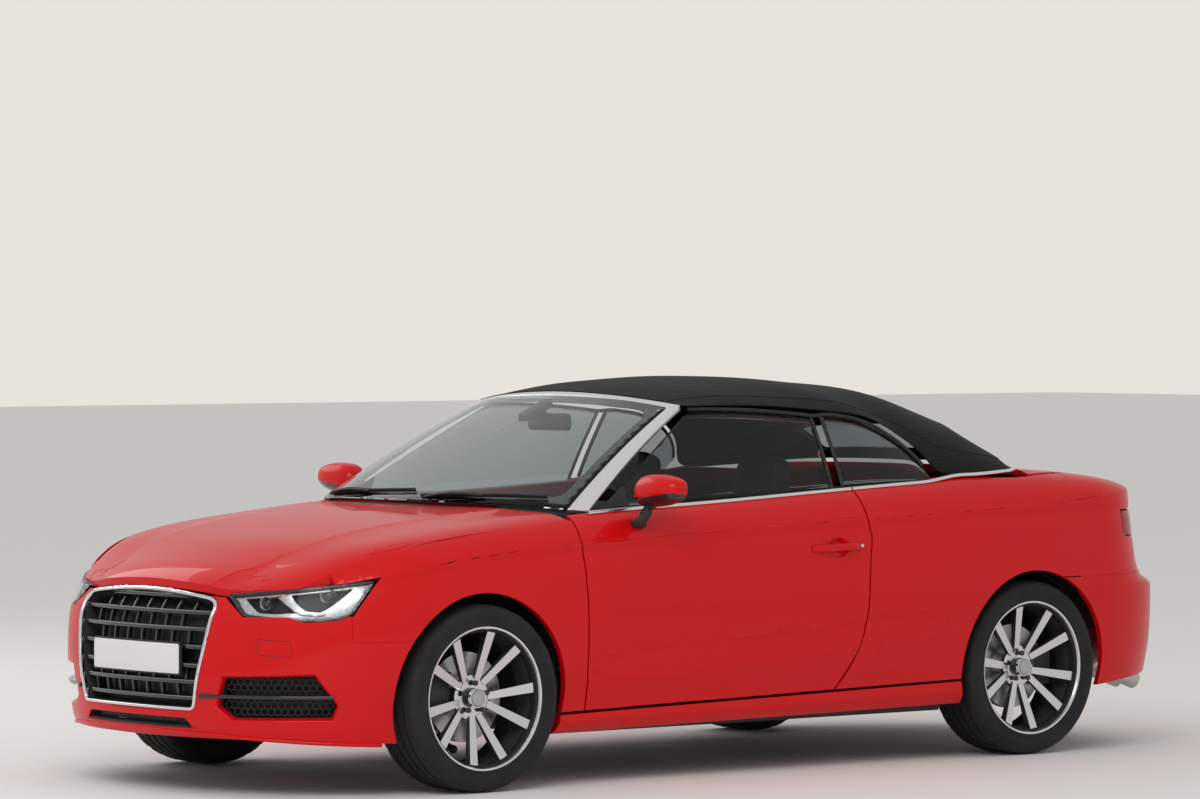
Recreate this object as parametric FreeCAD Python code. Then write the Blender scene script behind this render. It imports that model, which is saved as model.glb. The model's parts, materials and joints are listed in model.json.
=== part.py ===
import FreeCAD, Part
import math
import os

V = FreeCAD.Vector

# Driving sizes of the whole car, in millimetres
overall_length = 4421.0
overall_width = 1793.0
overall_height = 1409.0
wheelbase = 2595.0
front_overhang = 876.0
tyre_radius = 323.5
tyre_width = 235.0
rim_radius = 241.0
front_track = 1555.0
rear_track = 1526.0

# Clearances and wall sizes shared by many pieces
shut_gap = 6.0
seat_gap = 0.3
overrun = 40.0
arch_clearance = 38.5
skin_wall = 24.0
door_wall = 118.0
glass_wall = 5.0

# Places worked out from the driving sizes
rear_overhang = overall_length - wheelbase - front_overhang
nose_end_y = -overall_length / 2
tail_end_y = overall_length / 2
front_axle_y = nose_end_y + front_overhang
rear_axle_y = front_axle_y + wheelbase
arch_radius = tyre_radius + arch_clearance
half_width = overall_width / 2


def station(share):
    """Place along the car: -1 to 0 front overhang, 0 to 1 wheelbase, 1 to 2 rear overhang."""
    if share < 0:
        return front_axle_y + share * front_overhang
    if share > 1:
        return rear_axle_y + (share - 1) * rear_overhang
    return front_axle_y + share * wheelbase


def level(share):
    return share * overall_height


def across(share):
    return share * half_width


def spline(points):
    """Natural cubic curve through (place, value) pairs, carried on straight past its ends."""
    xs = [point[0] for point in points]
    ys = [point[1] for point in points]
    count = len(xs)
    gaps = [xs[i + 1] - xs[i] for i in range(count - 1)]
    lower = [0.0] * count
    main = [1.0] * count
    upper = [0.0] * count
    right = [0.0] * count
    for i in range(1, count - 1):
        lower[i] = gaps[i - 1]
        main[i] = 2 * (gaps[i - 1] + gaps[i])
        upper[i] = gaps[i]
        right[i] = 6 * ((ys[i + 1] - ys[i]) / gaps[i] - (ys[i] - ys[i - 1]) / gaps[i - 1])
    for i in range(1, count):
        factor = lower[i] / main[i - 1]
        main[i] -= factor * upper[i - 1]
        right[i] -= factor * right[i - 1]
    bends = [0.0] * count
    for i in range(count - 2, 0, -1):
        bends[i] = (right[i] - upper[i] * bends[i + 1]) / main[i]

    def slope(i, at_end):
        rise = (ys[i + 1] - ys[i]) / gaps[i]
        if at_end:
            return rise + gaps[i] * (bends[i] + 2 * bends[i + 1]) / 6
        return rise - gaps[i] * (2 * bends[i] + bends[i + 1]) / 6

    def value(x):
        if x <= xs[0]:
            return ys[0] + slope(0, False) * (x - xs[0])
        if x >= xs[-1]:
            return ys[-1] + slope(count - 2, True) * (x - xs[-1])
        i = 0
        while x > xs[i + 1]:
            i += 1
        ahead = xs[i + 1] - x
        behind = x - xs[i]
        gap = gaps[i]
        bend = (bends[i] * ahead ** 3 + bends[i + 1] * behind ** 3) / (6 * gap)
        start = (ys[i] / gap - bends[i] * gap / 6) * ahead
        end = (ys[i + 1] / gap - bends[i + 1] * gap / 6) * behind
        return bend + start + end

    return value


def along(table):
    """Curve of a share along the car's length."""
    return spline([(station(place), value) for place, value in table])


def up_height(table):
    """Curve of a share over the car's height."""
    return spline([(level(place), value) for place, value in table])


def smooth_step(start, end, x):
    t = min(max((x - start) / (end - start), 0.0), 1.0)
    return t * t * (3 - 2 * t)


# Body skin: half width by place along the car
width_shares = [(-1.0, 0.968), (-0.42, 0.986), (0.0, 0.9915), (0.17, 0.9915), (0.514, 0.996),
                (0.78, 1.0), (1.0, 1.0), (1.46, 0.986), (2.0, 0.9615)]
# Height of the shoulder crease, and of the crease low on the door
shoulder_shares = [(-0.874, 0.474), (-0.52, 0.5266), (-0.132, 0.5656), (0.09, 0.5876), (0.227, 0.6004),
                   (0.458, 0.6189), (0.685, 0.6366), (0.888, 0.648), (1.252, 0.6544), (2.0, 0.660)]
low_crease_shares = [(-0.417, 0.2342), (0.163, 0.2548), (0.458, 0.2818), (0.845, 0.3286), (1.462, 0.369)]
# How far the side tucks in from the widest place, by height
tuck_shares = [(0.071, 0.074), (0.114, 0.056), (0.142, 0.048), (0.17, 0.041), (0.195, 0.035), (0.241, 0.0215),
               (0.298, 0.0105), (0.355, 0.0035), (0.41, 0.0), (0.468, 0.003), (0.525, 0.0115),
               (0.568, 0.02), (0.61, 0.0275), (0.645, 0.035), (0.7, 0.052)]
# Nose and tail profiles on the centre line, as shares of half the length
nose_shares = [(0.106, 0.956), (0.142, 0.9825), (0.209, 0.9907), (0.27, 0.9943), (0.3265, 0.9934),
               (0.3975, 0.9885), (0.44, 0.9808), (0.472, 0.968), (0.4968, 0.9573), (0.505, 0.9525)]
tail_shares = [(0.106, 0.954), (0.142, 0.977), (0.213, 0.9916), (0.284, 0.9989), (0.355, 0.9998), (0.426, 0.9984)]
deck_tail_shares = [(0.465, 0.9555), (0.49, 0.9455), (0.525, 0.94), (0.568, 0.9365), (0.625, 0.9346), (0.7, 0.9337)]
# Rise of the bonnet and deck above their outer edge, by place along the car
rise_shares = [(-0.882, 0.0426), (-0.817, 0.0447), (-0.703, 0.0497), (-0.532, 0.0688), (-0.304, 0.0795),
               (-0.076, 0.083), (0.051, 0.0859), (0.128, 0.0916), (0.186, 0.0958), (0.39, 0.098),
               (0.645, 0.1022), (0.834, 0.1065), (1.094, 0.0972), (1.357, 0.0696), (1.673, 0.0248), (1.842, 0.004)]
lift_shares = [(0.0, 0.0), (0.9, 0.0), (1.094, 0.006), (1.357, 0.019), (1.673, 0.034), (1.842, 0.039), (2.0, 0.04)]

front_round_y = station(-0.166)
rear_round_y = station(1.357)
front_round_power = 2.4
rear_round_power = 2.6
crown_round_share = 0.12
crown_power = 16.0
nose_arch_share = 0.025
nose_arch_reach = across(0.468)

width_curve = along(width_shares)
shoulder_curve = along(shoulder_shares)
low_crease_curve = along(low_crease_shares)
tuck_curve = up_height(tuck_shares)
nose_curve = up_height(nose_shares)
tail_curve = up_height(tail_shares)
deck_tail_curve = up_height(deck_tail_shares)
rise_curve = along(rise_shares)
lift_curve = along(lift_shares)

undercut_depth = 6.0
undercut_drop = 28.0
undercut_reach = 26.0
crease_depth = 7.0
crease_above_reach = 20.0
crease_below_reach = 35.0
crease_swell = 5.0
crease_swell_rise = 50.0
crease_swell_reach = 30.0
crease_start_y = station(0.144)
crease_full_y = station(0.244)
crease_fade_y = station(0.745)
crease_end_y = station(0.861)


def shoulder_z(y):
    return level(shoulder_curve(y))


def low_crease_z(y):
    return level(low_crease_curve(y))


def nose_y(z):
    return nose_end_y * nose_curve(z)


def tail_y(z):
    return tail_end_y * tail_curve(z)


def deck_tail_y(z):
    return tail_end_y * deck_tail_curve(z)


def side_x(y, z):
    """Half width of the body side at a place and height."""
    drop = shoulder_z(y) - z
    undercut = undercut_depth * math.exp(-((drop - undercut_drop) / undercut_reach) ** 2)
    rise = z - low_crease_z(y)
    if rise > 0:
        fold = -crease_depth * math.exp(-(rise / crease_above_reach) ** 1.3)
        fold += crease_swell * math.exp(-((rise - crease_swell_rise) / crease_swell_reach) ** 2)
    else:
        fold = -crease_depth * math.exp(-(-rise / crease_below_reach) ** 1.2)
    amount = smooth_step(crease_start_y, crease_full_y, y) * (1 - smooth_step(crease_fade_y, crease_end_y, y))
    return across(width_curve(y)) - across(tuck_curve(z)) - undercut - amount * fold


def outline_x(y, z, tail=None):
    """Half width of the plan outline at a height, with its rounded corners."""
    half = side_x(y, z)
    if y < front_round_y:
        part = min((y - front_round_y) / (nose_y(z) - front_round_y), 1.0)
        return half * (1 - part ** front_round_power) ** (1 / front_round_power)
    if y > rear_round_y:
        end = (tail or tail_y)(z)
        part = min((y - rear_round_y) / (end - rear_round_y), 1.0)
        return half * (1 - part ** rear_round_power) ** (1 / rear_round_power)
    return half


def rounded(turn, power):
    """Shares of the half width and of the depth where a rounded corner meets a ray at a turn."""
    size = (math.sin(turn) ** power + max(math.cos(turn), 0.0) ** power) ** (-1 / power)
    return math.sin(turn) * size, math.cos(turn) * size


def nose_point(turn, z):
    """Point of the front skin: turn 0 at the centre line, 90 degrees where the corner ends."""
    out, ahead = rounded(turn, front_round_power)
    y = front_round_y - (front_round_y - nose_y(z)) * ahead
    return side_x(y, z) * out, y


def tail_point(turn, z, tail=None):
    out, behind = rounded(turn, rear_round_power)
    y = rear_round_y + ((tail or tail_y)(z) - rear_round_y) * behind
    return side_x(y, z) * out, y


def edge_z(x, y):
    """Height of the outer edge of the bonnet, shoulder and deck."""
    arch = max(1 - (x / nose_arch_reach) ** 2, 0.0)
    forward = 1 - smooth_step(station(-0.8), station(-0.3), y)
    return shoulder_z(y) + level(lift_curve(y)) + level(nose_arch_share) * arch * forward


def plan_share(x, y):
    """0 on the centre line, 1 on the plan outline at shoulder height."""
    z = shoulder_z(y) + level(lift_curve(y))
    half = side_x(y, z)
    if y < front_round_y:
        end = nose_y(z)
        part = (y - front_round_y) / (end - front_round_y)
        power = front_round_power
        return (abs(x / half) ** power + part ** power) ** (1 / power)
    if y > rear_round_y:
        end = deck_tail_y(z)
        part = (y - rear_round_y) / (end - rear_round_y)
        power = rear_round_power
        return (abs(x / half) ** power + part ** power) ** (1 / power)
    return abs(x / half)


def top_z(x, y):
    """Height of the bonnet, the shoulders and the rear deck."""
    share = min(plan_share(x, y), 1.0)
    crown = 1 - crown_round_share * share ** 2 - (1 - crown_round_share) * share ** crown_power
    return edge_z(x, y) + level(rise_curve(y)) * crown


# Solids between two skins

sew_slack = 0.05


def knot_line(places, degree):
    """Clamped knots for a curve through the given places, each one the mean of its neighbours."""
    count = len(places)
    inner = [sum(places[i + 1:i + 1 + degree]) / degree for i in range(count - degree - 1)]
    return [places[0]] * (degree + 1) + inner + [places[-1]] * (degree + 1)


def basis_row(place, knots, degree, count):
    """Weights of the control points at one place."""
    if place >= knots[-1]:
        return [0.0] * (count - 1) + [1.0]
    weights = [1.0 if knots[i] <= place < knots[i + 1] else 0.0 for i in range(len(knots) - 1)]
    for order in range(1, degree + 1):
        for i in range(len(knots) - 1 - order):
            left = knots[i + order] - knots[i]
            right = knots[i + order + 1] - knots[i + 1]
            first = (place - knots[i]) / left * weights[i] if left else 0.0
            second = (knots[i + order + 1] - place) / right * weights[i + 1] if right else 0.0
            weights[i] = first + second
    return weights[:count]


def solved(matrix, values):
    """Solve for control points: values is one list of vectors for each place."""
    size = len(matrix)
    rows = [list(row) for row in matrix]
    right = [list(row) for row in values]
    for i in range(size):
        best = max(range(i, size), key=lambda k: abs(rows[k][i]))
        rows[i], rows[best] = rows[best], rows[i]
        right[i], right[best] = right[best], right[i]
        for k in range(i + 1, size):
            factor = rows[k][i] / rows[i][i]
            if factor:
                rows[k] = [a - factor * b for a, b in zip(rows[k], rows[i])]
                right[k] = [a - b * factor for a, b in zip(right[k], right[i])]
    for i in range(size - 1, -1, -1):
        for k in range(i + 1, size):
            if rows[i][k]:
                right[i] = [a - b * rows[i][k] for a, b in zip(right[i], right[k])]
        right[i] = [a * (1 / rows[i][i]) for a in right[i]]
    return right


def control_points(places, degree, rows):
    knots = knot_line(places, degree)
    matrix = [basis_row(place, knots, degree, len(places)) for place in places]
    return solved(matrix, rows)


def turned(rows):
    return [list(column) for column in zip(*rows)]


def patch(sheet):
    """Smooth surface through a grid of points at the given shares along and across."""
    rows, along_shares, across_shares = sheet
    degree_s = min(3, len(along_shares) - 1)
    degree_t = min(3, len(across_shares) - 1)
    poles = control_points(along_shares, degree_s, rows)
    poles = turned(control_points(across_shares, degree_t, turned(poles)))
    knots_s = knot_line(along_shares, degree_s)
    knots_t = knot_line(across_shares, degree_t)
    plain_s = sorted(set(knots_s))
    plain_t = sorted(set(knots_t))
    surface = Part.BSplineSurface()
    surface.buildFromPolesMultsKnots(poles, [knots_s.count(k) for k in plain_s], [knots_t.count(k) for k in plain_t],
                                     plain_s, plain_t, False, False, degree_s, degree_t)
    return surface


def slab(outer, inner):
    """Closed solid between two stacks of patches that share their long edges."""
    skins = [patch(sheet) for sheet in outer]
    backs = [patch(sheet) for sheet in inner]
    faces = []
    for skin, back in zip(skins, backs):
        faces.append(skin.toShape())
        faces.append(back.toShape())
        for end in (0, 1):
            faces.append(Part.makeRuledSurface(skin.uIso(end).toShape(), back.uIso(end).toShape()))
    for skin, back, side in ((skins[0], backs[0], 0), (skins[-1], backs[-1], 1)):
        faces.append(Part.makeRuledSurface(skin.vIso(side).toShape(), back.vIso(side).toShape()))
    shell = Part.makeShell(faces)
    shell.sewShape(sew_slack)
    solid = Part.makeSolid(shell)
    if solid.Volume < 0:
        solid.reverse()
    return solid


def shares(count):
    return [i / (count - 1) for i in range(count)]


def grid(along_shares, across_shares, point):
    """Sheet of points at the given shares along and across."""
    rows = [[point(s, t) for t in across_shares] for s in along_shares]
    return rows, along_shares, across_shares


def mix(low, high, t):
    return low + (high - low) * t


def mirrored(shape):
    return shape.mirror(V(0, 0, 0), V(1, 0, 0))


def both_sides(shape):
    return Part.makeCompound([shape, mirrored(shape)])


def block(low, high):
    """Box between two corners, given in any order."""
    start = [min(a, b) for a, b in zip(low, high)]
    end = [max(a, b) for a, b in zip(low, high)]
    return Part.makeBox(end[0] - start[0], end[1] - start[1], end[2] - start[2], V(*start))


def prism(points, way):
    """Straight column over a closed outline."""
    wire = Part.makePolygon(points + [points[0]])
    return Part.Face(wire).extrude(way)


def rod(start, end, radius):
    line = end - start
    return Part.makeCylinder(radius, line.Length, start, line)


def fused(shapes):
    whole = shapes[0]
    if len(shapes) > 1:
        whole = whole.fuse(shapes[1:])
    return whole.removeSplitter()


def one_solid(shape):
    return max(shape.Solids, key=lambda solid: solid.Volume)


def cleared(shape, tool, way):
    """Largest part of a shape left after it is cut back from another piece, with the seat gap along a way."""
    moved = tool.copy()
    moved.translate(way * seat_gap)
    return one_solid(shape.cut([tool, moved]))


def save(name, shape):
    solids = shape.Solids
    whole = solids[0] if len(solids) == 1 else Part.makeCompound(solids)
    whole.exportStep(os.path.join("parts", name + ".step"))


# Plan normals of the nose and tail skins

turn_step = 0.004


def corner_point(turn, z, offset, point):
    """Skin point moved outward in plan by an offset."""
    x, y = point(turn, z)
    ahead = point(min(turn + turn_step, math.pi / 2), z)
    back = point(max(turn - turn_step, 0), z)
    run_x = ahead[0] - back[0]
    run_y = ahead[1] - back[1]
    length = math.hypot(run_x, run_y)
    outward = -1 if y < 0 else 1
    return V(x - outward * run_y / length * offset, y + outward * run_x / length * offset, z)


def nose_skin(turn, z, offset=0.0):
    """Point of the nose skin; a turn below zero is on the right side."""
    point = corner_point(abs(turn), z, offset, nose_point)
    return V(math.copysign(point.x, turn), point.y, point.z) if turn else V(0, point.y, point.z)


def tail_end(z):
    """Tail profile with the shelf between the bumper and the lid."""
    part = smooth_step(bumper_shelf_low, bumper_shelf_high, z)
    return mix(tail_y(min(z, bumper_shelf_low)), deck_tail_y(max(z, bumper_shelf_high)), part)


def tail_skin(turn, z, offset=0.0):
    point = corner_point(abs(turn), z, offset, lambda t, h: tail_point(t, h, tail_end))
    return V(math.copysign(point.x, turn), point.y, point.z) if turn else V(0, point.y, point.z)


def nose_edge_z(turn):
    x, y = nose_point(abs(turn), shoulder_z(station(nose_look_share)))
    return edge_z(x, y)


# Shut lines
nose_look_share = -0.8
bumper_shelf_low = level(0.432)
bumper_shelf_high = level(0.467)
door_front_shares = [(0.18, 0.1788), (0.62, 0.172), (0.75, 0.168)]
door_rear_shares = [(0.20, 0.6198), (0.30, 0.6571), (0.42, 0.676), (0.53, 0.6829), (0.633, 0.6848), (0.6934, 0.6548), (0.73, 0.62)]
door_foot_shares = [(0.15, 0.184), (0.65, 0.203)]
belt_half_share = 0.866
belt_wall = 62.0
belt_front_wall = 6.0
bonnet_line_shares = [(-0.72, 0.70), (-0.6, 0.775), (-0.509, 0.812), (-0.36, 0.872), (-0.24, 0.893), (0.0, 0.894), (0.17, 0.888)]
bonnet_back_depth = 155.0
bonnet_back_share = 0.1685
bonnet_front_share = 0.975
bonnet_wall = 26.0
fold_shares = [(-0.84, 0.375), (-0.61, 0.455), (-0.4, 0.485), (0.0, 0.52), (0.14, 0.60)]
fold_drop = 9.0
fold_reach = 60.0
lid_front_share = 1.284
lid_half_share = 0.80
lid_wall = 26.0
lid_edge_share = 0.985

door_front_curve = up_height(door_front_shares)
door_rear_curve = up_height(door_rear_shares)
door_foot_curve = along(door_foot_shares)
bonnet_line_curve = along(bonnet_line_shares)
fold_curve = along(fold_shares)
belt_x = across(belt_half_share)


def door_front_y(z):
    return station(door_front_curve(z))


def door_rear_y(z):
    return station(door_rear_curve(z))


def door_foot_z(y):
    return level(door_foot_curve(y))


def bonnet_line_x(y):
    return across(bonnet_line_curve(y))


def fold_x(y):
    return across(fold_curve(y))


def shoulder_half(y):
    """Half width of the plan outline at the shoulder crease."""
    z = shoulder_z(y) + level(lift_curve(y))
    return outline_x(y, z, deck_tail_y)


def skin_point(y, z, offset=0.0):
    return V(outline_x(y, z) + offset, y, z)


def shoulder_point(y, x, drop=0.0):
    return V(x, y, top_z(x, y) - drop)


# Share of the height at which the columns of a side skin stand, closer under the shoulder crease
column_shares = [0, 0.2, 0.42, 0.62, 0.76, 0.85, 0.91, 0.955, 0.98, 1.0]
inner_column_shares = [0, 0.3, 0.55, 0.75, 0.88, 1.0]
roll_shares = [0, 0.06, 0.14, 0.26, 0.45, 0.7, 1.0]


def settled(front, back, low, high, s, t):
    """Point (y, z) at shares s along and t up a four-sided side panel."""
    z = level(foot_guess_share)
    for _ in range(settle_rounds):
        y = mix(front(z), back(z), s)
        z = mix(low(y), high(y), t)
    return mix(front(z), back(z), s), z


def side_slab(front, back, low, middle, inner_x, counts, wall, columns, below=None, slant=0.0, set_back=0.0):
    """Side panel from its foot to the shoulder crease, then in over the shoulder to inner_x."""
    def set_in(offset, s):
        return set_back * smooth_step(slant_start_share, 1.0, s) if offset else 0.0

    stacks = []
    for offset, rows, thin in ((0.0, counts[0], False), (-wall, counts[1], True)):
        patches = []
        if below:
            lower = shares(3) if thin else columns[2]

            def under(s, t, offset=offset):
                y, z = settled(front, back, low, below, s, t)
                return skin_point(y - set_in(offset, s), z, offset)
            patches.append(grid(shares(rows), lower, under))

        def upright(s, t, offset=offset):
            y, z = settled(front, back, below or low, middle, s, t)
            return skin_point(y - set_in(offset, s), z, offset)
        patches.append(grid(shares(rows), inner_column_shares if thin else columns[0], upright))

        def roll(s, t, offset=offset):
            y, z = settled(front, back, below or low, middle, s, 1.0)
            y -= set_in(offset, s)
            edge = skin_point(y, z, offset)
            top, drop = inner_x(y)
            x = mix(edge.x, top - drop[0] if offset else top, t)
            ahead = slant * (edge.x - x) * smooth_step(slant_start_share, 1.0, s)
            if offset:
                return V(x, y - ahead, mix(z, top_z(top, y - ahead) - drop[1], t))
            return V(x, y - ahead, top_z(x, y - ahead)) if t else edge
        patches.append(grid(shares(rows), shares(3) if thin else columns[1], roll))
        stacks.append(patches)
    return slab(stacks[0], stacks[1])


def fender():
    """Left front fender: wall from the foot to the shoulder, then up and in to the bonnet line."""
    def front(z):
        return station(fender_front_share)

    def back(z):
        return door_front_y(z) - hinge_gap

    def inner(y):
        return bonnet_line_x(y) + shut_gap, (0.0, skin_wall)

    body = side_slab(front, back, door_foot_z, shoulder_z, inner, (13, 7), skin_wall, (column_shares, roll_shares))
    body = body.cut(arch_column(front_axle_y))
    body = body.cut(bumper_seam_column())
    body = body.cut(lamp_column(shut_gap))
    return one_solid(body)


fender_front_share = -0.6
settle_rounds = 4
hinge_gap = 6.5
# The door's rear edge runs forward as it goes in over the shoulder, so that it clears the quarter as it swings
door_slant = 0.09
door_set_back = 14.0
lock_gap = 6.8
slant_start_share = 0.8
foot_guess_share = 0.4


def arch_column(axle_y):
    return Part.makeCylinder(arch_radius, half_width, V(half_width / 2, axle_y, tyre_radius), V(1, 0, 0))


# Bumper seam: down from the lamp, then back to the arch
seam_front_share = -0.578
seam_level_share = 0.376


def bumper_seam_column():
    """Space of the bumper below and ahead of its seam with the fender."""
    top = level(seam_level_share) + seat_gap
    below = block((0, nose_end_y - overrun, 0), (overall_width, front_axle_y, top))
    ahead = block((0, nose_end_y - overrun, 0), (overall_width, station(seam_front_share) + seat_gap, level(lamp_low_share)))
    return below.fuse(ahead)


lamp_low_share = 0.44
# Headlamp outline on the nose skin: share of the quarter turn, share of the height
lamp_tip_turn_share = 0.264
lamp_rear_turn_share = 0.76
lamp_lower_shares = [(0.7152, 0.518), (0.6657, 0.441), (0.6239, 0.429), (0.5426, 0.4245), (0.4975, 0.437), (0.3736, 0.4355)]
view_turn = math.radians(50.7)
lamp_top_drop = 4.0


def diagonal():
    return V(math.sin(view_turn), -math.cos(view_turn), 0)


def column_on_nose(outline, spread=0.0, reach=300.0):
    """Column along the corner's own view over an outline of (turn, z) points on the nose skin."""
    points = []
    middle = V(0, 0, 0)
    flat = []
    way = diagonal()
    for turn, z in outline:
        point = nose_skin(turn, z)
        flat.append(point - way * point.dot(way))
    for point in flat:
        middle = middle + point * (1 / len(flat))
    for point in flat:
        out = point - middle
        points.append(point + out * (spread / out.Length) if out.Length else point)
    depth = nose_skin(math.pi / 4, level(0.4)).dot(way)
    start = [point + way * (depth - reach) for point in points]
    return prism(start, way * (reach * 2))


def lamp_outline():
    points = []
    for share in (0.2976, 0.3822, 0.4666, 0.5501, 0.6351, 0.7245):
        turn = share * math.pi / 2
        x, y = nose_point(turn, level(0.5))
        points.append((turn, edge_z(x, y) - lamp_top_drop))
    points += [(turn * math.pi / 2, level(high)) for turn, high in lamp_lower_shares]
    return points


def lamp_column(spread=0.0):
    return column_on_nose(lamp_outline(), spread)


def bonnet_front_y(x):
    """Front edge of the bonnet: the plan outline, then the line along the fender."""
    z = shoulder_z(station(nose_look_share))
    half = side_x(station(nose_look_share), z)
    depth = (front_round_y - nose_y(z)) * bonnet_front_share
    share = min(abs(x) / (half * bonnet_front_share), 1.0)
    outline_y = front_round_y - depth * (1 - share ** front_round_power) ** (1 / front_round_power)
    if abs(x) < bonnet_line_x(station(bonnet_corner_share)):
        return outline_y
    low = station(bonnet_corner_share)
    high = station(bonnet_straight_share)
    for _ in range(halving_rounds):
        middle = (low + high) / 2
        if bonnet_line_x(middle) < abs(x):
            low = middle
        else:
            high = middle
    return max(low, outline_y)


bonnet_corner_share = -0.66
bonnet_straight_share = -0.3
halving_rounds = 24
bonnet_half_share = 0.884


def bonnet_back_y(x):
    """Rear edge of the bonnet, bowed forward ahead of the windscreen."""
    share = x / across(bonnet_half_share)
    return station(bonnet_back_share) - bonnet_back_depth * (1 - share ** 2)


def bonnet_z(x, y):
    """Top of the bonnet, with a crease that runs back from the grille's corners."""
    beyond = abs(x) - fold_x(y)
    fade = smooth_step(nose_y(level(0.5)), station(-0.7), y)
    fall = fold_drop * fade * (1 - math.exp(-max(beyond, 0.0) / fold_reach))
    return top_z(x, y) - fall


def bonnet():
    half = across(bonnet_half_share)

    def sheet(low, high, drop, count_s, count_t):
        def point(s, t):
            y_guess = mix(bonnet_front_y(0), bonnet_back_y(0), t)
            x = mix(low(y_guess), high(y_guess), s)
            y = mix(bonnet_front_y(x), bonnet_back_y(x), t)
            return V(x, y, bonnet_z(x, y) - drop)
        return grid(shares(count_t), shares(count_s), lambda t, s: point(s, t))

    edges = [lambda y: -half, lambda y: -fold_x(y), fold_x, lambda y: half]
    outer = [sheet(edges[i], edges[i + 1], 0, (7, 9, 7)[i], 15) for i in range(3)]
    inner = [sheet(edges[i], edges[i + 1], bonnet_wall, (5, 7, 5)[i], 11) for i in range(3)]
    return slab(outer, inner)


# Doors
door_columns = (column_shares, roll_shares, shares(6))


def belt_inner(y):
    """Inner edge of the door's top, drawn out ahead to clear the windscreen's foot."""
    return belt_x, (mix(belt_front_wall, belt_wall, smooth_step(station(0.27), station(0.36), y)), 0.0)


def door():
    return side_slab(door_front_y, door_rear_y, door_foot_z, shoulder_z, belt_inner, (11, 11), door_wall,
                     door_columns, low_crease_z, door_slant, door_set_back)


# Rear quarter: side behind the door, round the corner to the boot lid
lid_line_shares = [(0.72, 0.866), (1.0, 0.862), (1.12, 0.845), (1.3, 0.79), (1.6, 0.74), (1.9, 0.70)]
lid_line_curve = along(lid_line_shares)
lid_back_half = across(0.60)
lid_turn_share = 1.5
lid_end_share = 1.74
quarter_turn_share = 0.62
quarter_shares = [0, 0.1, 0.2, 0.3, 0.4, 0.5, 0.62, 0.7, 0.78, 0.86, 0.93, 1.0]


def lid_line_x(y):
    """Half width of the boot lid, drawn in behind to run down between the lamps."""
    return mix(across(lid_line_curve(y)), lid_back_half, smooth_step(station(lid_turn_share), station(lid_end_share), y))


def tail_turn_at(x, z):
    """Turn at which the tail skin reaches a half width."""
    turn = x / half_width
    for _ in range(settle_rounds):
        half = tail_point(turn, z, tail_end)[0] / rounded(turn, rear_round_power)[0]
        out = x / half
        turn = math.atan2(out, (1 - out ** rear_round_power) ** (1 / rear_round_power))
    return turn


def quarter_edge_z(y):
    return shoulder_z(y) + level(lift_curve(y))


def quarter_foot_z(y):
    """Foot by the skirt ahead of the wheel, then up over the wheel to the bumper's top."""
    behind = smooth_step(rear_axle_y - tyre_width, rear_axle_y + tyre_width, y)
    return mix(door_foot_z(y), bumper_shelf_low, behind)


def quarter_path(s, z, offset):
    """Point round the rear side at a height: straight run first, then the corner."""
    start = door_rear_y(z) + lock_gap
    if s <= quarter_turn_share:
        y = mix(start, rear_round_y, s / quarter_turn_share)
        return V(outline_x(y, z) + offset, y, z)
    end_x = lid_back_half + shut_gap + quarter_strip * smooth_step(tail_lamp_high, level(quarter_lip_share), z)
    end = tail_turn_at(end_x, z)
    turn = mix(math.pi / 2, end, (s - quarter_turn_share) / (1 - quarter_turn_share))
    point = tail_skin(turn, z, offset)
    return V(max(point.x, end_x), point.y, point.z)


def quarter():
    """Left rear quarter panel, from the door to the boot lid and the rear bumper."""
    def wall(offset):
        def point(s, t):
            place = quarter_path(s, level(0.5), 0.0)
            for _ in range(settle_rounds):
                z = mix(quarter_foot_z(place.y), quarter_edge_z(place.y), t)
                place = quarter_path(s, z, 0.0)
            return quarter_path(s, z, offset)
        return point

    def roll(offset, drop):
        start = wall(offset)

        def point(s, t):
            edge = start(s, 1.0)
            lid_side = lid_line_x(edge.y) + shut_gap + lid_turn_gap * smooth_step(station(1.45), station(1.6), edge.y)
            rest = mix(rest_x, lid_side, smooth_step(station(0.86), station(1.05), edge.y))
            inner = min(rest, edge.x - quarter_strip)
            if t == 0:
                return edge
            x = mix(edge.x, inner, t)
            outer_x = mix(edge.x - offset * (1 - t), inner, t)
            y = edge.y - door_slant * (edge.x - x) * (1 - smooth_step(0.0, 1 - slant_start_share, s))
            return V(x, y, top_z(min(outer_x, shoulder_half(y)), y) - drop * t)
        return point

    outer = [grid(quarter_shares, column_shares, wall(0.0)), grid(quarter_shares, roll_shares, roll(0.0, 0.0))]
    inner = [grid(quarter_shares, inner_column_shares, wall(-skin_wall)), grid(quarter_shares, shares(3), roll(-skin_wall, skin_wall))]
    seam = block((0, rear_axle_y, 0), (overall_width, tail_end_y, bumper_shelf_high + seat_gap))
    return one_solid(slab(outer, inner).cut([arch_column(rear_axle_y), seam]))


quarter_strip = 12.0
lid_turn_gap = 7.5
quarter_lip_share = 0.695
rest_x = across(0.83)


# Boot lid and the deck panel between it and the roof
lid_front_y = station(lid_front_share)
lid_foot_z = bumper_shelf_high + shut_gap
lid_taper = 0.45


def lid_edge_y(x):
    """Rear edge of the lid's top, on the plan outline."""
    z = quarter_edge_z(tail_end_y)
    half = side_x(station(1.8), z)
    depth = (deck_tail_y(z) - rear_round_y) * lid_edge_share
    share = min(abs(x) / (half * lid_edge_share), 1.0)
    return rear_round_y + depth * (1 - share ** rear_round_power) ** (1 / rear_round_power)


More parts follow.
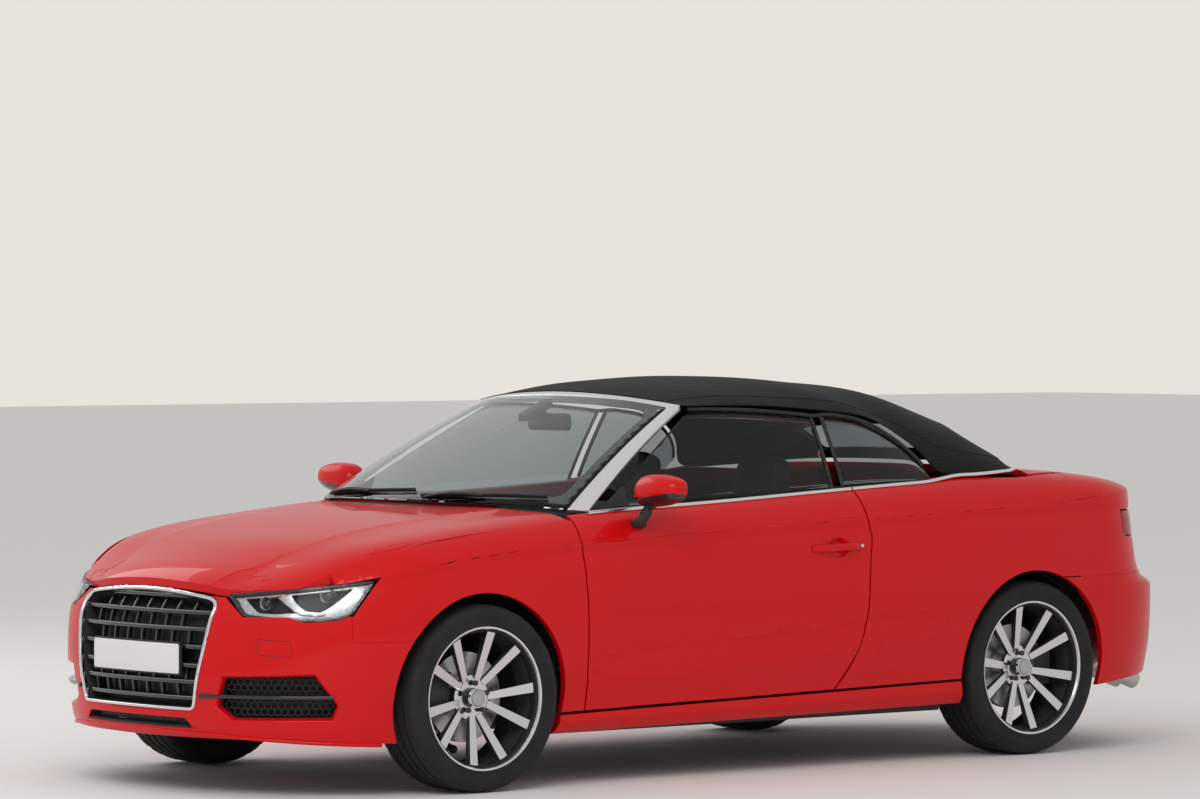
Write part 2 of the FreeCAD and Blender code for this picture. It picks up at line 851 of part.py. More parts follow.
def boot_lid():
    """Lid with its flat top, then the face down to the bumper between the lamps."""
    def top(drop):
        def point(s, t):
            y = lid_front_y
            x = 0.0
            for _ in range(settle_rounds):
                half = lid_line_x(y) - lid_taper * drop
                x = mix(-half, half, s)
                y = mix(lid_front_y, lid_edge_y(x) - drop * t, t)
            return V(x, y, top_z(x, min(y, lid_edge_y(x))) - drop)
        return point

    def face(drop):
        start = top(drop)

        def point(s, t):
            edge = start(s, 1.0)
            z = mix(edge.z, lid_foot_z, t)
            lean = deck_tail_y(z) - deck_tail_y(edge.z)
            return V(edge.x, edge.y + lean, z)
        return point

    outer = [grid(shares(13), shares(9), top(0.0)), grid(shares(13), shares(6), face(0.0))]
    inner = [grid(shares(7), shares(9), top(lid_wall)), grid(shares(7), shares(6), face(lid_wall))]
    return slab(outer, inner)


deck_front_shares = [(0.0, 1.163), (0.4, 1.158), (0.7, 1.135), (0.866, 1.08)]
deck_wall = 20.0


def rear_deck():
    """Cover ahead of the boot lid, over the well that the roof folds into."""
    front_curve = spline([(across(a), station(b)) for a, b in deck_front_shares])
    back = lid_front_y - shut_gap

    def top(drop):
        def point(s, t):
            half = mix(deck_front_half, deck_back_half, t)
            x = mix(-half, half, s)
            y = mix(front_curve(abs(x)), back, t)
            return V(x, y, top_z(x, y) - drop)
        return point

    return slab([grid(shares(13), shares(5), top(0.0))], [grid(shares(7), shares(3), top(deck_wall))])


deck_front_half = lid_line_x(station(1.11)) - shut_gap
deck_back_half = lid_line_x(station(lid_front_share)) - shut_gap

# Front bumper
bumper_reach_turn = math.radians(79.5)
bumper_foot_shares = [(0.0, 0.137), (0.5, 0.137), (0.8, 0.130), (1.0, 0.127)]
bumper_columns = [0, 0.08, 0.16, 0.28, 0.42, 0.56, 0.7, 0.82, 0.91, 0.96, 1.0]
bumper_wall = 22.0
bumper_lip_wall = 6.0
bumper_lip_reach = 60.0
bumper_foot_curve = spline([(a * math.pi / 2, level(b)) for a, b in bumper_foot_shares])
nose_edge_drop = 5.0


def nose_wall(offset_out, wall, count, columns):
    def point(s, t):
        turn = mix(-bumper_reach_turn, bumper_reach_turn, s)
        x, y = nose_point(abs(turn), level(0.5))
        top = edge_z(x, y) - nose_edge_drop
        z = mix(bumper_foot_curve(abs(turn)), top, t)
        thin = smooth_step(0.0, bumper_lip_reach, top - z)
        return nose_skin(turn, z, offset_out - mix(min(bumper_lip_wall, wall), wall, thin))
    return grid(shares(count), columns, point)


def nose_slab(outside, wall, count=25):
    """Sheet that follows the nose, from an outer offset inwards by a wall."""
    outer = nose_wall(outside, 0.0, count, bumper_columns)
    inner = nose_wall(outside, wall, (count + 1) // 2, shares(6))
    return slab([outer], [inner])


grille_outline_shares = [(0.12, 0.4955), (0.26, 0.491), (0.37, 0.4845), (0.41, 0.477), (0.432, 0.466), (0.438, 0.452),
                         (0.374, 0.228), (0.362, 0.214), (0.335, 0.2075), (0.12, 0.2035)]
grille_frame_band = 15.0
grille_proud = 5.0
grille_reach = 260.0


def grille_column(inset):
    """Column through the nose over the grille's outline, drawn in by an inset."""
    half = [(across(a), level(b)) for a, b in grille_outline_shares]
    outline = half + [(-a, b) for a, b in reversed(half)]
    count = len(outline)
    points = []
    for i in range(count):
        ahead = outline[(i + 1) % count]
        back = outline[i - 1]
        run = (ahead[0] - back[0], ahead[1] - back[1])
        length = math.hypot(run[0], run[1])
        x = outline[i][0] + run[1] / length * inset
        z = outline[i][1] - run[0] / length * inset
        points.append(V(x, nose_end_y - overrun, z))
    return prism(points, V(0, grille_reach, 0))


intake_outline_shares = [(0.3299, 0.292), (0.5838, 0.3005), (0.6178, 0.278), (0.6420, 0.25), (0.6525, 0.222),
                         (0.6455, 0.192), (0.6178, 0.186), (0.3649, 0.183), (0.3228, 0.2), (0.3084, 0.216), (0.3174, 0.25)]
slot_half_share = 0.355
slot_low_share = 0.162
slot_high_share = 0.186


def intake_column(spread=0.0):
    outline = [(a * math.pi / 2, level(b)) for a, b in intake_outline_shares]
    return column_on_nose(outline, spread)


def slot_column(inset=0.0):
    half = across(slot_half_share)
    low = level(slot_low_share) + inset
    high = level(slot_high_share) - inset
    points = [V(-half + inset, 0, low), V(half - inset, 0, low), V(half - high + low - inset, 0, high),
              V(-half + high - low + inset, 0, high)]
    start = V(0, nose_end_y - overrun, 0)
    return prism([point + start for point in points], V(0, grille_reach, 0))


def seam_spare():
    """Space of the fenders behind the bumper's seam, on the left side."""
    low = level(seam_level_share)
    space = block((across(0.6), station(seam_front_share), low), (overall_width, front_axle_y, level(0.7)))
    return space


def front_bumper():
    body = nose_slab(0.0, bumper_wall)
    cuts = [grille_column(-seat_gap), slot_column()]
    for shape in (intake_column(), lamp_column(seat_gap), seam_spare(), arch_column(front_axle_y)):
        cuts += [shape, mirrored(shape)]
    return one_solid(body.cut(cuts))


# Grille frame, its bars and the meshes of the intakes
bar_level_shares = [0.2295, 0.2505, 0.272, 0.378, 0.401, 0.424, 0.447]
bar_height = 12.0
bar_depth = 26.0
bar_set_back = 8.0
post_shares = [-0.29, -0.16, 0.0, 0.16, 0.29]
post_width = 5.0
intake_back_wall = 10.0
intake_set_back = 24.0
blade_level_share = 0.2415
blade_height = 9.0


def grille_frame():
    ring = grille_column(0.0).cut(grille_column(grille_frame_band))
    return one_solid(nose_slab(grille_proud, bumper_wall + grille_proud, 17).common(ring))


def nose_turn_at(x, z):
    """Turn at which the nose skin reaches a half width."""
    turn = abs(x) / half_width
    for _ in range(settle_rounds):
        half = nose_point(turn, z)[0] / rounded(turn, front_round_power)[0] if turn else 1.0
        out = abs(x) / half
        turn = math.atan2(out, (1 - out ** front_round_power) ** (1 / front_round_power))
    return turn


def nose_y_at(x, z):
    return nose_point(nose_turn_at(x, z), z)[1]


def grille_half(z):
    """Half width inside the grille's frame at a height."""
    outline = [(across(a) - grille_frame_band - 2 * seat_gap, level(b)) for a, b in grille_outline_shares]
    for high, low in zip(outline, outline[1:]):
        if low[1] <= z <= high[1]:
            return mix(low[0], high[0], (z - low[1]) / (high[1] - low[1]))
    return outline[-1][0]


def nose_strip(start, end, low, high, back, depth, count):
    """Strip that follows the nose between two places across and two heights, as functions of each other."""
    def sheet(inward):
        def point(s, t):
            z = mix(low, high, t)
            x = mix(start(z), end(z), s)
            return V(x, nose_y_at(x, z) + back + inward, z)
        return grid(shares(count), shares(3), point)
    return slab([sheet(0.0)], [sheet(depth)])


def grille_bars():
    """Cross bars with set-back posts and the plate's carrier, joined in one piece inside the frame."""
    pieces = []
    for share in bar_level_shares:
        low = level(share)
        pieces.append(nose_strip(lambda z: -grille_half(z), grille_half, low, low + bar_height, bar_set_back, bar_depth, 9))
    high = level(bar_level_shares[-1]) + bar_height / 2
    low = level(bar_level_shares[0]) + bar_height / 2
    for share in post_shares:
        start = across(share) - post_width / 2
        pieces.append(nose_strip(lambda z: start, lambda z: start + post_width, low, high, bar_set_back + bar_depth / 2, bar_depth / 4, 3))
    pieces.append(block((-plate_half, plate_y, plate_low_z), (plate_half, plate_y + plate_depth, plate_low_z + plate_height)))
    return one_solid(fused(pieces))


plate_y = nose_end_y + 22.0
plate_depth = 40.0
plate_half = 262.0
plate_height = 114.0
plate_low_z = level(0.288)


def bumper_intakes():
    """Meshes and blades set back in the bumper's openings."""
    back = nose_slab(-intake_set_back, intake_back_wall, 17)
    left = one_solid(back.common(intake_column(-seat_gap)))
    blade_space = nose_slab(-bumper_wall / 4, intake_set_back, 17)
    blade_band = block((0, nose_end_y - overrun, level(blade_level_share)),
                       (half_width, front_axle_y, level(blade_level_share) + blade_height))
    blade = blade_space.common(intake_column(-seat_gap)).common(blade_band)
    left = fused([left, blade])
    slot = one_solid(back.common(slot_column(seat_gap)))
    return Part.makeCompound([one_solid(left), mirrored(one_solid(left)), slot])


lens_wall = 4.0
lamp_depth = 60.0


def corner_slab(outside, wall, count=15):
    """Sheet that follows the left corner of the nose round the headlamp."""
    def sheet(depth, count_s):
        def point(s, t):
            turn = mix(lamp_start_turn, lamp_end_turn, s)
            x, y = nose_point(turn, level(0.5))
            z = mix(level(lamp_low_share) - overrun, edge_z(x, y) - nose_edge_drop, t)
            return nose_skin(turn, z, outside - depth)
        return grid(shares(count_s), shares(7), point)
    return slab([sheet(0.0, count)], [sheet(wall, count)])


lamp_start_turn = math.radians(14.0)
lamp_end_turn = math.radians(78.0)


def headlamp_lens():
    return one_solid(corner_slab(0.0, lens_wall).common(lamp_column(-seat_gap)))


def headlamp_housing():
    """Lamp body behind the lens, cut down to clear the bonnet."""
    body = corner_slab(-lens_wall - seat_gap, lamp_depth).common(lamp_column(-lamp_rim))
    return one_solid(body.cut(bonnet_space()))


def bonnet_space():
    """Space that the bonnet's front corner takes over the lamp, with a gap all round."""
    def sheet(rise):
        def point(s, t):
            x = mix(across(space_start_share), bonnet_line_x(front_axle_y), s)
            front = bonnet_front_y(x) - space_gap
            y = mix(front, front + space_reach, t)
            return V(x, y, bonnet_z(x, y) + rise)
        return grid(shares(9), shares(7), point)
    return slab([sheet(overrun)], [sheet(-bonnet_wall - space_gap)])


space_start_share = 0.3
space_reach = 260.0
space_gap = 4 * shut_gap


lamp_rim = 3.0

# Rear bumper
tail_foot_shares = [(0.0, 0.205), (0.5, 0.20), (1.0, 0.172)]
tail_foot_curve = spline([(a * math.pi / 2, level(b)) for a, b in tail_foot_shares])
bumper_turn_share = 0.9
bumper_start_y = rear_axle_y + tyre_width


def rear_bumper_place(s, z, depth):
    """Point round the rear bumper: straight behind each wheel, then round the corners."""
    way = 2 * s - 1
    out = abs(way)
    if out > bumper_turn_share:
        y = mix(rear_round_y, bumper_start_y, (out - bumper_turn_share) / (1 - bumper_turn_share))
        point = V(outline_x(y, z) - depth, y, z)
    else:
        point = tail_skin(out / bumper_turn_share * math.pi / 2, z, -depth)
    return V(math.copysign(point.x, way), point.y, point.z) if way else V(0, point.y, point.z)


def rear_bumper():
    """Rear bumper from one wheel arch round to the other, with its shelf below the lid."""
    def wall(depth):
        def point(s, t):
            turn = min(abs(2 * s - 1) / bumper_turn_share, 1.0) * math.pi / 2
            z = mix(tail_foot_curve(turn), bumper_shelf_low, t)
            return rear_bumper_place(s, z, depth)
        return point

    def shelf(depth):
        start = wall(depth)

        def point(s, t):
            edge = start(s, 1.0)
            top = rear_bumper_place(s, bumper_shelf_high, depth)
            return edge + (top - edge) * t
        return point

    outer = [grid(shares(21), shares(6), wall(0.0)), grid(shares(21), shares(2), shelf(0.0))]
    inner = [grid(shares(21), shares(4), wall(bumper_wall)), grid(shares(21), shares(2), shelf(bumper_wall))]
    cut = arch_column(rear_axle_y)
    return one_solid(slab(outer, inner).cut([cut, mirrored(cut)]))


# Side skirts under the doors
skirt_foot_shares = [(0.13, 0.131), (0.84, 0.1455)]
skirt_proud = 9.0
skirt_tuck = 16.0
skirt_gap = 10.0
skirt_foot_curve = along(skirt_foot_shares)


def side_skirt():
    """Left sill cover between the wheels, standing a little proud of the doors."""
    start = front_axle_y + tyre_radius
    end = rear_axle_y - tyre_radius

    def outer(s, t):
        y = mix(start, end, s)
        z = mix(level(skirt_foot_curve(y)), door_foot_z(y) - skirt_gap, t)
        swell = skirt_proud * math.sin(math.pi * t) - skirt_tuck * (1 - t) ** 3
        return V(outline_x(y, z) + swell, y, z)

    def inner(s, t):
        point = outer(s, t)
        return V(cabin_half + sill_width + seat_gap, point.y, point.z)

    body = slab([grid(shares(7), shares(7), outer)], [grid(shares(4), shares(3), inner)])
    tyre_way = block((0, start, 0), (skirt_nose_x, skirt_nose_y, overall_height))
    return one_solid(body.cut([arch_column(front_axle_y), arch_column(rear_axle_y), tyre_way]))


skirt_nose_x = 804.0
skirt_nose_y = front_axle_y + tyre_radius + 57.0


# Windscreen and its frame
screen_base_y = -845.0
screen_base_share = 0.1885
screen_low_shares = [(0.0, 0.125, 0.692), (0.35, 0.135, 0.6905), (0.6, 0.158, 0.687), (0.804, 0.1885, 0.679)]
screen_high_shares = [(0.0, 0.389, 0.9525), (0.30, 0.394, 0.948), (0.50, 0.405, 0.938), (0.618, 0.418, 0.926)]
frame_low_shares = (0.845, 0.2153, 0.6742)
frame_high_shares = (0.659, 0.4318, 0.932)
frame_top_shares = (0.0, 0.4006, 0.9624)
frame_wall = 34.0
screen_bow = 14.0
screen_lean = math.radians(30.0)


def placed(shares_xyz):
    return V(across(shares_xyz[0]), station(shares_xyz[1]), level(shares_xyz[2]))


def curve_of(table):
    """Curve across the car through left-hand places, mirrored for the right."""
    ys = spline([(across(x), station(y)) for x, y, z in table])
    zs = spline([(across(x), level(z)) for x, y, z in table])
    return lambda x: V(x, ys(abs(x)), zs(abs(x)))


screen_low_curve = curve_of(screen_low_shares)
screen_high_curve = curve_of(screen_high_shares)


def screen_point(s, t, drop=0.0):
    """Point on the windscreen: s from -1 to 1 across, t up from the base."""
    low = screen_low_curve(s * across(screen_low_shares[-1][0]))
    high = screen_high_curve(s * across(screen_high_shares[-1][0]))
    bow = screen_bow * 4 * t * (1 - t) - drop
    return low + (high - low) * t + V(0, -math.sin(screen_lean), math.cos(screen_lean)) * bow




def windscreen():
    def sheet(drop, count_s, count_t):
        def point(s, t):
            edge = 1 - seat_gap / across(screen_low_shares[-1][0])
            return screen_point(mix(-edge, edge, s), t * edge, drop)
        return grid(shares(count_s), shares(count_t), point)
    return slab([sheet(0.0, 13, 6)], [sheet(glass_wall, 7, 4)])


def frame_drop(point, drop):
    return point + V(0, math.sin(screen_lean), -math.cos(screen_lean)) * drop


def pillar_point(side, up, t, drop):
    """Point on a windscreen pillar: up from its foot, t from the glass outwards."""
    low = placed(frame_low_shares)
    high = placed(frame_high_shares)
    outer = low + (high - low) * up
    outer = frame_drop(outer, -screen_bow * 4 * up * (1 - up))
    outer = V(outer.x * side, outer.y, outer.z)
    inner = screen_point(side, up)
    return frame_drop(inner + (outer - inner) * t, drop)


def header_edge(x):
    """Rear edge of the header above the windscreen."""
    high = placed(frame_high_shares)
    top = placed(frame_top_shares)
    bend = (x / high.x) ** 2
    return V(x, mix(top.y, high.y, bend), mix(top.z, high.z, bend))


def header_point(part, t, drop):
    inner = screen_point(part, 1.0)
    outer = header_edge(part * placed(frame_high_shares).x)
    return frame_drop(inner + (outer - inner) * t, drop)


def windscreen_frame():
    """Two pillars and the header, joined round the glass."""
    pieces = []
    for side in (1, -1):
        outer = grid(shares(6), shares(3), lambda s, t: pillar_point(side, s, t, 0.0))
        inner = grid(shares(6), shares(3), lambda s, t: pillar_point(side, s, t, frame_wall))
        pieces.append(slab([outer], [inner]))
    outer = grid(shares(13), shares(3), lambda s, t: header_point(2 * s - 1, t, 0.0))
    inner = grid(shares(13), shares(3), lambda s, t: header_point(2 * s - 1, t, frame_wall))
    pieces.append(slab([outer], [inner]))
    return one_solid(fused(pieces))


# Roof edge from the windscreen's corner back to the deck: place, half width, height
roof_edge_shares = [(0.434, 0.668, 0.925), (0.55, 0.684, 0.929), (0.70, 0.697, 0.910), (0.77, 0.708, 0.889), (0.815, 0.735, 0.845),
                    (0.845, 0.790, 0.790), (0.868, 0.838, 0.7445), (0.93, 0.852, 0.7395), (0.99, 0.835, 0.745),
                    (1.09, 0.76, 0.752)]
roof_ridge_shares = [(0.4065, 0.965), (0.50, 0.9895), (0.583, 0.9985), (0.70, 0.9945), (0.80, 0.979), (0.90, 0.953),
                     (1.0, 0.889), (1.09, 0.84), (1.155, 0.765)]
roof_path_shares = [0, 0.12, 0.25, 0.37, 0.48, 0.58, 0.67, 0.75, 0.82, 0.88, 0.94, 1.0]
roof_wall = 28.0
roof_power = 2.7
roof_bulge_share = 0.35
roof_header_share = 0.1


def path_of(table, index):
    """Value at a share of the way along a table of places."""
    count = len(table)
    return spline([(i / (count - 1), table[i][index]) for i in range(count)])


roof_edge_place = path_of(roof_edge_shares, 0)
roof_edge_half = path_of(roof_edge_shares, 1)
roof_edge_height = path_of(roof_edge_shares, 2)
roof_ridge_place = path_of(roof_ridge_shares, 0)
roof_ridge_height = path_of(roof_ridge_shares, 1)


def roof_point(s, t, drop=0.0):
    """Roof skin: s from the header to the deck, t from -1 to 1 across."""
    edge = V(across(roof_edge_half(s)), station(roof_edge_place(s)), level(roof_edge_height(s)))
    edge.z = max(edge.z, top_z(edge.x, edge.y) + seat_gap)
    ridge = V(0, station(roof_ridge_place(s)), level(roof_ridge_height(s)))
    out = abs(t)
    fall = out ** roof_power
    y = mix(ridge.y, edge.y, out ** 2)
    z = mix(ridge.z, edge.z, fall)
    x = edge.x * math.sin(math.pi / 2 * out) ** 0.9 if out else 0.0
    x = mix(edge.x * out, x, roof_bulge_share)
    header = header_edge(x) + V(0, seat_gap, 0)
    near = 1 - smooth_step(0.0, roof_header_share, s)
    return V(math.copysign(x, t), mix(y, header.y, near), mix(z, header.z, near) - drop)


def soft_top():
    outer = grid(roof_path_shares, shares(15), lambda s, t: roof_point(s, 2 * t - 1))
    inner = grid(roof_path_shares, shares(9), lambda s, t: roof_inner(s, 2 * t - 1))
    return slab([outer], [inner])


def roof_inner(s, t):
    """Lining of the roof, drawn in towards a point inside the cabin."""
    point = roof_point(s, t)
    middle = V(0, station(roof_core_share), level(roof_core_level_share))
    way = point - middle
    return point - way * (roof_wall / way.Length)


roof_core_share = 0.62
roof_core_level_share = 0.62


# Side glass: stands on the belt and leans in to the roof's edge
glass_low_inset = 14.0
glass_split_share = 0.671
door_glass_top_shares = [(0.4435, 0.656, 0.916), (0.49, 0.668, 0.915), (0.55, 0.677, 0.911), (0.61, 0.682, 0.9035), (0.664, 0.687, 0.8945)]
quarter_glass_top_shares = [(0.676, 0.690, 0.8985), (0.74, 0.697, 0.885), (0.79, 0.712, 0.850), (0.825, 0.752, 0.802), (0.842, 0.80, 0.757)]


def side_glass(low_start, low_end, top_table, rest_at):
    """Pane between the belt line and a top edge given by place, half width and height."""
    ys = path_of(top_table, 0)
    xs = path_of(top_table, 1)
    zs = path_of(top_table, 2)

    def sheet(drop, count):
        def point(s, t):
            y = mix(station(low_start), station(low_end), s)
            low = V(belt_x - glass_low_inset, y, top_z(rest_at, y) + seat_gap)
            high = V(across(xs(s)), station(ys(s)), level(zs(s)))
            swell = glass_swell * 4 * t * (1 - t)
            return low + (high - low) * t + V(swell - drop, 0, 0)
        return grid(shares(count), shares(4), point)

    return slab([sheet(0.0, 9)], [sheet(glass_wall, 9)])


glass_swell = 7.0


def door_glass():
    return side_glass(0.2285, 0.657, door_glass_top_shares, belt_x)


def quarter_glass():
    return side_glass(0.6705, 0.838, quarter_glass_top_shares, belt_x - glass_low_inset - glass_wall)


# Rear window in the roof
window_low_share = 0.955
window_high_share = 0.80
window_half_share = 0.50


def rear_window_column(spread):
    points = []
    for s, t in ((window_low_share, -1), (window_low_share, 1), (window_high_share, 1), (window_high_share, -1)):
        point = roof_point(s, t * window_half_share)
        points.append(V(point.x + t * spread, point.y, point.z + (spread if s == window_high_share else -spread)))
    start = [V(point.x, station(0.8), point.z) for point in points]
    return prism(start, V(0, wheelbase, 0))


def rear_window():
    """Pane in the roof's opening, sunk a little below the cloth."""
    def sheet(drop, count):
        def point(s, t):
            place = mix(window_high_share - window_over_share, window_low_share + window_over_share, s)
            outer = roof_point(place, mix(-window_wide_share, window_wide_share, t))
            middle = V(0, station(roof_core_share), level(roof_core_level_share))
            way = outer - middle
            return outer - way * ((window_sink + drop) / way.Length)
        return grid(shares(count), shares(count), point)
    return one_solid(slab([sheet(0.0, 7)], [sheet(glass_wall, 7)]).common(rear_window_column(0.0)))


window_over_share = 0.035
window_wide_share = 0.62
window_sink = 6.0

# Mirrors on the doors
mirror_centre_shares = (1.045, 0.286, 0.722)
mirror_half_x = 112.0
mirror_half_y = 62.0
mirror_half_z = 62.0
mirror_lean_share = 0.16
mirror_foot_radius = 20.0
mirror_power_share = 0.55
mirror_foot_shares = (0.955, 0.275, 0.635)


def mirror_housing():
    """Shell in the shape of a flattened egg, cut flat behind for its glass, on a foot on the door."""
    centre = placed(mirror_centre_shares)

    def point(s, t):
        way = 2 * s - 1
        turn = 2 * math.pi * t
        size = max(1 - abs(way) ** 2.6, 0.0) ** (1 / 2.6)
        y = math.sin(turn)
        z = math.cos(turn)
        high = mirror_half_z * (1 - mirror_lean_share * way)
        low = mirror_half_z * (1 - mirror_lean_share * way)
        up = high if z > 0 else low
        return V(centre.x + way * mirror_half_x, centre.y - y * size * mirror_half_y, centre.z + z * size * up)

    rings = []
    for way in (-0.97, -0.8, -0.4, 0.1, 0.55, 0.85, 0.97):
        ring = [point((way + 1) / 2, i / mirror_ring_count) for i in range(mirror_ring_count)]
        curve = Part.BSplineCurve()
        curve.interpolate(ring, PeriodicFlag=True)
        rings.append(Part.Wire(curve.toShape()))
    shell = Part.makeLoft(rings, True)
    back = block((0, centre.y + mirror_half_y * mirror_power_share, 0), (overall_width, wheelbase, overall_height))
    shell = shell.cut(back)
    foot = placed(mirror_foot_shares)
    inner_foot = V(foot.x - mirror_foot_radius * 2, foot.y, foot.z - mirror_foot_radius)
    arm = rod(inner_foot, V(centre.x, centre.y, centre.z - mirror_half_z / 2), mirror_foot_radius)
    return one_solid(fused([shell, cleared(arm, door(), V(0, 0, 1))]))


mirror_ring_count = 12

# Cowl below the windscreen, with the wipers on it
cowl_wall = 12.0
cowl_drop = 14.0
wiper_radius = 6.0


def cowl():
    """Plastic cover from the bonnet's rear edge to the foot of the windscreen."""
    half = across(cowl_half_share)

    def sheet(drop):
        def point(s, t):
            x = mix(-half, half, s)
            front = bonnet_back_y(x) + shut_gap
            back = screen_low_curve(x).y
            low = bonnet_z(x, bonnet_back_y(x)) - cowl_drop
            high = screen_low_curve(x).z - cowl_drop
            return V(x, mix(front, back, t), mix(low, high, t) - drop)
        return grid(shares(9), shares(3), point)
    return slab([sheet(0.0)], [sheet(cowl_wall)])


cowl_half_share = 0.78

# Body shell: floor, sills, firewall, posts, bulkhead, boot tub, front rails
floor_z = 190.0
floor_wall = 14.0
cabin_half = 700.0
sill_width = 50.0
sill_height = 58.0
firewall_y = station(0.12)
firewall_wall = 16.0
bulkhead_y = station(0.90)
tub_floor_z = 430.0
tub_half = 560.0
tub_end_y = tail_end_y - 285.0
tub_wall = 14.0
rail_half = 430.0
rail_width = 70.0
rail_height = 100.0
rail_low_z = 400.0
nose_beam_y = nose_end_y + 175.0
post_depth = 46.0
post_top_z = level(0.585)
tower_radius = 85.0
tower_wall = 12.0
shelf_z = level(0.69)
side_wall_depth = 36.0


def body_shell():
    """Welded shell behind the panels, open inside for the cabin, the boot and the engine bay."""
    cabin_end = bulkhead_y + tub_wall
    outer_sill = cabin_half + sill_width
    parts = [block((-cabin_half, firewall_y, floor_z), (cabin_half, cabin_end, floor_z + floor_wall))]
    parts.append(block((-cabin_half, firewall_y, floor_z), (cabin_half, firewall_y + firewall_wall, post_top_z)))
    parts.append(block((-cabin_half, bulkhead_y, floor_z), (cabin_half, cabin_end, shelf_z)))
    parts.append(block((-tunnel_half, firewall_y, floor_z), (tunnel_half, bulkhead_y, floor_z + tunnel_height)))
    parts.append(block((-tub_half, bulkhead_y, shelf_z - tub_wall), (tub_half, bulkhead_y + shelf_depth, shelf_z)))
    parts.append(block((-rail_half, nose_beam_y, rail_low_z), (rail_half, nose_beam_y + rail_width, rail_low_z + rail_height)))
    for side in (1, -1):
        parts.append(block((side * cabin_half, firewall_y, floor_z - floor_wall),
                           (side * outer_sill, station(0.86), floor_z + sill_height)))
        parts.append(block((side * cabin_half, firewall_y, floor_z), (side * (outer_sill + floor_wall), firewall_y + post_depth, post_top_z)))
        parts.append(block((side * (cabin_half - sill_width), lock_post_y, floor_z), (side * cabin_half, cabin_end, shelf_z)))
        parts.append(block((side * (cabin_half - sill_width), lock_post_y, floor_z), (side * outer_sill, lock_post_y + post_depth, post_top_z)))
        parts.append(block((side * rail_half, nose_beam_y, rail_low_z), (side * (rail_half - rail_width), firewall_y, rail_low_z + rail_height)))
        parts.append(block((side * (rail_half - rail_width), front_axle_y - tower_radius, rail_low_z),
                           (side * rail_half, front_axle_y + tower_radius, tower_top_z)))
        parts.append(block((side * (rail_half - rail_width), front_axle_y - tower_radius, tower_top_z - tower_wall),
                           (side * tower_reach, front_axle_y + tower_radius, tower_top_z)))
    shell = fused(parts)
    cuts = []
    for side in (1, -1):
        cuts.append(Part.makeCylinder(arch_radius + liner_wall + seat_gap, half_width, V(side * rear_well_x, rear_axle_y, tyre_radius), V(side, 0, 0)))
        cuts.append(Part.makeCylinder(front_well_radius + liner_wall + seat_gap, half_width, V(side * front_well_x, front_axle_y, tyre_radius), V(side, 0, 0)))
    shell = one_solid(shell.cut(cuts))
    return one_solid(fused([shell] + brackets()))


def boot_tub():
    """Open tub of the boot, hung on the bulkhead, with the posts that carry the deck and the bumper."""
    start = bulkhead_y + tub_wall + seat_gap
    parts = [block((-tub_half, start, tub_floor_z), (tub_half, tub_end_y, tub_floor_z + tub_wall)),
             block((-tub_half, tub_end_y - tub_wall, tub_floor_z), (tub_half, tub_end_y, tub_top_z))]
    for side in (1, -1):
        wall_x = side * (tub_half - tub_wall)
        parts.append(block((side * tub_half, start, tub_floor_z), (wall_x, tub_end_y, tub_top_z)))
    return one_solid(fused(parts + tub_brackets()))


def brackets():
    """Small mounts that reach from the shell to the panels, hinges and covers."""
    front = firewall_y + post_depth
    out_x = cabin_half + sill_width
    down = V(0, 0, -1)
    inward = V(-1, 0, 0)
    forward = V(0, -1, 0)
    backward = V(0, 1, 0)
    wing_low = block((out_x - bracket, firewall_y, post_top_z - bracket), (across(0.93), front, post_top_z))
    wing_high = block((across(0.905), firewall_y, post_top_z - bracket), (across(0.93), front, level(0.66)))
    side = quarter()
    leaf = door()
    left = [cleared(wing_low.fuse(wing_high), fender(), down),
            cleared(block((out_x - bracket, lock_post_y, level(0.42)), (half_width, lock_post_y + post_depth, level(0.45))), side, inward)]
    for low in (level(0.27), level(0.50)):
        base = block((out_x - bracket, firewall_y, low), (strap_end_x, strap_turn_y, low + bracket / 2))
        tip = block((strap_tip_x, firewall_y, low), (strap_end_x, strap_tip_y, low + bracket / 2))
        left.append(cleared(base.fuse(tip), leaf, forward))
    foot_low = block((foot_inner_x, firewall_y, post_top_z - bracket), (foot_outer_x, station(0.207), post_top_z))
    foot_high = block((foot_inner_x, station(0.176), post_top_z - bracket), (foot_outer_x, station(0.207), level(0.668)))
    foot = cleared(foot_low.fuse(foot_high), windscreen_frame(), down)
    left.append(cleared(foot, cowl(), V(1, 0, -1)))
    left.append(hood_foot())
    nose_arm = block((across(0.45), nose_end_y, level(0.305)), (rail_half, nose_beam_y + rail_width, level(0.34)))
    left.append(cleared(nose_arm, front_bumper(), backward))
    cowl_post = block((-bracket, firewall_y, post_top_z - bracket), (bracket, firewall_y + firewall_wall, level(0.66)))
    return left + [mirrored(piece) for piece in left] + [cleared(cowl_post, cowl(), down)]


# Hinge straps of the doors and feet of the windscreen's pillars
strap_end_x = across(0.92)
strap_tip_x = 782.0
strap_turn_y = station(0.165)
strap_tip_y = station(0.19)
foot_inner_x = 690.0
foot_outer_x = 728.0


def hood_foot():
    """Post that rises from the firewall to just below the bonnet's rear corner."""
    def top(s, t):
        x = mix(across(0.78), across(0.83), s)
        y = mix(firewall_y, station(0.155), t)
        return V(x, y, bonnet_z(x, y) - bonnet_wall - hood_rest_gap)

    def foot(s, t):
        point = top(s, t)
        return V(point.x, point.y, post_top_z - bracket)
    return slab([grid(shares(4), shares(4), top)], [grid(shares(4), shares(4), foot)])


hood_rest_gap = 1.0


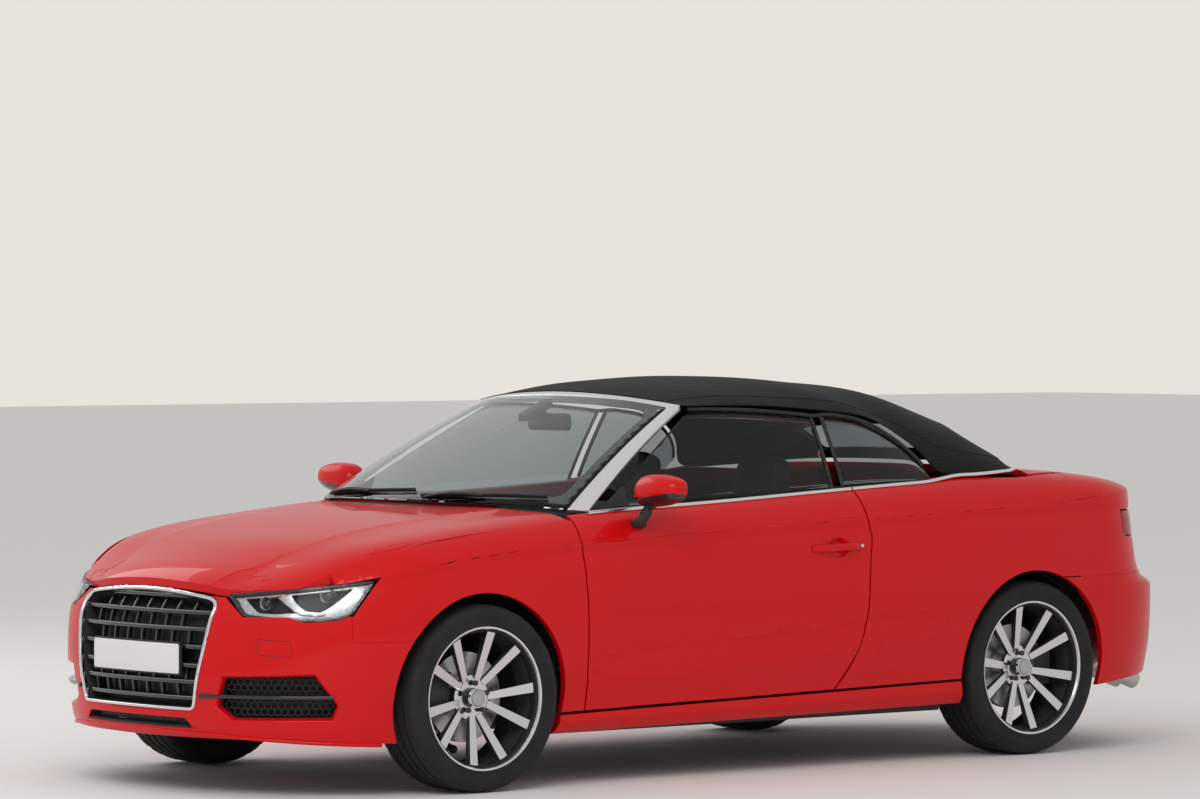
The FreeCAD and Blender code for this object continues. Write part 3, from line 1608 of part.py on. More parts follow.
def tub_brackets():
    """Posts of the deck and the lid, and the arm that holds the rear bumper."""
    down = V(0, 0, -1)
    deck_post = block((tub_half - tub_wall, station(1.20), tub_top_z - bracket), (tub_half, station(1.24), level(0.745)))
    lid_post = block((tub_half - tub_wall, station(1.31), tub_top_z - bracket), (tub_half, station(1.34), level(0.745)))
    left = [cleared(deck_post, rear_deck(), down), cleared(lid_post, boot_lid(), down)]
    tail_arm = block((-bracket, tub_end_y - tub_wall, level(0.39)), (bracket, tail_end_y, level(0.42)))
    return left + [mirrored(piece) for piece in left] + [cleared(tail_arm, rear_bumper(), V(0, -1, 0))]


bracket = 60.0
tunnel_half = 120.0
tunnel_height = 150.0
tub_top_z = level(0.66)
shelf_depth = 220.0
lock_post_y = station(0.70)
tower_top_z = level(0.585)
tower_reach = 620.0
rear_well_x = 590.0
front_well_x = 470.0
front_well_radius = 398.0
liner_wall = 4.0

# Wheel arch liners
liner_skin_gap = 3.0
liner_outer_x = across(0.905)


def arch_liners():
    """Black liners over the wheels, closed towards the car's middle."""
    shapes = []
    for axle_y, well_x, radius in ((front_axle_y, front_well_x, front_well_radius), (rear_axle_y, rear_well_x, arch_radius)):
        bend = liner_outer_x - skin_wall - well_x
        outer = Part.makeCylinder(radius + liner_wall, bend, V(well_x, axle_y, tyre_radius), V(1, 0, 0))
        inner = Part.makeCylinder(radius, bend, V(well_x + liner_wall, axle_y, tyre_radius), V(1, 0, 0))
        below = block((0, axle_y - overall_width, -overrun), (overall_width, axle_y + overall_width, liner_foot_z))
        strut_way = rod(on_kingpin(tyre_radius), kingpin_high, strut_rod_radius * 2)
        axle_way = block((0, axle_y - axle_slot, 0), (front_track / 2, axle_y + axle_slot, tyre_radius + axle_slot))
        opening = strut_way if axle_y < 0 else axle_way
        shapes.append(one_solid(outer.cut([inner, below, opening])))
    return Part.makeCompound(shapes + [mirrored(shape) for shape in shapes])


axle_slot = 70.0


liner_foot_z = 295.0

# Wheels
rim_width = 210.0
rim_flange_radius = 258.0
barrel_radius = 232.0
barrel_wall = 9.0
flange_depth = 24.0
hub_radius = 78.0
hub_depth = 23.0
spoke_face_x = 62.0
spoke_dish = 26.0
spoke_wide = 34.0
spoke_narrow = 24.0
spoke_deep = 36.0
spoke_spread = math.radians(16.5)
spoke_pairs = 5
bore_radius = 32.3
spindle_radius = 32.0
cap_radius = 30.0
disc_radius = 156.0
disc_wall = 26.0
hat_radius = 76.0
wheel_turn_front = math.radians(62.5)
wheel_turn_rear = math.radians(45.0)


def ring_profile(points, centre):
    """Solid of revolution about the wheel's axle from (x, radius) points."""
    outline = [V(x, 0, radius) for x, radius in points]
    face = Part.Face(Part.makePolygon(outline + [outline[0]]))
    solid = face.revolve(V(0, 0, 0), V(1, 0, 0), 360)
    solid.translate(centre)
    return solid


def rim(centre, side, first_turn):
    """Alloy wheel with five pairs of spokes; side is 1 on the left."""
    half = rim_width / 2
    barrel = ring_profile([(half, rim_flange_radius), (half - flange_depth, barrel_radius + barrel_wall), (0, barrel_radius),
                           (-half, rim_flange_radius), (-half, rim_flange_radius - barrel_wall), (0, barrel_radius - barrel_wall),
                           (half - flange_depth, barrel_radius), (half, rim_flange_radius - barrel_wall)], V(0, 0, 0))
    hub = ring_profile([(spoke_face_x - spoke_dish, bore_radius), (spoke_face_x - spoke_dish, hub_radius * 0.86),
                        (spoke_face_x - spoke_dish - 4, hub_radius), (disc_outer_x + seat_gap, hub_radius),
                        (disc_outer_x + seat_gap, bore_radius)], V(0, 0, 0))
    cap = ring_profile([(spoke_face_x - spoke_dish + 4, 0), (spoke_face_x - spoke_dish + 2, cap_radius),
                        (spoke_face_x - spoke_dish - 12, bore_radius + 2), (spoke_face_x - spoke_dish - 12, 0)], V(0, 0, 0))
    pieces = [barrel, hub, cap]
    for pair in range(spoke_pairs):
        for lean in (-1, 1):
            turn = first_turn + 2 * math.pi * pair / spoke_pairs
            pieces.append(spoke(turn, lean))
    whole = fused(pieces)
    if side < 0:
        whole = mirrored(whole)
    whole.translate(centre)
    return one_solid(whole)


disc_outer_x = 16.0
disc_x = -24.0
tyre_crown_share = 0.78
tyre_shoulder = 20.0


def spoke(turn, lean):
    """Tapered spoke from the hub out to the rim, leaning from its pair's middle line."""
    start_angle = turn + lean * spoke_spread * 0.75
    end_angle = turn + lean * spoke_spread
    inner = hub_radius * 0.80
    outer = barrel_radius + 2
    sections = []
    for angle, radius, wide, face, deep in ((start_angle, inner, spoke_narrow, spoke_face_x - spoke_dish + 2, spoke_deep / 2),
                                            (end_angle, outer, spoke_wide, spoke_face_x + 22, spoke_deep)):
        middle = V(0, math.cos(angle) * radius, math.sin(angle) * radius)
        across_way = V(0, -math.sin(angle), math.cos(angle))
        points = []
        for w, d in ((-0.5, 0), (0.5, 0), (0.36, 1), (-0.36, 1)):
            points.append(middle + across_way * (w * wide) + V(face - d * deep, 0, 0))
        sections.append(Part.makePolygon(points + [points[0]]))
    return Part.makeLoft(sections, True, True)


def tyre(centre, side):
    half = tyre_width / 2
    bead = rim_flange_radius + seat_gap
    crown = half * tyre_crown_share
    shoulder = tyre_radius - tyre_shoulder
    solid = ring_profile([(-crown, tyre_radius), (crown, tyre_radius), (half, shoulder), (half, bead), (-half, bead),
                          (-half, shoulder)], V(0, 0, 0))
    solid.translate(centre)
    return solid


def brake_disc(centre, side):
    half = disc_wall / 2
    solid = ring_profile([(disc_outer_x, bore_radius), (disc_outer_x, hat_radius), (disc_x + half, hat_radius),
                          (disc_x + half, disc_radius), (disc_x - half, disc_radius), (disc_x - half, bore_radius)], V(0, 0, 0))
    if side < 0:
        solid = mirrored(solid)
    solid.translate(centre)
    return solid


# Front suspension: a leaning steering axis through the ball joint and the strut
kingpin_low = V(front_track / 2 - 76.0, front_axle_y, 150.0)
kingpin_high = V(front_track / 2 - 217.0, front_axle_y, tower_top_z - tower_wall)
knuckle_wall = 30.0
strut_radius = 26.0
strut_rod_radius = 11.0
ball_radius = 17.0
arm_wall = 22.0
caliper_reach = 26.0
caliper_angle = math.radians(38.0)
pad_gap = 5.0


def on_kingpin(height):
    share = (height - kingpin_low.z) / (kingpin_high.z - kingpin_low.z)
    return kingpin_low + (kingpin_high - kingpin_low) * share


def caliper(centre, turn):
    """Brake caliper astride the disc: two cheeks and a bridge outside the disc's edge."""
    out = disc_wall / 2 + pad_gap
    cheek = caliper_cheek
    low = disc_radius * caliper_low_share
    high = disc_radius + caliper_reach
    wide = caliper_half
    shapes = [block((-out - cheek, -wide, low), (-out, wide, high)), block((out, -wide, low), (out + cheek * 0.6, wide, high)),
              block((-out - cheek, -wide, disc_radius + pad_gap), (out + cheek * 0.6, wide, high))]
    whole = fused(shapes)
    whole.rotate(V(0, 0, 0), V(1, 0, 0), math.degrees(turn))
    whole.translate(centre + V(disc_x, 0, 0))
    return whole


caliper_cheek = 26.0
caliper_low_share = 0.58
caliper_half = 72.0


def knuckle():
    """Left hub carrier with its spindle, ball joint, strut tube and caliper."""
    centre = V(front_track / 2, front_axle_y, tyre_radius)
    carrier_x = centre.x + disc_x - disc_wall / 2 - pad_gap - knuckle_wall
    outer_x = carrier_x + knuckle_wall
    middle_x = carrier_x + knuckle_wall / 2
    top = on_kingpin(tyre_radius + knuckle_rise)
    low = on_kingpin(kingpin_low.z + ball_radius * 2)
    lug_half = hub_radius * lug_share
    arm_z = centre.z - lug_half * arm_share
    lug_low = (carrier_x - strut_radius, centre.y - lug_half * arm_share, centre.z - lug_half)
    lug_high = (outer_x, centre.y + lug_half * arm_share, centre.z + lug_half)
    shapes = [rod(V(carrier_x, centre.y, centre.z), V(centre.x + hub_depth, centre.y, centre.z), spindle_radius)]
    shapes.append(block(lug_low, lug_high))
    shapes.append(rod(low, top, strut_radius))
    bracket_start = (carrier_x + bracket_inset, centre.y - disc_radius * bracket_share, centre.z - bracket_half)
    bracket_end = (outer_x - bracket_inset, centre.y, centre.z + bracket_half)
    shapes.append(block(bracket_start, bracket_end))
    shapes.append(caliper(centre, math.pi / 2 - caliper_tilt))
    arm_end = V(carrier_x - strut_radius, centre.y + steering_arm, arm_z)
    shapes.append(rod(V(middle_x, centre.y, arm_z), arm_end, bracket_half))
    return one_solid(fused(shapes))


lug_share = 0.82
arm_share = 0.6
bracket_inset = 4.0
bracket_half = 12.0
bracket_share = 0.82
knuckle_rise = 300.0
steering_arm = 120.0
caliper_tilt = math.radians(12.0)

# Front subframe with lower arms, and strut rods from the towers
subframe_half = 330.0
subframe_low_z = 205.0
subframe_wall = 60.0
subframe_depth = 150.0


def front_subframe():
    shapes = [block((-subframe_half, front_axle_y - subframe_depth / 2, subframe_low_z), (subframe_half, front_axle_y + subframe_depth, subframe_low_z + subframe_wall))]
    for side in (1, -1):
        post = block((side * (rail_half - rail_width), front_axle_y + subframe_depth / 3, subframe_low_z), (side * subframe_half * 0.9, front_axle_y + subframe_depth, rail_low_z - seat_gap))
        shapes.append(post)
        ball = V(side * kingpin_low.x, kingpin_low.y, kingpin_low.z - arm_wall / 2)
        inner_front = V(side * subframe_half * 0.9, front_axle_y, subframe_low_z + arm_wall)
        inner_back = V(side * subframe_half * 0.9, front_axle_y + subframe_depth * 0.8, subframe_low_z + arm_wall)
        shapes.append(rod(inner_front, ball, arm_wall / 2))
        shapes.append(rod(inner_back, ball, arm_wall / 2))
        shapes.append(Part.makeSphere(arm_wall * 0.7, ball))
    return one_solid(fused(shapes))


def strut_rods():
    """Upper rods of the struts, from the towers down into the knuckles' tubes."""
    top = kingpin_high
    low = on_kingpin(tyre_radius + knuckle_rise + seat_gap)
    left = rod(low, V(top.x, top.y, top.z) - (kingpin_high - kingpin_low) * 0.004, strut_rod_radius)
    return both_sides(left)


# Rear axle
rear_beam_radius = 45.0


def rear_axle():
    """Twist beam with trailing arms, hub plates, spindles and calipers."""
    centre = V(rear_track / 2, rear_axle_y, tyre_radius)
    carrier_x = centre.x + disc_x - disc_wall / 2 - pad_gap - knuckle_wall
    beam_y = rear_axle_y - rear_beam_ahead
    shapes = [rod(V(-rear_arm_x, beam_y, rear_beam_z), V(rear_arm_x, beam_y, rear_beam_z), rear_beam_radius)]
    for side in (1, -1):
        hub = V(side * centre.x, centre.y, centre.z)
        shapes.append(rod(V(side * rear_arm_x, beam_y, rear_beam_z), V(side * rear_arm_x, centre.y, centre.z), rear_arm_radius))
        shapes.append(rod(V(side * rear_arm_x, centre.y, centre.z), V(side * (centre.x + hub_depth), centre.y, centre.z), spindle_radius))
        shapes.append(rod(V(side * carrier_x, centre.y, centre.z), V(side * (carrier_x + knuckle_wall), centre.y, centre.z), hub_radius * 0.8))
        shapes.append(rod(V(side * (carrier_x + knuckle_wall / 2), centre.y, centre.z), V(side * (carrier_x + knuckle_wall / 2), centre.y + disc_radius * 0.9, centre.z), knuckle_wall / 2))
        grip = caliper(V(centre.x, centre.y, centre.z), -math.pi / 2)
        shapes.append(grip if side > 0 else mirrored(grip))
        top = rear_tower_z
        shapes.append(rod(V(side * rear_arm_x, centre.y - rear_beam_ahead * 0.4, rear_beam_z), V(side * rear_arm_x, centre.y - rear_beam_ahead * 0.4, top), rear_arm_radius * 0.8))
    return one_solid(fused(shapes))


rear_beam_ahead = 180.0
rear_arm_x = 520.0
rear_arm_radius = 30.0
rear_beam_z = 290.0
rear_tower_z = tub_floor_z - seat_gap

# Engine, exhaust
engine_half = 285.0
engine_depth = 420.0
engine_height = 400.0


def engine_block():
    low = subframe_low_z + subframe_wall + seat_gap
    return block((-engine_half, front_axle_y - engine_depth * 0.42, low), (engine_half, front_axle_y + engine_depth * 0.45, low + engine_height))


exhaust_radius = 28.0
muffler_radius = 75.0


def exhaust():
    """Pipe under the tunnel to a cross silencer and a pair of tail pipes on the left."""
    pipe_z = floor_z - exhaust_radius - seat_gap
    muffler_z = tub_floor_z - muffler_radius - seat_gap
    start = V(0, station(pipe_start_share), pipe_z)
    bend = V(0, station(pipe_bend_share), pipe_z)
    shapes = [rod(start, bend, exhaust_radius), Part.makeSphere(exhaust_radius, bend),
              rod(bend, V(tail_pipe_x, muffler_y, muffler_z), exhaust_radius),
              rod(V(tail_pipe_x - muffler_length, muffler_y, muffler_z), V(tail_pipe_x + muffler_end, muffler_y, muffler_z), muffler_radius)]
    for step in (-1, 1):
        shapes.append(rod(V(tail_pipe_x + step * tail_pipe_gap, muffler_y, muffler_z - muffler_radius * 0.4),
                          V(tail_pipe_x + step * tail_pipe_gap, tail_end_y - tail_pipe_back, tail_pipe_z), tail_pipe_radius))
    return one_solid(fused(shapes))


muffler_y = station(1.62)
muffler_length = 460.0
muffler_end = 85.0
pipe_start_share = 0.2
pipe_bend_share = 0.965
tail_pipe_x = across(0.52)
tail_pipe_gap = 44.0
tail_pipe_radius = 34.0
tail_pipe_z = level(0.158)
tail_pipe_back = 70.0

# Cabin
dash_front_y = firewall_y + firewall_wall + seat_gap
dash_depth = 540.0
dash_half = 665.0
dash_top_z = level(0.665)
dash_low_z = level(0.44)
wheel_x = across(0.41)
wheel_y = station(0.40)
wheel_z = level(0.60)
wheel_ring_radius = 184.0
wheel_rim_radius = 14.0
wheel_tilt = math.radians(24.0)
column_radius = 26.0


def dashboard():
    """Instrument panel with a cowl over the dials, the steering column and the centre console."""
    back_y = dash_front_y + dash_depth
    points = [V(0, dash_front_y, dash_low_z), V(0, dash_front_y, dash_top_z - dash_step * 2), V(0, dash_front_y + dash_depth * 0.45, dash_top_z),
              V(0, back_y - dash_depth * 0.2, dash_top_z - dash_step * 0.4), V(0, back_y, dash_top_z - dash_step * 1.6),
              V(0, back_y - dash_depth * 0.25, dash_low_z)]
    start = V(-dash_half, 0, 0)
    body = prism([point + start for point in points], V(2 * dash_half, 0, 0))
    hood = Part.makeCylinder(hood_radius, dash_depth * 0.5, V(wheel_x, back_y - dash_depth * 0.62, dash_top_z - hood_radius * 0.55), V(0, 1, -0.12))
    axle = steering_way()
    column = rod(V(wheel_x, wheel_y, wheel_z) - axle * column_gap, V(wheel_x, wheel_y, wheel_z) - axle * column_length, column_radius)
    console = block((-console_half, back_y - dash_depth * 0.3, floor_z + tunnel_height + seat_gap), (console_half, console_end_y, console_top_z))
    return one_solid(fused([body, hood, column, console]))


dash_step = 60.0
hood_radius = 150.0
column_gap = 34.0
column_length = 330.0
console_half = 105.0
console_end_y = station(0.62)
console_top_z = level(0.36)


def steering_way():
    """Direction of the steering column, up and back towards the driver."""
    return V(0, math.cos(wheel_tilt), math.sin(wheel_tilt))


def steering_wheel():
    middle = V(wheel_x, wheel_y, wheel_z)
    axle = steering_way()
    side = V(1, 0, 0)
    down = axle.cross(side)
    section = []
    for i in range(wheel_rim_sides):
        turn = 2 * math.pi * (i + 0.5) / wheel_rim_sides
        section.append(middle + side * (wheel_ring_radius + math.cos(turn) * wheel_rim_radius) + axle * (math.sin(turn) * wheel_rim_radius))
    ring = Part.Face(Part.makePolygon(section + [section[0]])).revolve(middle, axle, 360)
    boss = rod(middle - axle * (column_gap - seat_gap), middle, boss_radius)
    shapes = [ring, boss]
    for way in (side, side * -1, down):
        reach = way * (wheel_ring_radius - wheel_rim_radius / 2)
        wide = way.cross(axle) * (wheel_spoke / 2)
        start = middle - axle * boss_depth
        shapes.append(prism([start - wide, start + wide, start + wide + reach, start - wide + reach], axle * boss_depth))
    return one_solid(fused(shapes))


boss_radius = 58.0
wheel_rim_sides = 8
boss_depth = 16.0
wheel_spoke = 34.0

# Seats
seat_x = across(0.415)
seat_half = 245.0
seat_front_y = station(0.41)
seat_depth = 480.0
seat_low_z = floor_z + floor_wall + seat_gap
seat_top_z = level(0.36)
seat_round = 45.0
back_wall = 130.0
back_height = 560.0
back_lean = math.radians(20.0)


def softened(shape, width):
    return shape.makeChamfer(width, shape.Edges)


def seat():
    """Front seat: base, cushion, leaning back and headrest in one soft body."""
    base = block((-seat_half * 0.75, seat_front_y + seat_round, seat_low_z), (seat_half * 0.75, seat_front_y + seat_depth * 0.9, seat_top_z - seat_round))
    cushion = softened(block((-seat_half, seat_front_y, seat_top_z - 3 * seat_round), (seat_half, seat_front_y + seat_depth, seat_top_z)), seat_round)
    rest = softened(block((-seat_half, 0, 0), (seat_half, back_wall, back_height)), seat_round)
    head = softened(block((-head_half, 0, back_height + head_gap), (head_half, back_wall * 0.8, back_height + head_gap + head_height)), seat_round)
    post = block((-head_half / 2, back_wall * 0.3, back_height - seat_round), (head_half / 2, back_wall * 0.5, back_height + head_gap + seat_round))
    upper = rest.fuse([head, post])
    upper.rotate(V(0, 0, 0), V(1, 0, 0), -math.degrees(back_lean))
    upper.translate(V(0, seat_front_y + seat_depth - back_wall, seat_top_z - 2 * seat_round))
    return one_solid(fused([base, cushion, upper]))


head_half = 125.0
head_gap = 12.0
head_height = 190.0


def front_seats():
    left = seat()
    left.translate(V(seat_x, 0, 0))
    return both_sides(left)


rear_seat_half = 575.0
rear_seat_y = station(0.665)
rear_seat_top_z = level(0.34)


def rear_seat():
    """Rear bench and its upright back against the bulkhead."""
    back_y = bulkhead_y - seat_gap
    bench = block((-rear_seat_half, rear_seat_y, floor_z + tunnel_height + seat_gap), (rear_seat_half, back_y, rear_seat_top_z))
    rest = block((-rear_seat_half, back_y - back_wall, rear_seat_top_z - seat_round), (rear_seat_half, back_y, shelf_z))
    return one_solid(fused([bench, rest]))


# Interior mirror on the windscreen
inner_mirror_half = 120.0
inner_mirror_height = 62.0
inner_mirror_wall = 26.0


def interior_mirror():
    foot = screen_point(0.0, 0.88, glass_wall + seat_gap)
    body = softened(block((-inner_mirror_half, 0, -inner_mirror_height / 2), (inner_mirror_half, inner_mirror_wall, inner_mirror_height / 2)), inner_mirror_wall / 2.5)
    body.translate(V(0, foot.y + inner_mirror_wall * 2, foot.z - inner_mirror_height * 0.9))
    stem = rod(V(0, foot.y + inner_mirror_wall, foot.z - inner_mirror_height * 0.1), V(0, foot.y + inner_mirror_wall * 2.4, foot.z - inner_mirror_height * 0.8), inner_mirror_wall / 3)
    pad = block((-stem_half, foot.y - stem_half, foot.z - inner_mirror_wall), (stem_half, foot.y + stem_half * 2, foot.z + inner_mirror_wall))
    roof = []
    for t_low, t_high in ((0.80, 0.96),):
        roof = [screen_point(-stem_share, t_low, glass_wall + seat_gap), screen_point(stem_share, t_low, glass_wall + seat_gap),
                screen_point(stem_share, t_high, glass_wall + seat_gap), screen_point(-stem_share, t_high, glass_wall + seat_gap)]
    holder = prism(roof, V(0, 0, -inner_mirror_wall))
    return one_solid(fused([body, stem, holder]))


stem_half = 22.0
stem_share = 0.05

# Tail lamps on the quarters and on the boot lid
tail_lamp_low = level(0.548)
tail_lamp_high = level(0.638)
tail_lamp_end = math.radians(71.0)
tail_lamp_wall = 40.0
lid_lamp_half = across(0.34)


def tail_lamp_edges(s):
    """Lower and upper height of the lamp from its inner end, 0, to its tip on the side, 1."""
    return mix(tail_lamp_low, tail_lamp_low + tail_lamp_rise, s), tail_lamp_high


def side_lamp_sheet(offset, grow):
    def point(s, t):
        low, high = tail_lamp_edges(s)
        z = mix(low - grow, high + grow, t)
        start = tail_turn_at(lid_back_half + shut_gap + lamp_rim - grow - offset * lamp_turn_share, z)
        turn = mix(start, tail_lamp_end + grow / half_width, s)
        return tail_skin(turn, z, offset)
    return grid(shares(7), shares(4), point)


def tail_lamp():
    return slab([side_lamp_sheet(0.0, 0.0)], [side_lamp_sheet(-tail_lamp_wall, 0.0)])


def tail_lamp_space():
    return slab([side_lamp_sheet(overrun, seat_gap)], [side_lamp_sheet(-tail_lamp_wall - overrun, seat_gap)])


def lid_face_y(x, z):
    """Rear face of the boot lid below its edge."""
    edge_y = lid_edge_y(x)
    return edge_y + deck_tail_y(z) - deck_tail_y(top_z(x, edge_y))


def lid_lamp_sheet(depth, grow):
    def point(s, t):
        x = mix(lid_lamp_half - grow, lid_back_half - lamp_rim + grow, s)
        z = mix(tail_lamp_low - grow, tail_lamp_high + grow, t)
        return V(x, lid_face_y(x, z) - depth, z)
    return grid(shares(5), shares(4), point)


def boot_lamp():
    return slab([lid_lamp_sheet(0.0, 0.0)], [lid_lamp_sheet(lid_lamp_wall, 0.0)])


def boot_lamp_space():
    return slab([lid_lamp_sheet(-overrun, seat_gap)], [lid_lamp_sheet(lid_lamp_wall + seat_gap, seat_gap)])


lid_lamp_wall = 18.0
lamp_turn_share = 0.5
tail_lamp_rise = 30.0


def add_wheel(name, centre, side, first_turn):
    save("rim_" + name, rim(centre, side, first_turn))
    save("tyre_" + name, tyre(centre, side))
    save("brake_disc_" + name, brake_disc(centre, side))


def main():
    os.makedirs("parts", exist_ok=True)
    save("body_shell", body_shell())
    save("boot_tub", boot_tub())
    save("front_bumper", front_bumper())
    save("grille_frame", grille_frame())
    save("grille_bars", grille_bars())
    save("bumper_intakes", bumper_intakes())
    save("headlamp_housings", both_sides(headlamp_housing()))
    save("headlamp_lenses", both_sides(headlamp_lens()))
    save("front_fenders", both_sides(fender()))
    save("side_skirts", both_sides(side_skirt()))
    lamp = tail_lamp()
    save("quarter_panels", both_sides(one_solid(quarter().cut(tail_lamp_space()))))
    save("tail_lamps", both_sides(lamp))
    save("rear_deck", rear_deck())
    save("rear_bumper", rear_bumper())
    save("windscreen_frame", windscreen_frame())
    save("windscreen", windscreen())
    save("soft_top", one_solid(soft_top().cut(rear_window_column(seat_gap))))
    save("rear_window", rear_window())
    save("quarter_glass", both_sides(quarter_glass()))
    save("cowl", cowl())
    save("dashboard", dashboard())
    save("front_seats", front_seats())
    save("rear_seat", rear_seat())
    save("interior_mirror", interior_mirror())
    save("arch_liners", arch_liners())
    save("engine_block", engine_block())
    save("front_subframe", front_subframe())
    save("strut_rods", strut_rods())
    save("rear_axle", rear_axle())
    save("exhaust", exhaust())
    save("bonnet", bonnet())
    pocket = boot_lamp_space()
    save("boot_lid", one_solid(boot_lid().cut([pocket, mirrored(pocket)])))
    save("boot_lamps", both_sides(boot_lamp()))
    save("steering_wheel", steering_wheel())
    door_left = door()
    glass_left = door_glass()
    mirror_left = mirror_housing()
    knuckle_left = knuckle()
    for name, turn_over in (("left", False), ("right", True)):
        for part_name, shape in (("door", door_left), ("door_glass", glass_left), ("mirror", mirror_left), ("knuckle", knuckle_left)):
            save(part_name + "_" + name, mirrored(shape) if turn_over else shape)
    for name, side in (("left", 1), ("right", -1)):
        add_wheel("front_" + name, V(side * front_track / 2, front_axle_y, tyre_radius), side, wheel_turn_front)
        add_wheel("rear_" + name, V(side * rear_track / 2, rear_axle_y, tyre_radius), side, wheel_turn_rear)


if __name__ == "__main__":
    main()
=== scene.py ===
import bpy
import json
import math
import numpy as np
import re
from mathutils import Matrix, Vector
from mathutils.geometry import delaunay_2d_cdt


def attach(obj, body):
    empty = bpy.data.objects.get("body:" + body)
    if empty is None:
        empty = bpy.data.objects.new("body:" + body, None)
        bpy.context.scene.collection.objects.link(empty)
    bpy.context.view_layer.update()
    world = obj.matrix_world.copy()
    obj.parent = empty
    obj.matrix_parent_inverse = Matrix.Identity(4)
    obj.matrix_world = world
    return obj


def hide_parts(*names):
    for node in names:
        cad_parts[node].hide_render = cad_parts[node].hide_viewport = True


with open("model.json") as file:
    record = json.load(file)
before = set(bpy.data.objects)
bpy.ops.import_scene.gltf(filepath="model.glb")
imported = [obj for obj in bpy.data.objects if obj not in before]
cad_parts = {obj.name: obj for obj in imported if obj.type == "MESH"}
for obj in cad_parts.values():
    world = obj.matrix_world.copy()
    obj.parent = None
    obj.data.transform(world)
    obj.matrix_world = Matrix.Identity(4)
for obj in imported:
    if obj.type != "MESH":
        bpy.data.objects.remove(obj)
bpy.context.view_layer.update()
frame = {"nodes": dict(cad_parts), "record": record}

nodes = frame["nodes"]
metre = 0.001  # the tables below are in millimetres, the meshes in metres

# ---- the car's own measures, the same as the solids have
car = dict(length=4421.0, width=1793.0, height=1409.0, wheelbase=2595.0, frontOverhang=876.0,
           tyreRadius=323.5, tyreWidth=235.0, archRadius=362.0, frontTrack=1555.0, rearTrack=1526.0)
frontAxle = car["frontOverhang"] - car["length"] / 2
rearAxle = frontAxle + car["wheelbase"]
rearOverhang = car["length"] / 2 - rearAxle
halfWidth = car["width"] / 2
sides = (("left", 1), ("right", -1))


def station(share):
    # place along the car of a share of the wheelbase; before and behind it shares of the overhangs count on
    share = np.asarray(share, float)
    ahead = frontAxle + share * car["frontOverhang"]
    behind = rearAxle + (share - 1) * rearOverhang
    return np.where(share < 0, ahead, np.where(share > 1, behind, frontAxle + share * car["wheelbase"]))


def level(share):
    # height of a share of the car's height
    return share * car["height"]


def across(share):
    # place across of a share of the half width
    return share * halfWidth


def splineOf(points):
    # natural cubic curve through the points, carried on straight past both ends
    xs, ys = np.array(points, float).T
    gaps = np.diff(xs)
    count = len(xs)
    system, right = np.eye(count), np.zeros(count)
    for i in range(1, count - 1):
        system[i, i - 1:i + 2] = gaps[i - 1], 2 * (gaps[i - 1] + gaps[i]), gaps[i]
        right[i] = 6 * ((ys[i + 1] - ys[i]) / gaps[i] - (ys[i] - ys[i - 1]) / gaps[i - 1])
    bends = np.linalg.solve(system, right)
    startSlope = (ys[1] - ys[0]) / gaps[0] - gaps[0] * bends[1] / 6
    endSlope = (ys[-1] - ys[-2]) / gaps[-1] + gaps[-1] * bends[-2] / 6

    def value(x):
        # the cubic between the two neighbouring points
        x = np.asarray(x, float)
        i = np.clip(np.searchsorted(xs, x) - 1, 0, count - 2)
        ahead, behind, gap = xs[i + 1] - x, x - xs[i], gaps[i]
        inside = (bends[i] * ahead ** 3 + bends[i + 1] * behind ** 3) / (6 * gap)
        inside = inside + (ys[i] / gap - bends[i] * gap / 6) * ahead
        inside = inside + (ys[i + 1] / gap - bends[i + 1] * gap / 6) * behind
        inside = np.where(x < xs[0], ys[0] + startSlope * (x - xs[0]), inside)
        return np.where(x > xs[-1], ys[-1] + endSlope * (x - xs[-1]), inside)
    return value


def alongCar(table):
    # spline of a table over places along the car
    return splineOf([(float(station(place)), value) for place, value in table])


def upHeight(table):
    # spline of a table over heights
    return splineOf([(level(place), value) for place, value in table])


def softStep(start, end, x):
    # 0 before the start, 1 after the end, 3t^2 - 2t^3 between
    t = np.clip((x - start) / (end - start), 0, 1)
    return t * t * (3 - 2 * t)


def mix(low, high, t):
    # low plus a share of the way to high
    return low + (high - low) * t


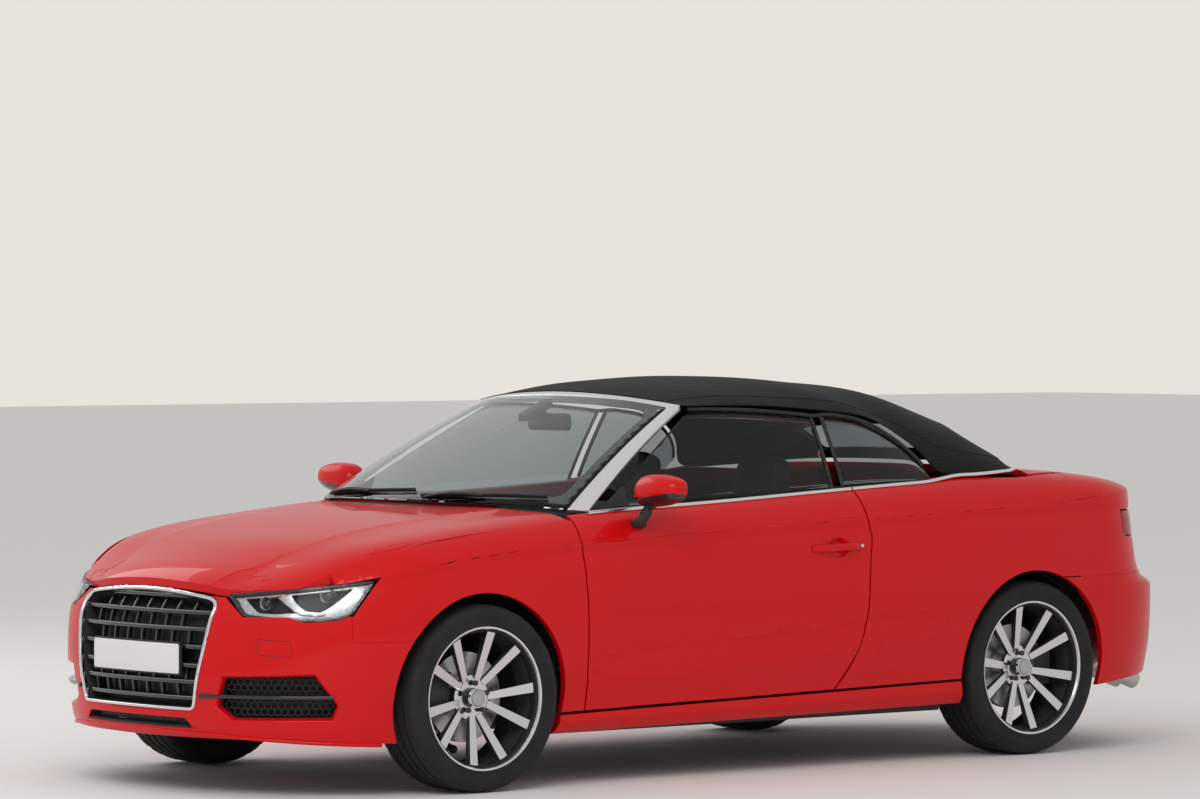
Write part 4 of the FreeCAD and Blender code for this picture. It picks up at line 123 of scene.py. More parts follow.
body = dict(
    width=[(-1.0, 0.968), (-0.42, 0.986), (0.0, 0.9915), (0.17, 0.9915), (0.514, 0.996), (0.78, 1.0),
           (1.0, 1.0), (1.46, 0.986), (2.0, 0.9615)],
    shoulder=[(-0.874, 0.474), (-0.52, 0.5266), (-0.132, 0.5656), (0.09, 0.5876), (0.227, 0.6004),
              (0.458, 0.6189), (0.685, 0.6366), (0.888, 0.648), (1.252, 0.6544), (2.0, 0.660)],
    lowCrease=[(-0.417, 0.2342), (0.163, 0.2548), (0.458, 0.2818), (0.845, 0.3286), (1.462, 0.369)],
    tuck=[(0.071, 0.074), (0.114, 0.056), (0.142, 0.048), (0.17, 0.041), (0.195, 0.035), (0.241, 0.0215),
          (0.298, 0.0105), (0.355, 0.0035), (0.41, 0.0), (0.468, 0.003), (0.525, 0.0115), (0.568, 0.02),
          (0.61, 0.0275), (0.645, 0.035), (0.7, 0.052)],
    nose=[(0.106, 0.956), (0.142, 0.9825), (0.209, 0.9907), (0.27, 0.9943), (0.3265, 0.9934),
          (0.3975, 0.9885), (0.44, 0.9808), (0.472, 0.968), (0.4968, 0.9573), (0.505, 0.9525)],
    tail=[(0.106, 0.954), (0.142, 0.977), (0.213, 0.9916), (0.284, 0.9989), (0.355, 0.9998),
          (0.426, 0.9984)],
    deckTail=[(0.465, 0.9555), (0.49, 0.9455), (0.525, 0.94), (0.568, 0.9365), (0.625, 0.9346),
              (0.7, 0.9337)],
    rise=[(-0.882, 0.0426), (-0.817, 0.0447), (-0.703, 0.0497), (-0.532, 0.0688), (-0.304, 0.0795),
          (-0.076, 0.083), (0.051, 0.0859), (0.128, 0.0916), (0.186, 0.0958), (0.39, 0.098), (0.645, 0.1022),
          (0.834, 0.1065), (1.094, 0.0972), (1.357, 0.0696), (1.673, 0.0248), (1.842, 0.004)],
    lift=[(0.0, 0.0), (0.9, 0.0), (1.094, 0.006), (1.357, 0.019), (1.673, 0.034), (1.842, 0.039),
          (2.0, 0.04)],
    fold=[(-0.84, 0.375), (-0.61, 0.455), (-0.4, 0.485), (0.0, 0.52), (0.14, 0.60)],
    frontRound=float(station(-0.166)), rearRound=float(station(1.357)), frontPower=2.4, rearPower=2.6,
    crown=0.12, crownPower=16.0, shelfLow=level(0.432), shelfHigh=level(0.467), hollow=6.0, hollowDrop=28.0,
    hollowWide=26.0, foldDeep=7.0, foldPlaces=(0.144, 0.244, 0.745, 0.861), bonnetFall=9.0,
    bonnetFallWide=60.0)
widthCurve, shoulderCurve, lowCreaseCurve, riseCurve, liftCurve, foldCurve = (
    alongCar(body[key]) for key in ("width", "shoulder", "lowCrease", "rise", "lift", "fold"))
tuckCurve, noseCurve, tailCurve, deckTailCurve = (
    upHeight(body[key]) for key in ("tuck", "nose", "tail", "deckTail"))
frontRound, rearRound = body["frontRound"], body["rearRound"]


def shoulderZ(y):
    # height of the shoulder crease
    return level(shoulderCurve(y))


def noseY(z):
    # nose line at a height, half the length times the profile's share
    return -car["length"] / 2 * noseCurve(z)


def deckTailY(z):
    # boot lid's rear line at a height
    return car["length"] / 2 * deckTailCurve(z)


def tailEnd(z):
    # bumper profile below the shelf, lid profile above it, and a soft step between
    part = softStep(body["shelfLow"], body["shelfHigh"], z)
    low = car["length"] / 2 * tailCurve(np.minimum(z, body["shelfLow"]))
    return mix(low, deckTailY(np.maximum(z, body["shelfHigh"])), part)


def sideX(y, z):
    # half width less the tuck, the hollow under the shoulder crease, and the fold low on the door
    drop = shoulderZ(y) - z
    hollow = body["hollow"] * np.exp(-((drop - body["hollowDrop"]) / body["hollowWide"]) ** 2)
    rise = z - level(lowCreaseCurve(y))
    above = -body["foldDeep"] * np.exp(-(np.maximum(rise, 0) / 20.0) ** 1.3)
    above = above + 5.0 * np.exp(-((rise - 50.0) / 30.0) ** 2)
    below = -body["foldDeep"] * np.exp(-(np.maximum(-rise, 0) / 35.0) ** 1.2)
    starts, full, fades, ends = (float(station(share)) for share in body["foldPlaces"])
    amount = softStep(starts, full, y) * (1 - softStep(fades, ends, y))
    return across(widthCurve(y)) - across(tuckCurve(z)) - hollow - amount * np.where(rise > 0, above, below)


def cornered(turn, power):
    # where a ray at this turn meets a corner rounded by the power
    size = (np.sin(turn) ** power + np.maximum(np.cos(turn), 0) ** power) ** (-1 / power)
    return np.sin(turn) * size, np.cos(turn) * size


def noseAt(turn, z):
    # side width and nose depth at a height, scaled by the rounded corner's ray at this turn
    out, ahead = cornered(np.abs(turn), body["frontPower"])
    y = frontRound - (frontRound - noseY(z)) * ahead
    return np.stack([np.sign(turn) * sideX(y, z) * out, y, z], -1)


def tailAt(turn, z):
    # side width and tail depth at a height, scaled by the rounded corner's ray at this turn
    out, behind = cornered(np.abs(turn), body["rearPower"])
    y = rearRound + (tailEnd(z) - rearRound) * behind
    return np.stack([np.sign(turn) * sideX(y, z) * out, y, z], -1)


def outlineX(y, z):
    # half width of the plan outline with the rounded nose corner
    part = np.clip((frontRound - y) / (frontRound - noseY(z)), 0, 1)
    return sideX(y, z) * (1 - part ** body["frontPower"]) ** (1 / body["frontPower"])


def edgeZ(x, y):
    # shoulder height plus its lift, with an arch 1 - x^2 towards the nose
    arch = np.maximum(1 - (x / across(0.468)) ** 2, 0)
    forward = 1 - softStep(float(station(-0.8)), float(station(-0.3)), y)
    return shoulderZ(y) + level(liftCurve(y)) + level(0.025) * arch * forward


def planShare(x, y):
    # share of the way out to the plan outline: |x| over the half width, power sums at the corners
    z = shoulderZ(y) + level(liftCurve(y))
    out = np.abs(x) / sideX(y, z)
    front = np.maximum((y - frontRound) / (noseY(z) - frontRound), 0)
    rear = np.maximum((y - rearRound) / (deckTailY(z) - rearRound), 0)
    ahead = (out ** body["frontPower"] + front ** body["frontPower"]) ** (1 / body["frontPower"])
    behind = (out ** body["rearPower"] + rear ** body["rearPower"]) ** (1 / body["rearPower"])
    return np.where(y < frontRound, ahead, np.where(y > rearRound, behind, out))


def topZ(x, y):
    # crowned top that falls away near the plan outline
    share = np.minimum(planShare(x, y), 1)
    crown = 1 - body["crown"] * share ** 2 - (1 - body["crown"]) * share ** body["crownPower"]
    return edgeZ(x, y) + level(riseCurve(y)) * crown


def bonnetZ(x, y):
    # the top less a fall outside the crease that runs back from the grille
    beyond = np.maximum(np.abs(x) - across(foldCurve(y)), 0)
    fade = softStep(float(noseY(level(0.5))), float(station(-0.7)), y)
    return topZ(x, y) - body["bonnetFall"] * fade * (1 - np.exp(-beyond / body["bonnetFallWide"]))


# ---- meshes
# plane nets: first row and row pitch as shares of the spacing, and how clear of the border places stay
net = dict(firstRow=0.4, rowShare=0.87, clear=0.45, weld=1e-5)
# painted panels: how near to the skin and how far turned to it a face counts, net pitches and edge radius
panel = dict(near=1.6, spacing=14.0, edgeStep=16.0, facing=0.6, clear=0.42, edgeRound=1.4, archNear=0.6)
chartStep = 0.4


def newPiece(name, points, faces, finish, rides, extra=(), faceKinds=None):
    # one mesh object at the origin, with its place in its points, given in millimetres
    mesh = bpy.data.meshes.new(name)
    mesh.from_pydata((np.asarray(points, float) * metre).tolist(), [], [list(map(int, f)) for f in faces])
    for key in (finish, *extra):
        mesh.materials.append(finishes[key])
    if faceKinds is not None:
        mesh.polygons.foreach_set("material_index", np.asarray(faceKinds, np.int32))
    mesh.polygons.foreach_set("use_smooth", np.ones(len(mesh.polygons), bool))
    mesh.update()
    piece = bpy.data.objects.new(name, mesh)
    bpy.context.scene.collection.objects.link(piece)
    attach(piece, rides)
    return piece


def gridFaces(rows, columns, closedRows=False, closedColumns=False):
    # quads between neighbouring points of a grid laid out row by row
    i = np.arange(rows if closedRows else rows - 1)
    j = np.arange(columns if closedColumns else columns - 1)
    a, b = np.meshgrid(i, j, indexing="ij")
    nextA, nextB = (a + 1) % rows, (b + 1) % columns
    return np.stack([a * columns + b, nextA * columns + b, nextA * columns + nextB, a * columns + nextB],
                    -1).reshape(-1, 4)


def nodeArrays(name):
    # a CAD node's points in millimetres, merged, and its triangles
    mesh = nodes[name].data
    points = np.zeros(len(mesh.vertices) * 3)
    mesh.vertices.foreach_get("co", points)
    triangles = np.zeros(len(mesh.polygons) * 3, np.int64)
    mesh.polygons.foreach_get("vertices", triangles)
    points, triangles = points.reshape(-1, 3) / metre, triangles.reshape(-1, 3)
    first, back = np.unique(np.round(points, 2), axis=0, return_index=True, return_inverse=True)[1:]
    triangles = back.reshape(-1)[triangles]
    whole = (triangles != np.roll(triangles, 1, axis=1)).all(1)
    return points[first], triangles[whole]


def unit(vectors):
    # each vector divided by its length
    return vectors / np.maximum(np.linalg.norm(vectors, axis=-1, keepdims=True), 1e-9)


def faceNormals(points, triangles):
    # unit cross product of two sides of each triangle
    a, b, c = (points[triangles[:, k]] for k in range(3))
    return unit(np.cross(b - a, c - a))


def borderOf(faces):
    # edges that only one triangle has, in that triangle's direction
    edges = faces[:, [0, 1, 1, 2, 2, 0]].reshape(-1, 2)
    size = faces.max() + 1
    return edges[~np.isin(edges[:, 0] * size + edges[:, 1], edges[:, 1] * size + edges[:, 0])]


def staggered(low, high, spacing):
    # places over a rectangle in rows, every second row moved on by half a step
    rows = np.arange(low[1] + spacing * net["firstRow"], high[1], spacing * net["rowShare"])
    u, v = np.meshgrid(np.arange(low[0], high[0] + spacing, spacing), rows)
    u = u + spacing * 0.5 * (np.arange(len(rows)) % 2)[:, None]
    return np.stack([u.ravel(), v.ravel()], 1)


def skinUps(skin, places, way=None):
    # unit cross product of the skin's two run directions, turned towards the way where one is given
    step = np.array([chartStep, 0.0])
    ups = unit(np.cross(skin(*(places + step).T) - skin(*(places - step).T),
                        skin(*(places + step[::-1]).T) - skin(*(places - step[::-1]).T)))
    return ups if way is None else ups * (np.sign(np.dot(ups.mean(0), way)) or 1)


def insideOf(places, segments):
    # even-odd test of places in the plane against closed loops given as segments
    inside = np.zeros(len(places), bool)
    for start, end in segments:
        spans = (start[1] > places[:, 1]) != (end[1] > places[:, 1])
        if spans.any():
            cross = start[0] + (places[:, 1] - start[1]) * (end[0] - start[0]) / (end[1] - start[1])
            inside ^= spans & (places[:, 0] < cross)
    return inside


def distanceTo(places, segments):
    # least distance of each place to the segments
    nearest = np.full(len(places), 1e9)
    for start, end in segments:
        way = end - start
        t = np.clip(((places - start) @ way) / max(way @ way, 1e-9), 0, 1)
        nearest = np.minimum(nearest, np.linalg.norm(places - start - t[:, None] * way, axis=1))
    return nearest


class Chart:
    # one smooth part of a panel's outer skin: flat(points) gives (u, v), skin(u, v) gives points again,
    # shaped(u, v) gives them with what is pressed in, finer lists (middle, reach, pitch) of denser nets
    def __init__(self, flat, skin, where=None, finer=(), shaped=None):
        self.flat, self.skin, self.where = flat, skin, where
        self.finer, self.shaped = finer, shaped or skin


def dressedPanel(name, node, charts, rides):
    # the node's outer skin on a fine even mesh with exact normals and rounded edges, its inner faces kept
    edgeRound = panel["edgeRound"]
    points, triangles = nodeArrays(node)
    normals = faceNormals(points, triangles)
    middles = points[triangles].mean(1)
    kept = np.ones(len(triangles), bool)
    newPoints, newNormals, newFaces, boundaryKeys = [], [], [], {}
    edgeParts = {}

    def edgePoints(a, b):
        # points set between two corners along an edge of the skin, the same from both sides
        key = (min(a, b), max(a, b))
        if key not in edgeParts:
            length = np.linalg.norm(points[a] - points[b])
            count = max(int(math.ceil(length / panel["edgeStep"])), 1)
            edgeParts[key] = [(key, k) for k in range(1, count)]
        return edgeParts[key] if a < b else edgeParts[key][::-1]

    def placeOf(key):
        # a corner as it is, or a share of an edge, set back on the arch's circle where the edge follows it
        if isinstance(key, tuple):
            (a, b), k = key
            count = len(edgeParts[(a, b)]) + 1
            place = mix(points[a], points[b], k / count)
            for axle in (frontAxle, rearAxle):
                ends = [math.hypot(points[i][1] - axle, points[i][2] - car["tyreRadius"]) for i in (a, b)]
                if max(abs(end - car["archRadius"]) for end in ends) < panel["archNear"]:
                    out = place[1:] - (axle, car["tyreRadius"])
                    place[1:] = (axle, car["tyreRadius"]) + out * car["archRadius"] / np.linalg.norm(out)
            return place
        return points[key]

    sums = {}
    for chart in charts:
        flat = chart.flat(points)
        onSkin = np.linalg.norm(chart.skin(*flat.T) - points, axis=1) < panel["near"]
        skinNormals = skinUps(chart.skin, chart.flat(middles))
        facing = np.sum(skinNormals * normals, axis=1)
        if np.sum(facing[onSkin[triangles].all(1)]) < 0:
            skinNormals, facing = -skinNormals, -facing
        picked = kept & onSkin[triangles].all(1) & (facing > panel["facing"])
        if chart.where is not None:
            picked &= chart.where(middles)
        kept &= ~picked
        keys, segments = [], []
        slots = {}
        for a, b in borderOf(triangles[picked]).tolist() if picked.any() else ():
            chain = [a, *edgePoints(a, b), b]
            for key in chain:
                if key not in slots:
                    slots[key] = len(keys)
                    keys.append(key)
            segments += [(slots[chain[k]], slots[chain[k + 1]]) for k in range(len(chain) - 1)]
        if not keys:
            print("no skin found for", name)
            continue
        ring = chart.flat(np.array([placeOf(key) for key in keys]))
        lines = [(ring[a], ring[b]) for a, b in segments]
        fill = staggered(ring.min(0), ring.max(0), panel["spacing"])
        for middle, reach, pitch in chart.finer:
            dense = np.stack(np.meshgrid(*[np.arange(-reach, reach, pitch)] * 2), -1).reshape(-1, 2)
            dense = dense[np.linalg.norm(dense, axis=1) < reach - pitch * 0.5] + middle
            fill = np.concatenate([fill[np.linalg.norm(fill - middle, axis=1) > reach], dense])
        fill = fill[insideOf(fill, lines)]
        fill = fill[distanceTo(fill, lines) > panel["spacing"] * panel["clear"]]
        flatPoints = np.concatenate([ring, fill])
        made = delaunay_2d_cdt([Vector(p) for p in flatPoints.tolist()], segments, [], 0, net["weld"])
        madePoints = np.array([tuple(p) for p in made[0]])
        faces = np.array(made[2])
        faces = faces[insideOf(madePoints[faces].mean(1), lines)]
        madeSkin = chart.shaped(*madePoints.T)
        madeNormals = skinUps(chart.shaped, madePoints)
        if np.sum(faceNormals(madeSkin, faces) * madeNormals[faces[:, 0]]) < 0:
            madeNormals = -madeNormals
        if np.dot(faceNormals(madeSkin, faces).mean(0), normals[picked].mean(0)) < 0:
            faces, madeNormals = faces[:, ::-1], -madeNormals
        target = np.zeros(len(madePoints), np.int64)
        for i, origin in enumerate(made[3]):
            key = keys[origin[0]] if len(origin) and origin[0] < len(keys) else None
            if key in boundaryKeys:
                target[i] = boundaryKeys[key]
                sums[key].append(madeSkin[i])
                newNormals[target[i]] = newNormals[target[i]] + madeNormals[i]
                continue
            target[i] = len(newPoints)
            if key is not None:
                boundaryKeys[key], sums[key] = len(newPoints), [madeSkin[i]]
            newPoints.append(madeSkin[i])
            newNormals.append(madeNormals[i])
        newFaces += target[faces].tolist()
    for key, values in sums.items():
        newPoints[boundaryKeys[key]] = np.mean(values, axis=0)
    newPoints, newNormals = np.array(newPoints), unit(np.array(newNormals))
    # rounded rim: the border is drawn in a little, then rings turn down to meet the kept inner faces
    border = borderOf(np.array(newFaces)).tolist()
    outward = {}
    for a, b in border:
        side = unit(np.cross(newPoints[b] - newPoints[a], newNormals[a]))
        for key in (a, b):
            outward[key] = outward.get(key, 0) + side
    count = len(newPoints)
    rimKeys = list(outward)
    rimSlot = {key: i for i, key in enumerate(rimKeys)}
    out = unit(np.array([outward[key] for key in rimKeys]))
    base, up = newPoints[rimKeys].copy(), newNormals[rimKeys]
    allPoints, allNormals = [newPoints], [newNormals]
    newPoints[rimKeys] = inward = base - out * edgeRound
    turns = np.radians([30, 60, 90])
    for turn in turns:
        allPoints.append(inward + (out * math.sin(turn) - up * (1 - math.cos(turn))) * edgeRound)
        allNormals.append(out * math.sin(turn) + up * math.cos(turn))
    levels = [rimKeys] + [list(count + k * len(rimKeys) + np.arange(len(rimKeys)))
                          for k in range(len(turns))]
    for high, low in zip(levels, levels[1:]):
        newFaces += [[high[rimSlot[a]], low[rimSlot[a]], low[rimSlot[b]], high[rimSlot[b]]] for a,
                     b in border]
    # the faces that stay, with the skin's border points taken from the last ring
    reverse = {value: key for key, value in boundaryKeys.items()}
    last = {reverse[key]: levels[-1][rimSlot[key]] for key in rimKeys if key in reverse}
    offset = count + len(turns) * len(rimKeys)
    keepTriangles = triangles[kept]
    used = [i for i in np.unique(keepTriangles) if i not in last]
    slots = {i: offset + k for k, i in enumerate(used)}
    slots.update(last)
    keptNormals = np.zeros((len(points), 3))
    weights = faceNormals(points, keepTriangles)
    for k in range(3):
        np.add.at(keptNormals, keepTriangles[:, k], weights)
    innerFaces = []
    for a, b, c in keepTriangles:
        loop = []
        for start, end in ((a, b), (b, c), (c, a)):
            loop.append(slots[start])
            key = (min(start, end), max(start, end))
            if key in edgeParts:
                loop += [slots[part] for part in edgePoints(start, end) if part in slots]
        innerFaces.append(loop)
    allPoints.append(points[used])
    allNormals.append(unit(keptNormals[used]))
    piece = newPiece(name, np.concatenate(allPoints), newFaces + innerFaces, "redPaint", rides)
    # exact normals on the outer skin and its rounded rim, flat ones inside
    mesh = piece.data
    corners = np.zeros(len(mesh.loops), np.int64)
    mesh.loops.foreach_get("vertex_index", corners)
    cornerNormals = np.concatenate(allNormals)[corners]
    outerCorners = sum(len(f) for f in newFaces)
    cornerNormals[outerCorners:] = 0
    mesh.polygons.foreach_set("use_smooth", np.arange(len(mesh.polygons)) < len(newFaces))
    mesh.normals_split_custom_set(cornerNormals.tolist())
    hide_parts(node)
    print("panel", name, len(mesh.polygons), "faces")


# ---- finishes
def newFinish(name, colour, roughness=0.5, metallic=0.0, coat=0.0, coatRoughness=0.03, sheen=0.0,
              transmission=0.0, ior=1.45, specular=0.5):
    # one principled shader with its constants set
    finish = bpy.data.materials.new(name)
    finish.use_nodes = True
    shader = finish.node_tree.nodes["Principled BSDF"]
    values = {"Base Color": (*colour, 1), "Roughness": roughness, "Metallic": metallic, "Coat Weight": coat,
              "Coat Roughness": coatRoughness, "Sheen Weight": sheen, "Transmission Weight": transmission,
              "IOR": ior, "Specular IOR Level": specular}
    for key, value in values.items():
        shader.inputs[key].default_value = value
    finish.diffuse_color = (*colour, 1)
    return finish


def addNode(finish, kind, **values):
    # a shader node, its sockets or settings given by name
    node = finish.node_tree.nodes.new(kind)
    for key, value in values.items():
        if key in node.inputs:
            node.inputs[key].default_value = value
        else:
            setattr(node, key, value)
    return node


def joinNodes(finish, start, end):
    # link from one socket to the next
    finish.node_tree.links.new(start, end)


def shaderOf(finish):
    # the finish's one surface shader
    return finish.node_tree.nodes["Principled BSDF"]


def grainOn(finish, scale, colourRange=None, roughRange=None, bump=0.0, bumpScale=None):
    # noise on object coordinates drives a colour range, a roughness range and a fine bump
    place = addNode(finish, "ShaderNodeTexCoord").outputs["Object"]
    noise = addNode(finish, "ShaderNodeTexNoise", Scale=scale, Detail=4.0)
    joinNodes(finish, place, noise.inputs["Vector"])
    shader = shaderOf(finish)
    if colourRange:
        ramp = addNode(finish, "ShaderNodeValToRGB")
        for end, position, colour in zip(ramp.color_ramp.elements, (0.35, 0.65), colourRange):
            end.position, end.color = position, (*colour, 1)
        joinNodes(finish, noise.outputs["Fac"], ramp.inputs["Fac"])
        joinNodes(finish, ramp.outputs["Color"], shader.inputs["Base Color"])
    if roughRange:
        ends = {"From Min": 0.3, "From Max": 0.7, "To Min": roughRange[0], "To Max": roughRange[1]}
        spread = addNode(finish, "ShaderNodeMapRange", **ends)
        joinNodes(finish, noise.outputs["Fac"], spread.inputs["Value"])
        joinNodes(finish, spread.outputs["Result"], shader.inputs["Roughness"])
    if bump:
        fine = addNode(finish, "ShaderNodeTexNoise", Scale=bumpScale or scale, Detail=2.0)
        joinNodes(finish, place, fine.inputs["Vector"])
        raiseOn(finish, fine.outputs["Fac"], 0.5, bump)


def raiseOn(finish, height, strength, depth):
    # a bump of the height on the shader's normal
    raised = addNode(finish, "ShaderNodeBump", Strength=strength, Distance=depth)
    joinNodes(finish, height, raised.inputs["Height"])
    joinNodes(finish, raised.outputs["Normal"], shaderOf(finish).inputs["Normal"])


def weaveOn(finish, thread, depth):
    # bands of waves along the three axes, added and raised as threads
    place, total = addNode(finish, "ShaderNodeTexCoord"), None
    for direction in "XYZ":
        wave = addNode(finish, "ShaderNodeTexWave", Scale=1 / thread / 20, Distortion=0.6,
                       bands_direction=direction)
        wave.inputs["Detail Scale"].default_value = 3.0
        joinNodes(finish, place.outputs["Object"], wave.inputs["Vector"])
        if total is None:
            total = wave.outputs["Fac"]
            continue
        both = addNode(finish, "ShaderNodeMath", operation="ADD")
        joinNodes(finish, total, both.inputs[0])
        joinNodes(finish, wave.outputs["Fac"], both.inputs[1])
        total = both.outputs[0]
    raiseOn(finish, total, 0.6, depth)


# colour, roughness and shine of each finish, then the scale and ranges of its grain where it has one
finishTable = dict(
    redPaint=((0.66, 0.001, 0.004), 0.4, dict(coat=0.42, coatRoughness=0.015, specular=0.12),
        900.0, dict(colourRange=((0.63, 0.001, 0.0035), (0.69, 0.001, 0.0045)))),
    silverTrim=((0.72, 0.72, 0.72), 0.3, dict(metallic=1.0), 40.0, dict(roughRange=(0.24, 0.34))),
    chrome=((0.80, 0.80, 0.81), 0.08, dict(metallic=1.0), 40.0, dict(roughRange=(0.06, 0.11))),
    trimBright=((0.80, 0.80, 0.81), 0.22, dict(metallic=1.0), 50.0, dict(roughRange=(0.18, 0.26))),
    frameSilver=((0.78, 0.78, 0.79), 0.34, dict(metallic=0.75, coat=0.5),
        900.0, dict(colourRange=((0.74, 0.74, 0.75), (0.82, 0.82, 0.83)))),
    satinSilver=((0.50, 0.50, 0.52), 0.32, dict(metallic=1.0), 40.0, dict(roughRange=(0.26, 0.38))),
    plateWhite=((0.80, 0.80, 0.80), 0.4, {}, 60.0, dict(roughRange=(0.34, 0.46))),
    lampWhite=((0.62, 0.63, 0.65), 0.22, dict(metallic=0.55), 80.0, dict(roughRange=(0.2, 0.3))),
    # grey metal used only for the painted highlight strips on the grille bars' top front edges
    darkChrome=((0.30, 0.30, 0.31), 0.2, dict(metallic=1.0), 60.0, dict(roughRange=(0.16, 0.26))),
    lampDark=((0.010, 0.010, 0.011), 0.5, {}, 40.0, dict(roughRange=(0.4, 0.6))),
    lampGlassDark=((0.03, 0.035, 0.045), 0.05, dict(coat=1.0), 40.0, dict(roughRange=(0.04, 0.08))),
    grilleBlack=((0.016, 0.016, 0.017), 0.2, dict(coat=0.8), 60.0, dict(roughRange=(0.16, 0.26))),
    blackGloss=((0.012, 0.012, 0.013), 0.18, dict(coat=0.6), 60.0, dict(roughRange=(0.14, 0.24))),
    blackPlastic=((0.02, 0.02, 0.021), 0.6, {},
        30.0, dict(roughRange=(0.5, 0.7), bump=0.0004, bumpScale=900.0)),
    clearLens=((0.98, 0.98, 0.99), 0.0, dict(transmission=1.0, ior=1.2)),
    lampRed=((0.60, 0.015, 0.012), 0.25, dict(coat=0.8), 70.0, dict(roughRange=(0.2, 0.3))),
    redLens=((0.42, 0.006, 0.006), 0.12, dict(transmission=0.25, ior=1.35)),
    clearGlass=((0.86, 0.92, 0.90), 0.0, dict(transmission=1.0, ior=1.3)),
    tintedGlass=((0.40, 0.44, 0.45), 0.0, dict(transmission=1.0, ior=1.3)),
    blackCloth=((0.007, 0.007, 0.008), 0.92, dict(sheen=0.06, specular=0.2)),
    cabinPlastic=((0.028, 0.028, 0.03), 0.65, {},
        25.0, dict(roughRange=(0.55, 0.75), bump=0.0005, bumpScale=700.0)),
    blackLeather=((0.03, 0.029, 0.029), 0.5, {},
        20.0, dict(colourRange=((0.024, 0.023, 0.023), (0.04, 0.038, 0.037)), bump=0.0007,
                   bumpScale=420.0)),
    castMetal=((0.35, 0.35, 0.36), 0.5, dict(metallic=0.9),
        60.0, dict(roughRange=(0.4, 0.65), bump=0.0006, bumpScale=500.0)),
    darkSteel=((0.06, 0.06, 0.065), 0.5, dict(metallic=0.6), 30.0, dict(roughRange=(0.4, 0.65))),
    exhaustSteel=((0.55, 0.54, 0.52), 0.3, dict(metallic=1.0), 30.0, dict(roughRange=(0.2, 0.4))),
    wheelAlloy=((0.62, 0.62, 0.63), 0.28, dict(metallic=1.0)),
    tyreRubber=((0.011, 0.011, 0.012), 0.75, {},
        12.0, dict(roughRange=(0.65, 0.85), bump=0.0004, bumpScale=600.0)),
    discIron=((0.42, 0.42, 0.43), 0.3, dict(metallic=1.0), 30.0, dict(roughRange=(0.22, 0.4))),
    bodyStructure=((0.03, 0.03, 0.032), 0.6, {}, 12.0, dict(roughRange=(0.5, 0.7))))
finishes = {}
for key, (colour, roughness, shine, *grain) in finishTable.items():
    finishes[key] = newFinish(key, colour, roughness, **shine)
    if grain:
        grainOn(finishes[key], grain[0], **grain[1])
weaveOn(finishes["blackCloth"], 0.0022, 0.0006)


def twoToneOn(finish, bright, dark):
    # outward-facing spoke faces bright, everything turned away dark, by the piece's own normal
    place = addNode(finish, "ShaderNodeTexCoord")
    parts = addNode(finish, "ShaderNodeSeparateXYZ")
    joinNodes(finish, place.outputs["Normal"], parts.inputs["Vector"])
    size = addNode(finish, "ShaderNodeMath", operation="ABSOLUTE")
    joinNodes(finish, parts.outputs["X"], size.inputs[0])
    step = addNode(finish, "ShaderNodeMapRange", **{"From Min": 0.86, "From Max": 0.94})
    joinNodes(finish, size.outputs[0], step.inputs["Value"])
    for socket, kind, pair in (("Base Color", "RGBA", ((*dark, 1), (*bright, 1))),
                               ("Roughness", "FLOAT", (0.42, 0.2)), ("Metallic", "FLOAT", (0.4, 1.0))):
        blend = addNode(finish, "ShaderNodeMix", data_type=kind)
        ends = [i for i in blend.inputs if i.name in ("A", "B") and i.enabled]
        joinNodes(finish, step.outputs["Result"], blend.inputs["Factor"])
        ends[0].default_value, ends[1].default_value = pair
        joinNodes(finish, [o for o in blend.outputs if o.enabled][0], shaderOf(finish).inputs[socket])


twoToneOn(finishes["wheelAlloy"], (0.74, 0.74, 0.75), (0.06, 0.06, 0.065))

# a finish's slot is its own name in lower case with underscores, apart from these
slotOfFinish = {key: re.sub("([A-Z])", lambda found: "_" + found.group(1).lower(), key) for key in finishes}
finishOfSlot = {slot: finish for finish, slot in slotOfFinish.items()}
for slot, keys in (("silver_trim", ("chrome", "trimBright", "frameSilver", "satinSilver", "plateWhite",
                                    "lampWhite")),
                   ("black_plastic", ("lampDark",)), ("black_gloss", ("grilleBlack", "darkChrome")),
                   ("clear_lens", ("lampGlassDark",)), ("red_lens", ("lampRed",))):
    slotOfFinish.update(dict.fromkeys(keys, slot))
slotOfNode = {row["node"]: row.get("material_slot") for row in frame["record"]["subparts"]}
for nodeName, node in nodes.items():
    node.data.materials.clear()
    node.data.materials.append(finishes[finishOfSlot[slotOfNode[nodeName]]])
print("finishes on", len(nodes), "nodes")


# ---- painted panels
cornerReach = 760.0  # millimetres of plane for each radian of turn round the nose and tail corners


def sideFlat(points):
    # place along the car and height; behind the rear wheel the turn round the corner takes the place's part
    x, y, z = points.T
    half = sideX(y, z)
    depth = np.clip((y - rearRound) / (tailEnd(z) - rearRound), 0, None)
    turn = np.arctan2(np.abs(x) / half, depth)
    return np.stack([np.where(y > rearRound, rearRound + (math.pi / 2 - turn) * cornerReach, y), z], 1)


def sideSkinOf(side, extra=None):
    # width of the outline at a place and height, turned round the tail corner behind the rear wheel
    def skin(u, z):
        # the straight side up to the rear wheel, the corner beyond it, with what is pressed in
        turn = np.clip(math.pi / 2 - (u - rearRound) / cornerReach, -0.3, math.pi / 2)
        corner = tailAt(turn, z)
        straight = np.stack([outlineX(np.minimum(u, rearRound), z), np.minimum(u, rearRound), z], -1)
        points = np.where((u > rearRound)[:, None], corner, straight)
        if extra is not None:
            points[:, 0] += extra(points[:, 1], points[:, 2])
        points[:, 0] *= side
        return points
    return skin


def topFlat(points):
    # place across and along
    return points[:, :2].copy()


def topSkin(x, y):
    # the top's height over a place
    return np.stack([x, y, topZ(x, y)], 1)


def bonnetSkin(x, y):
    # the bonnet's height over a place
    return np.stack([x, y, bonnetZ(x, y)], 1)


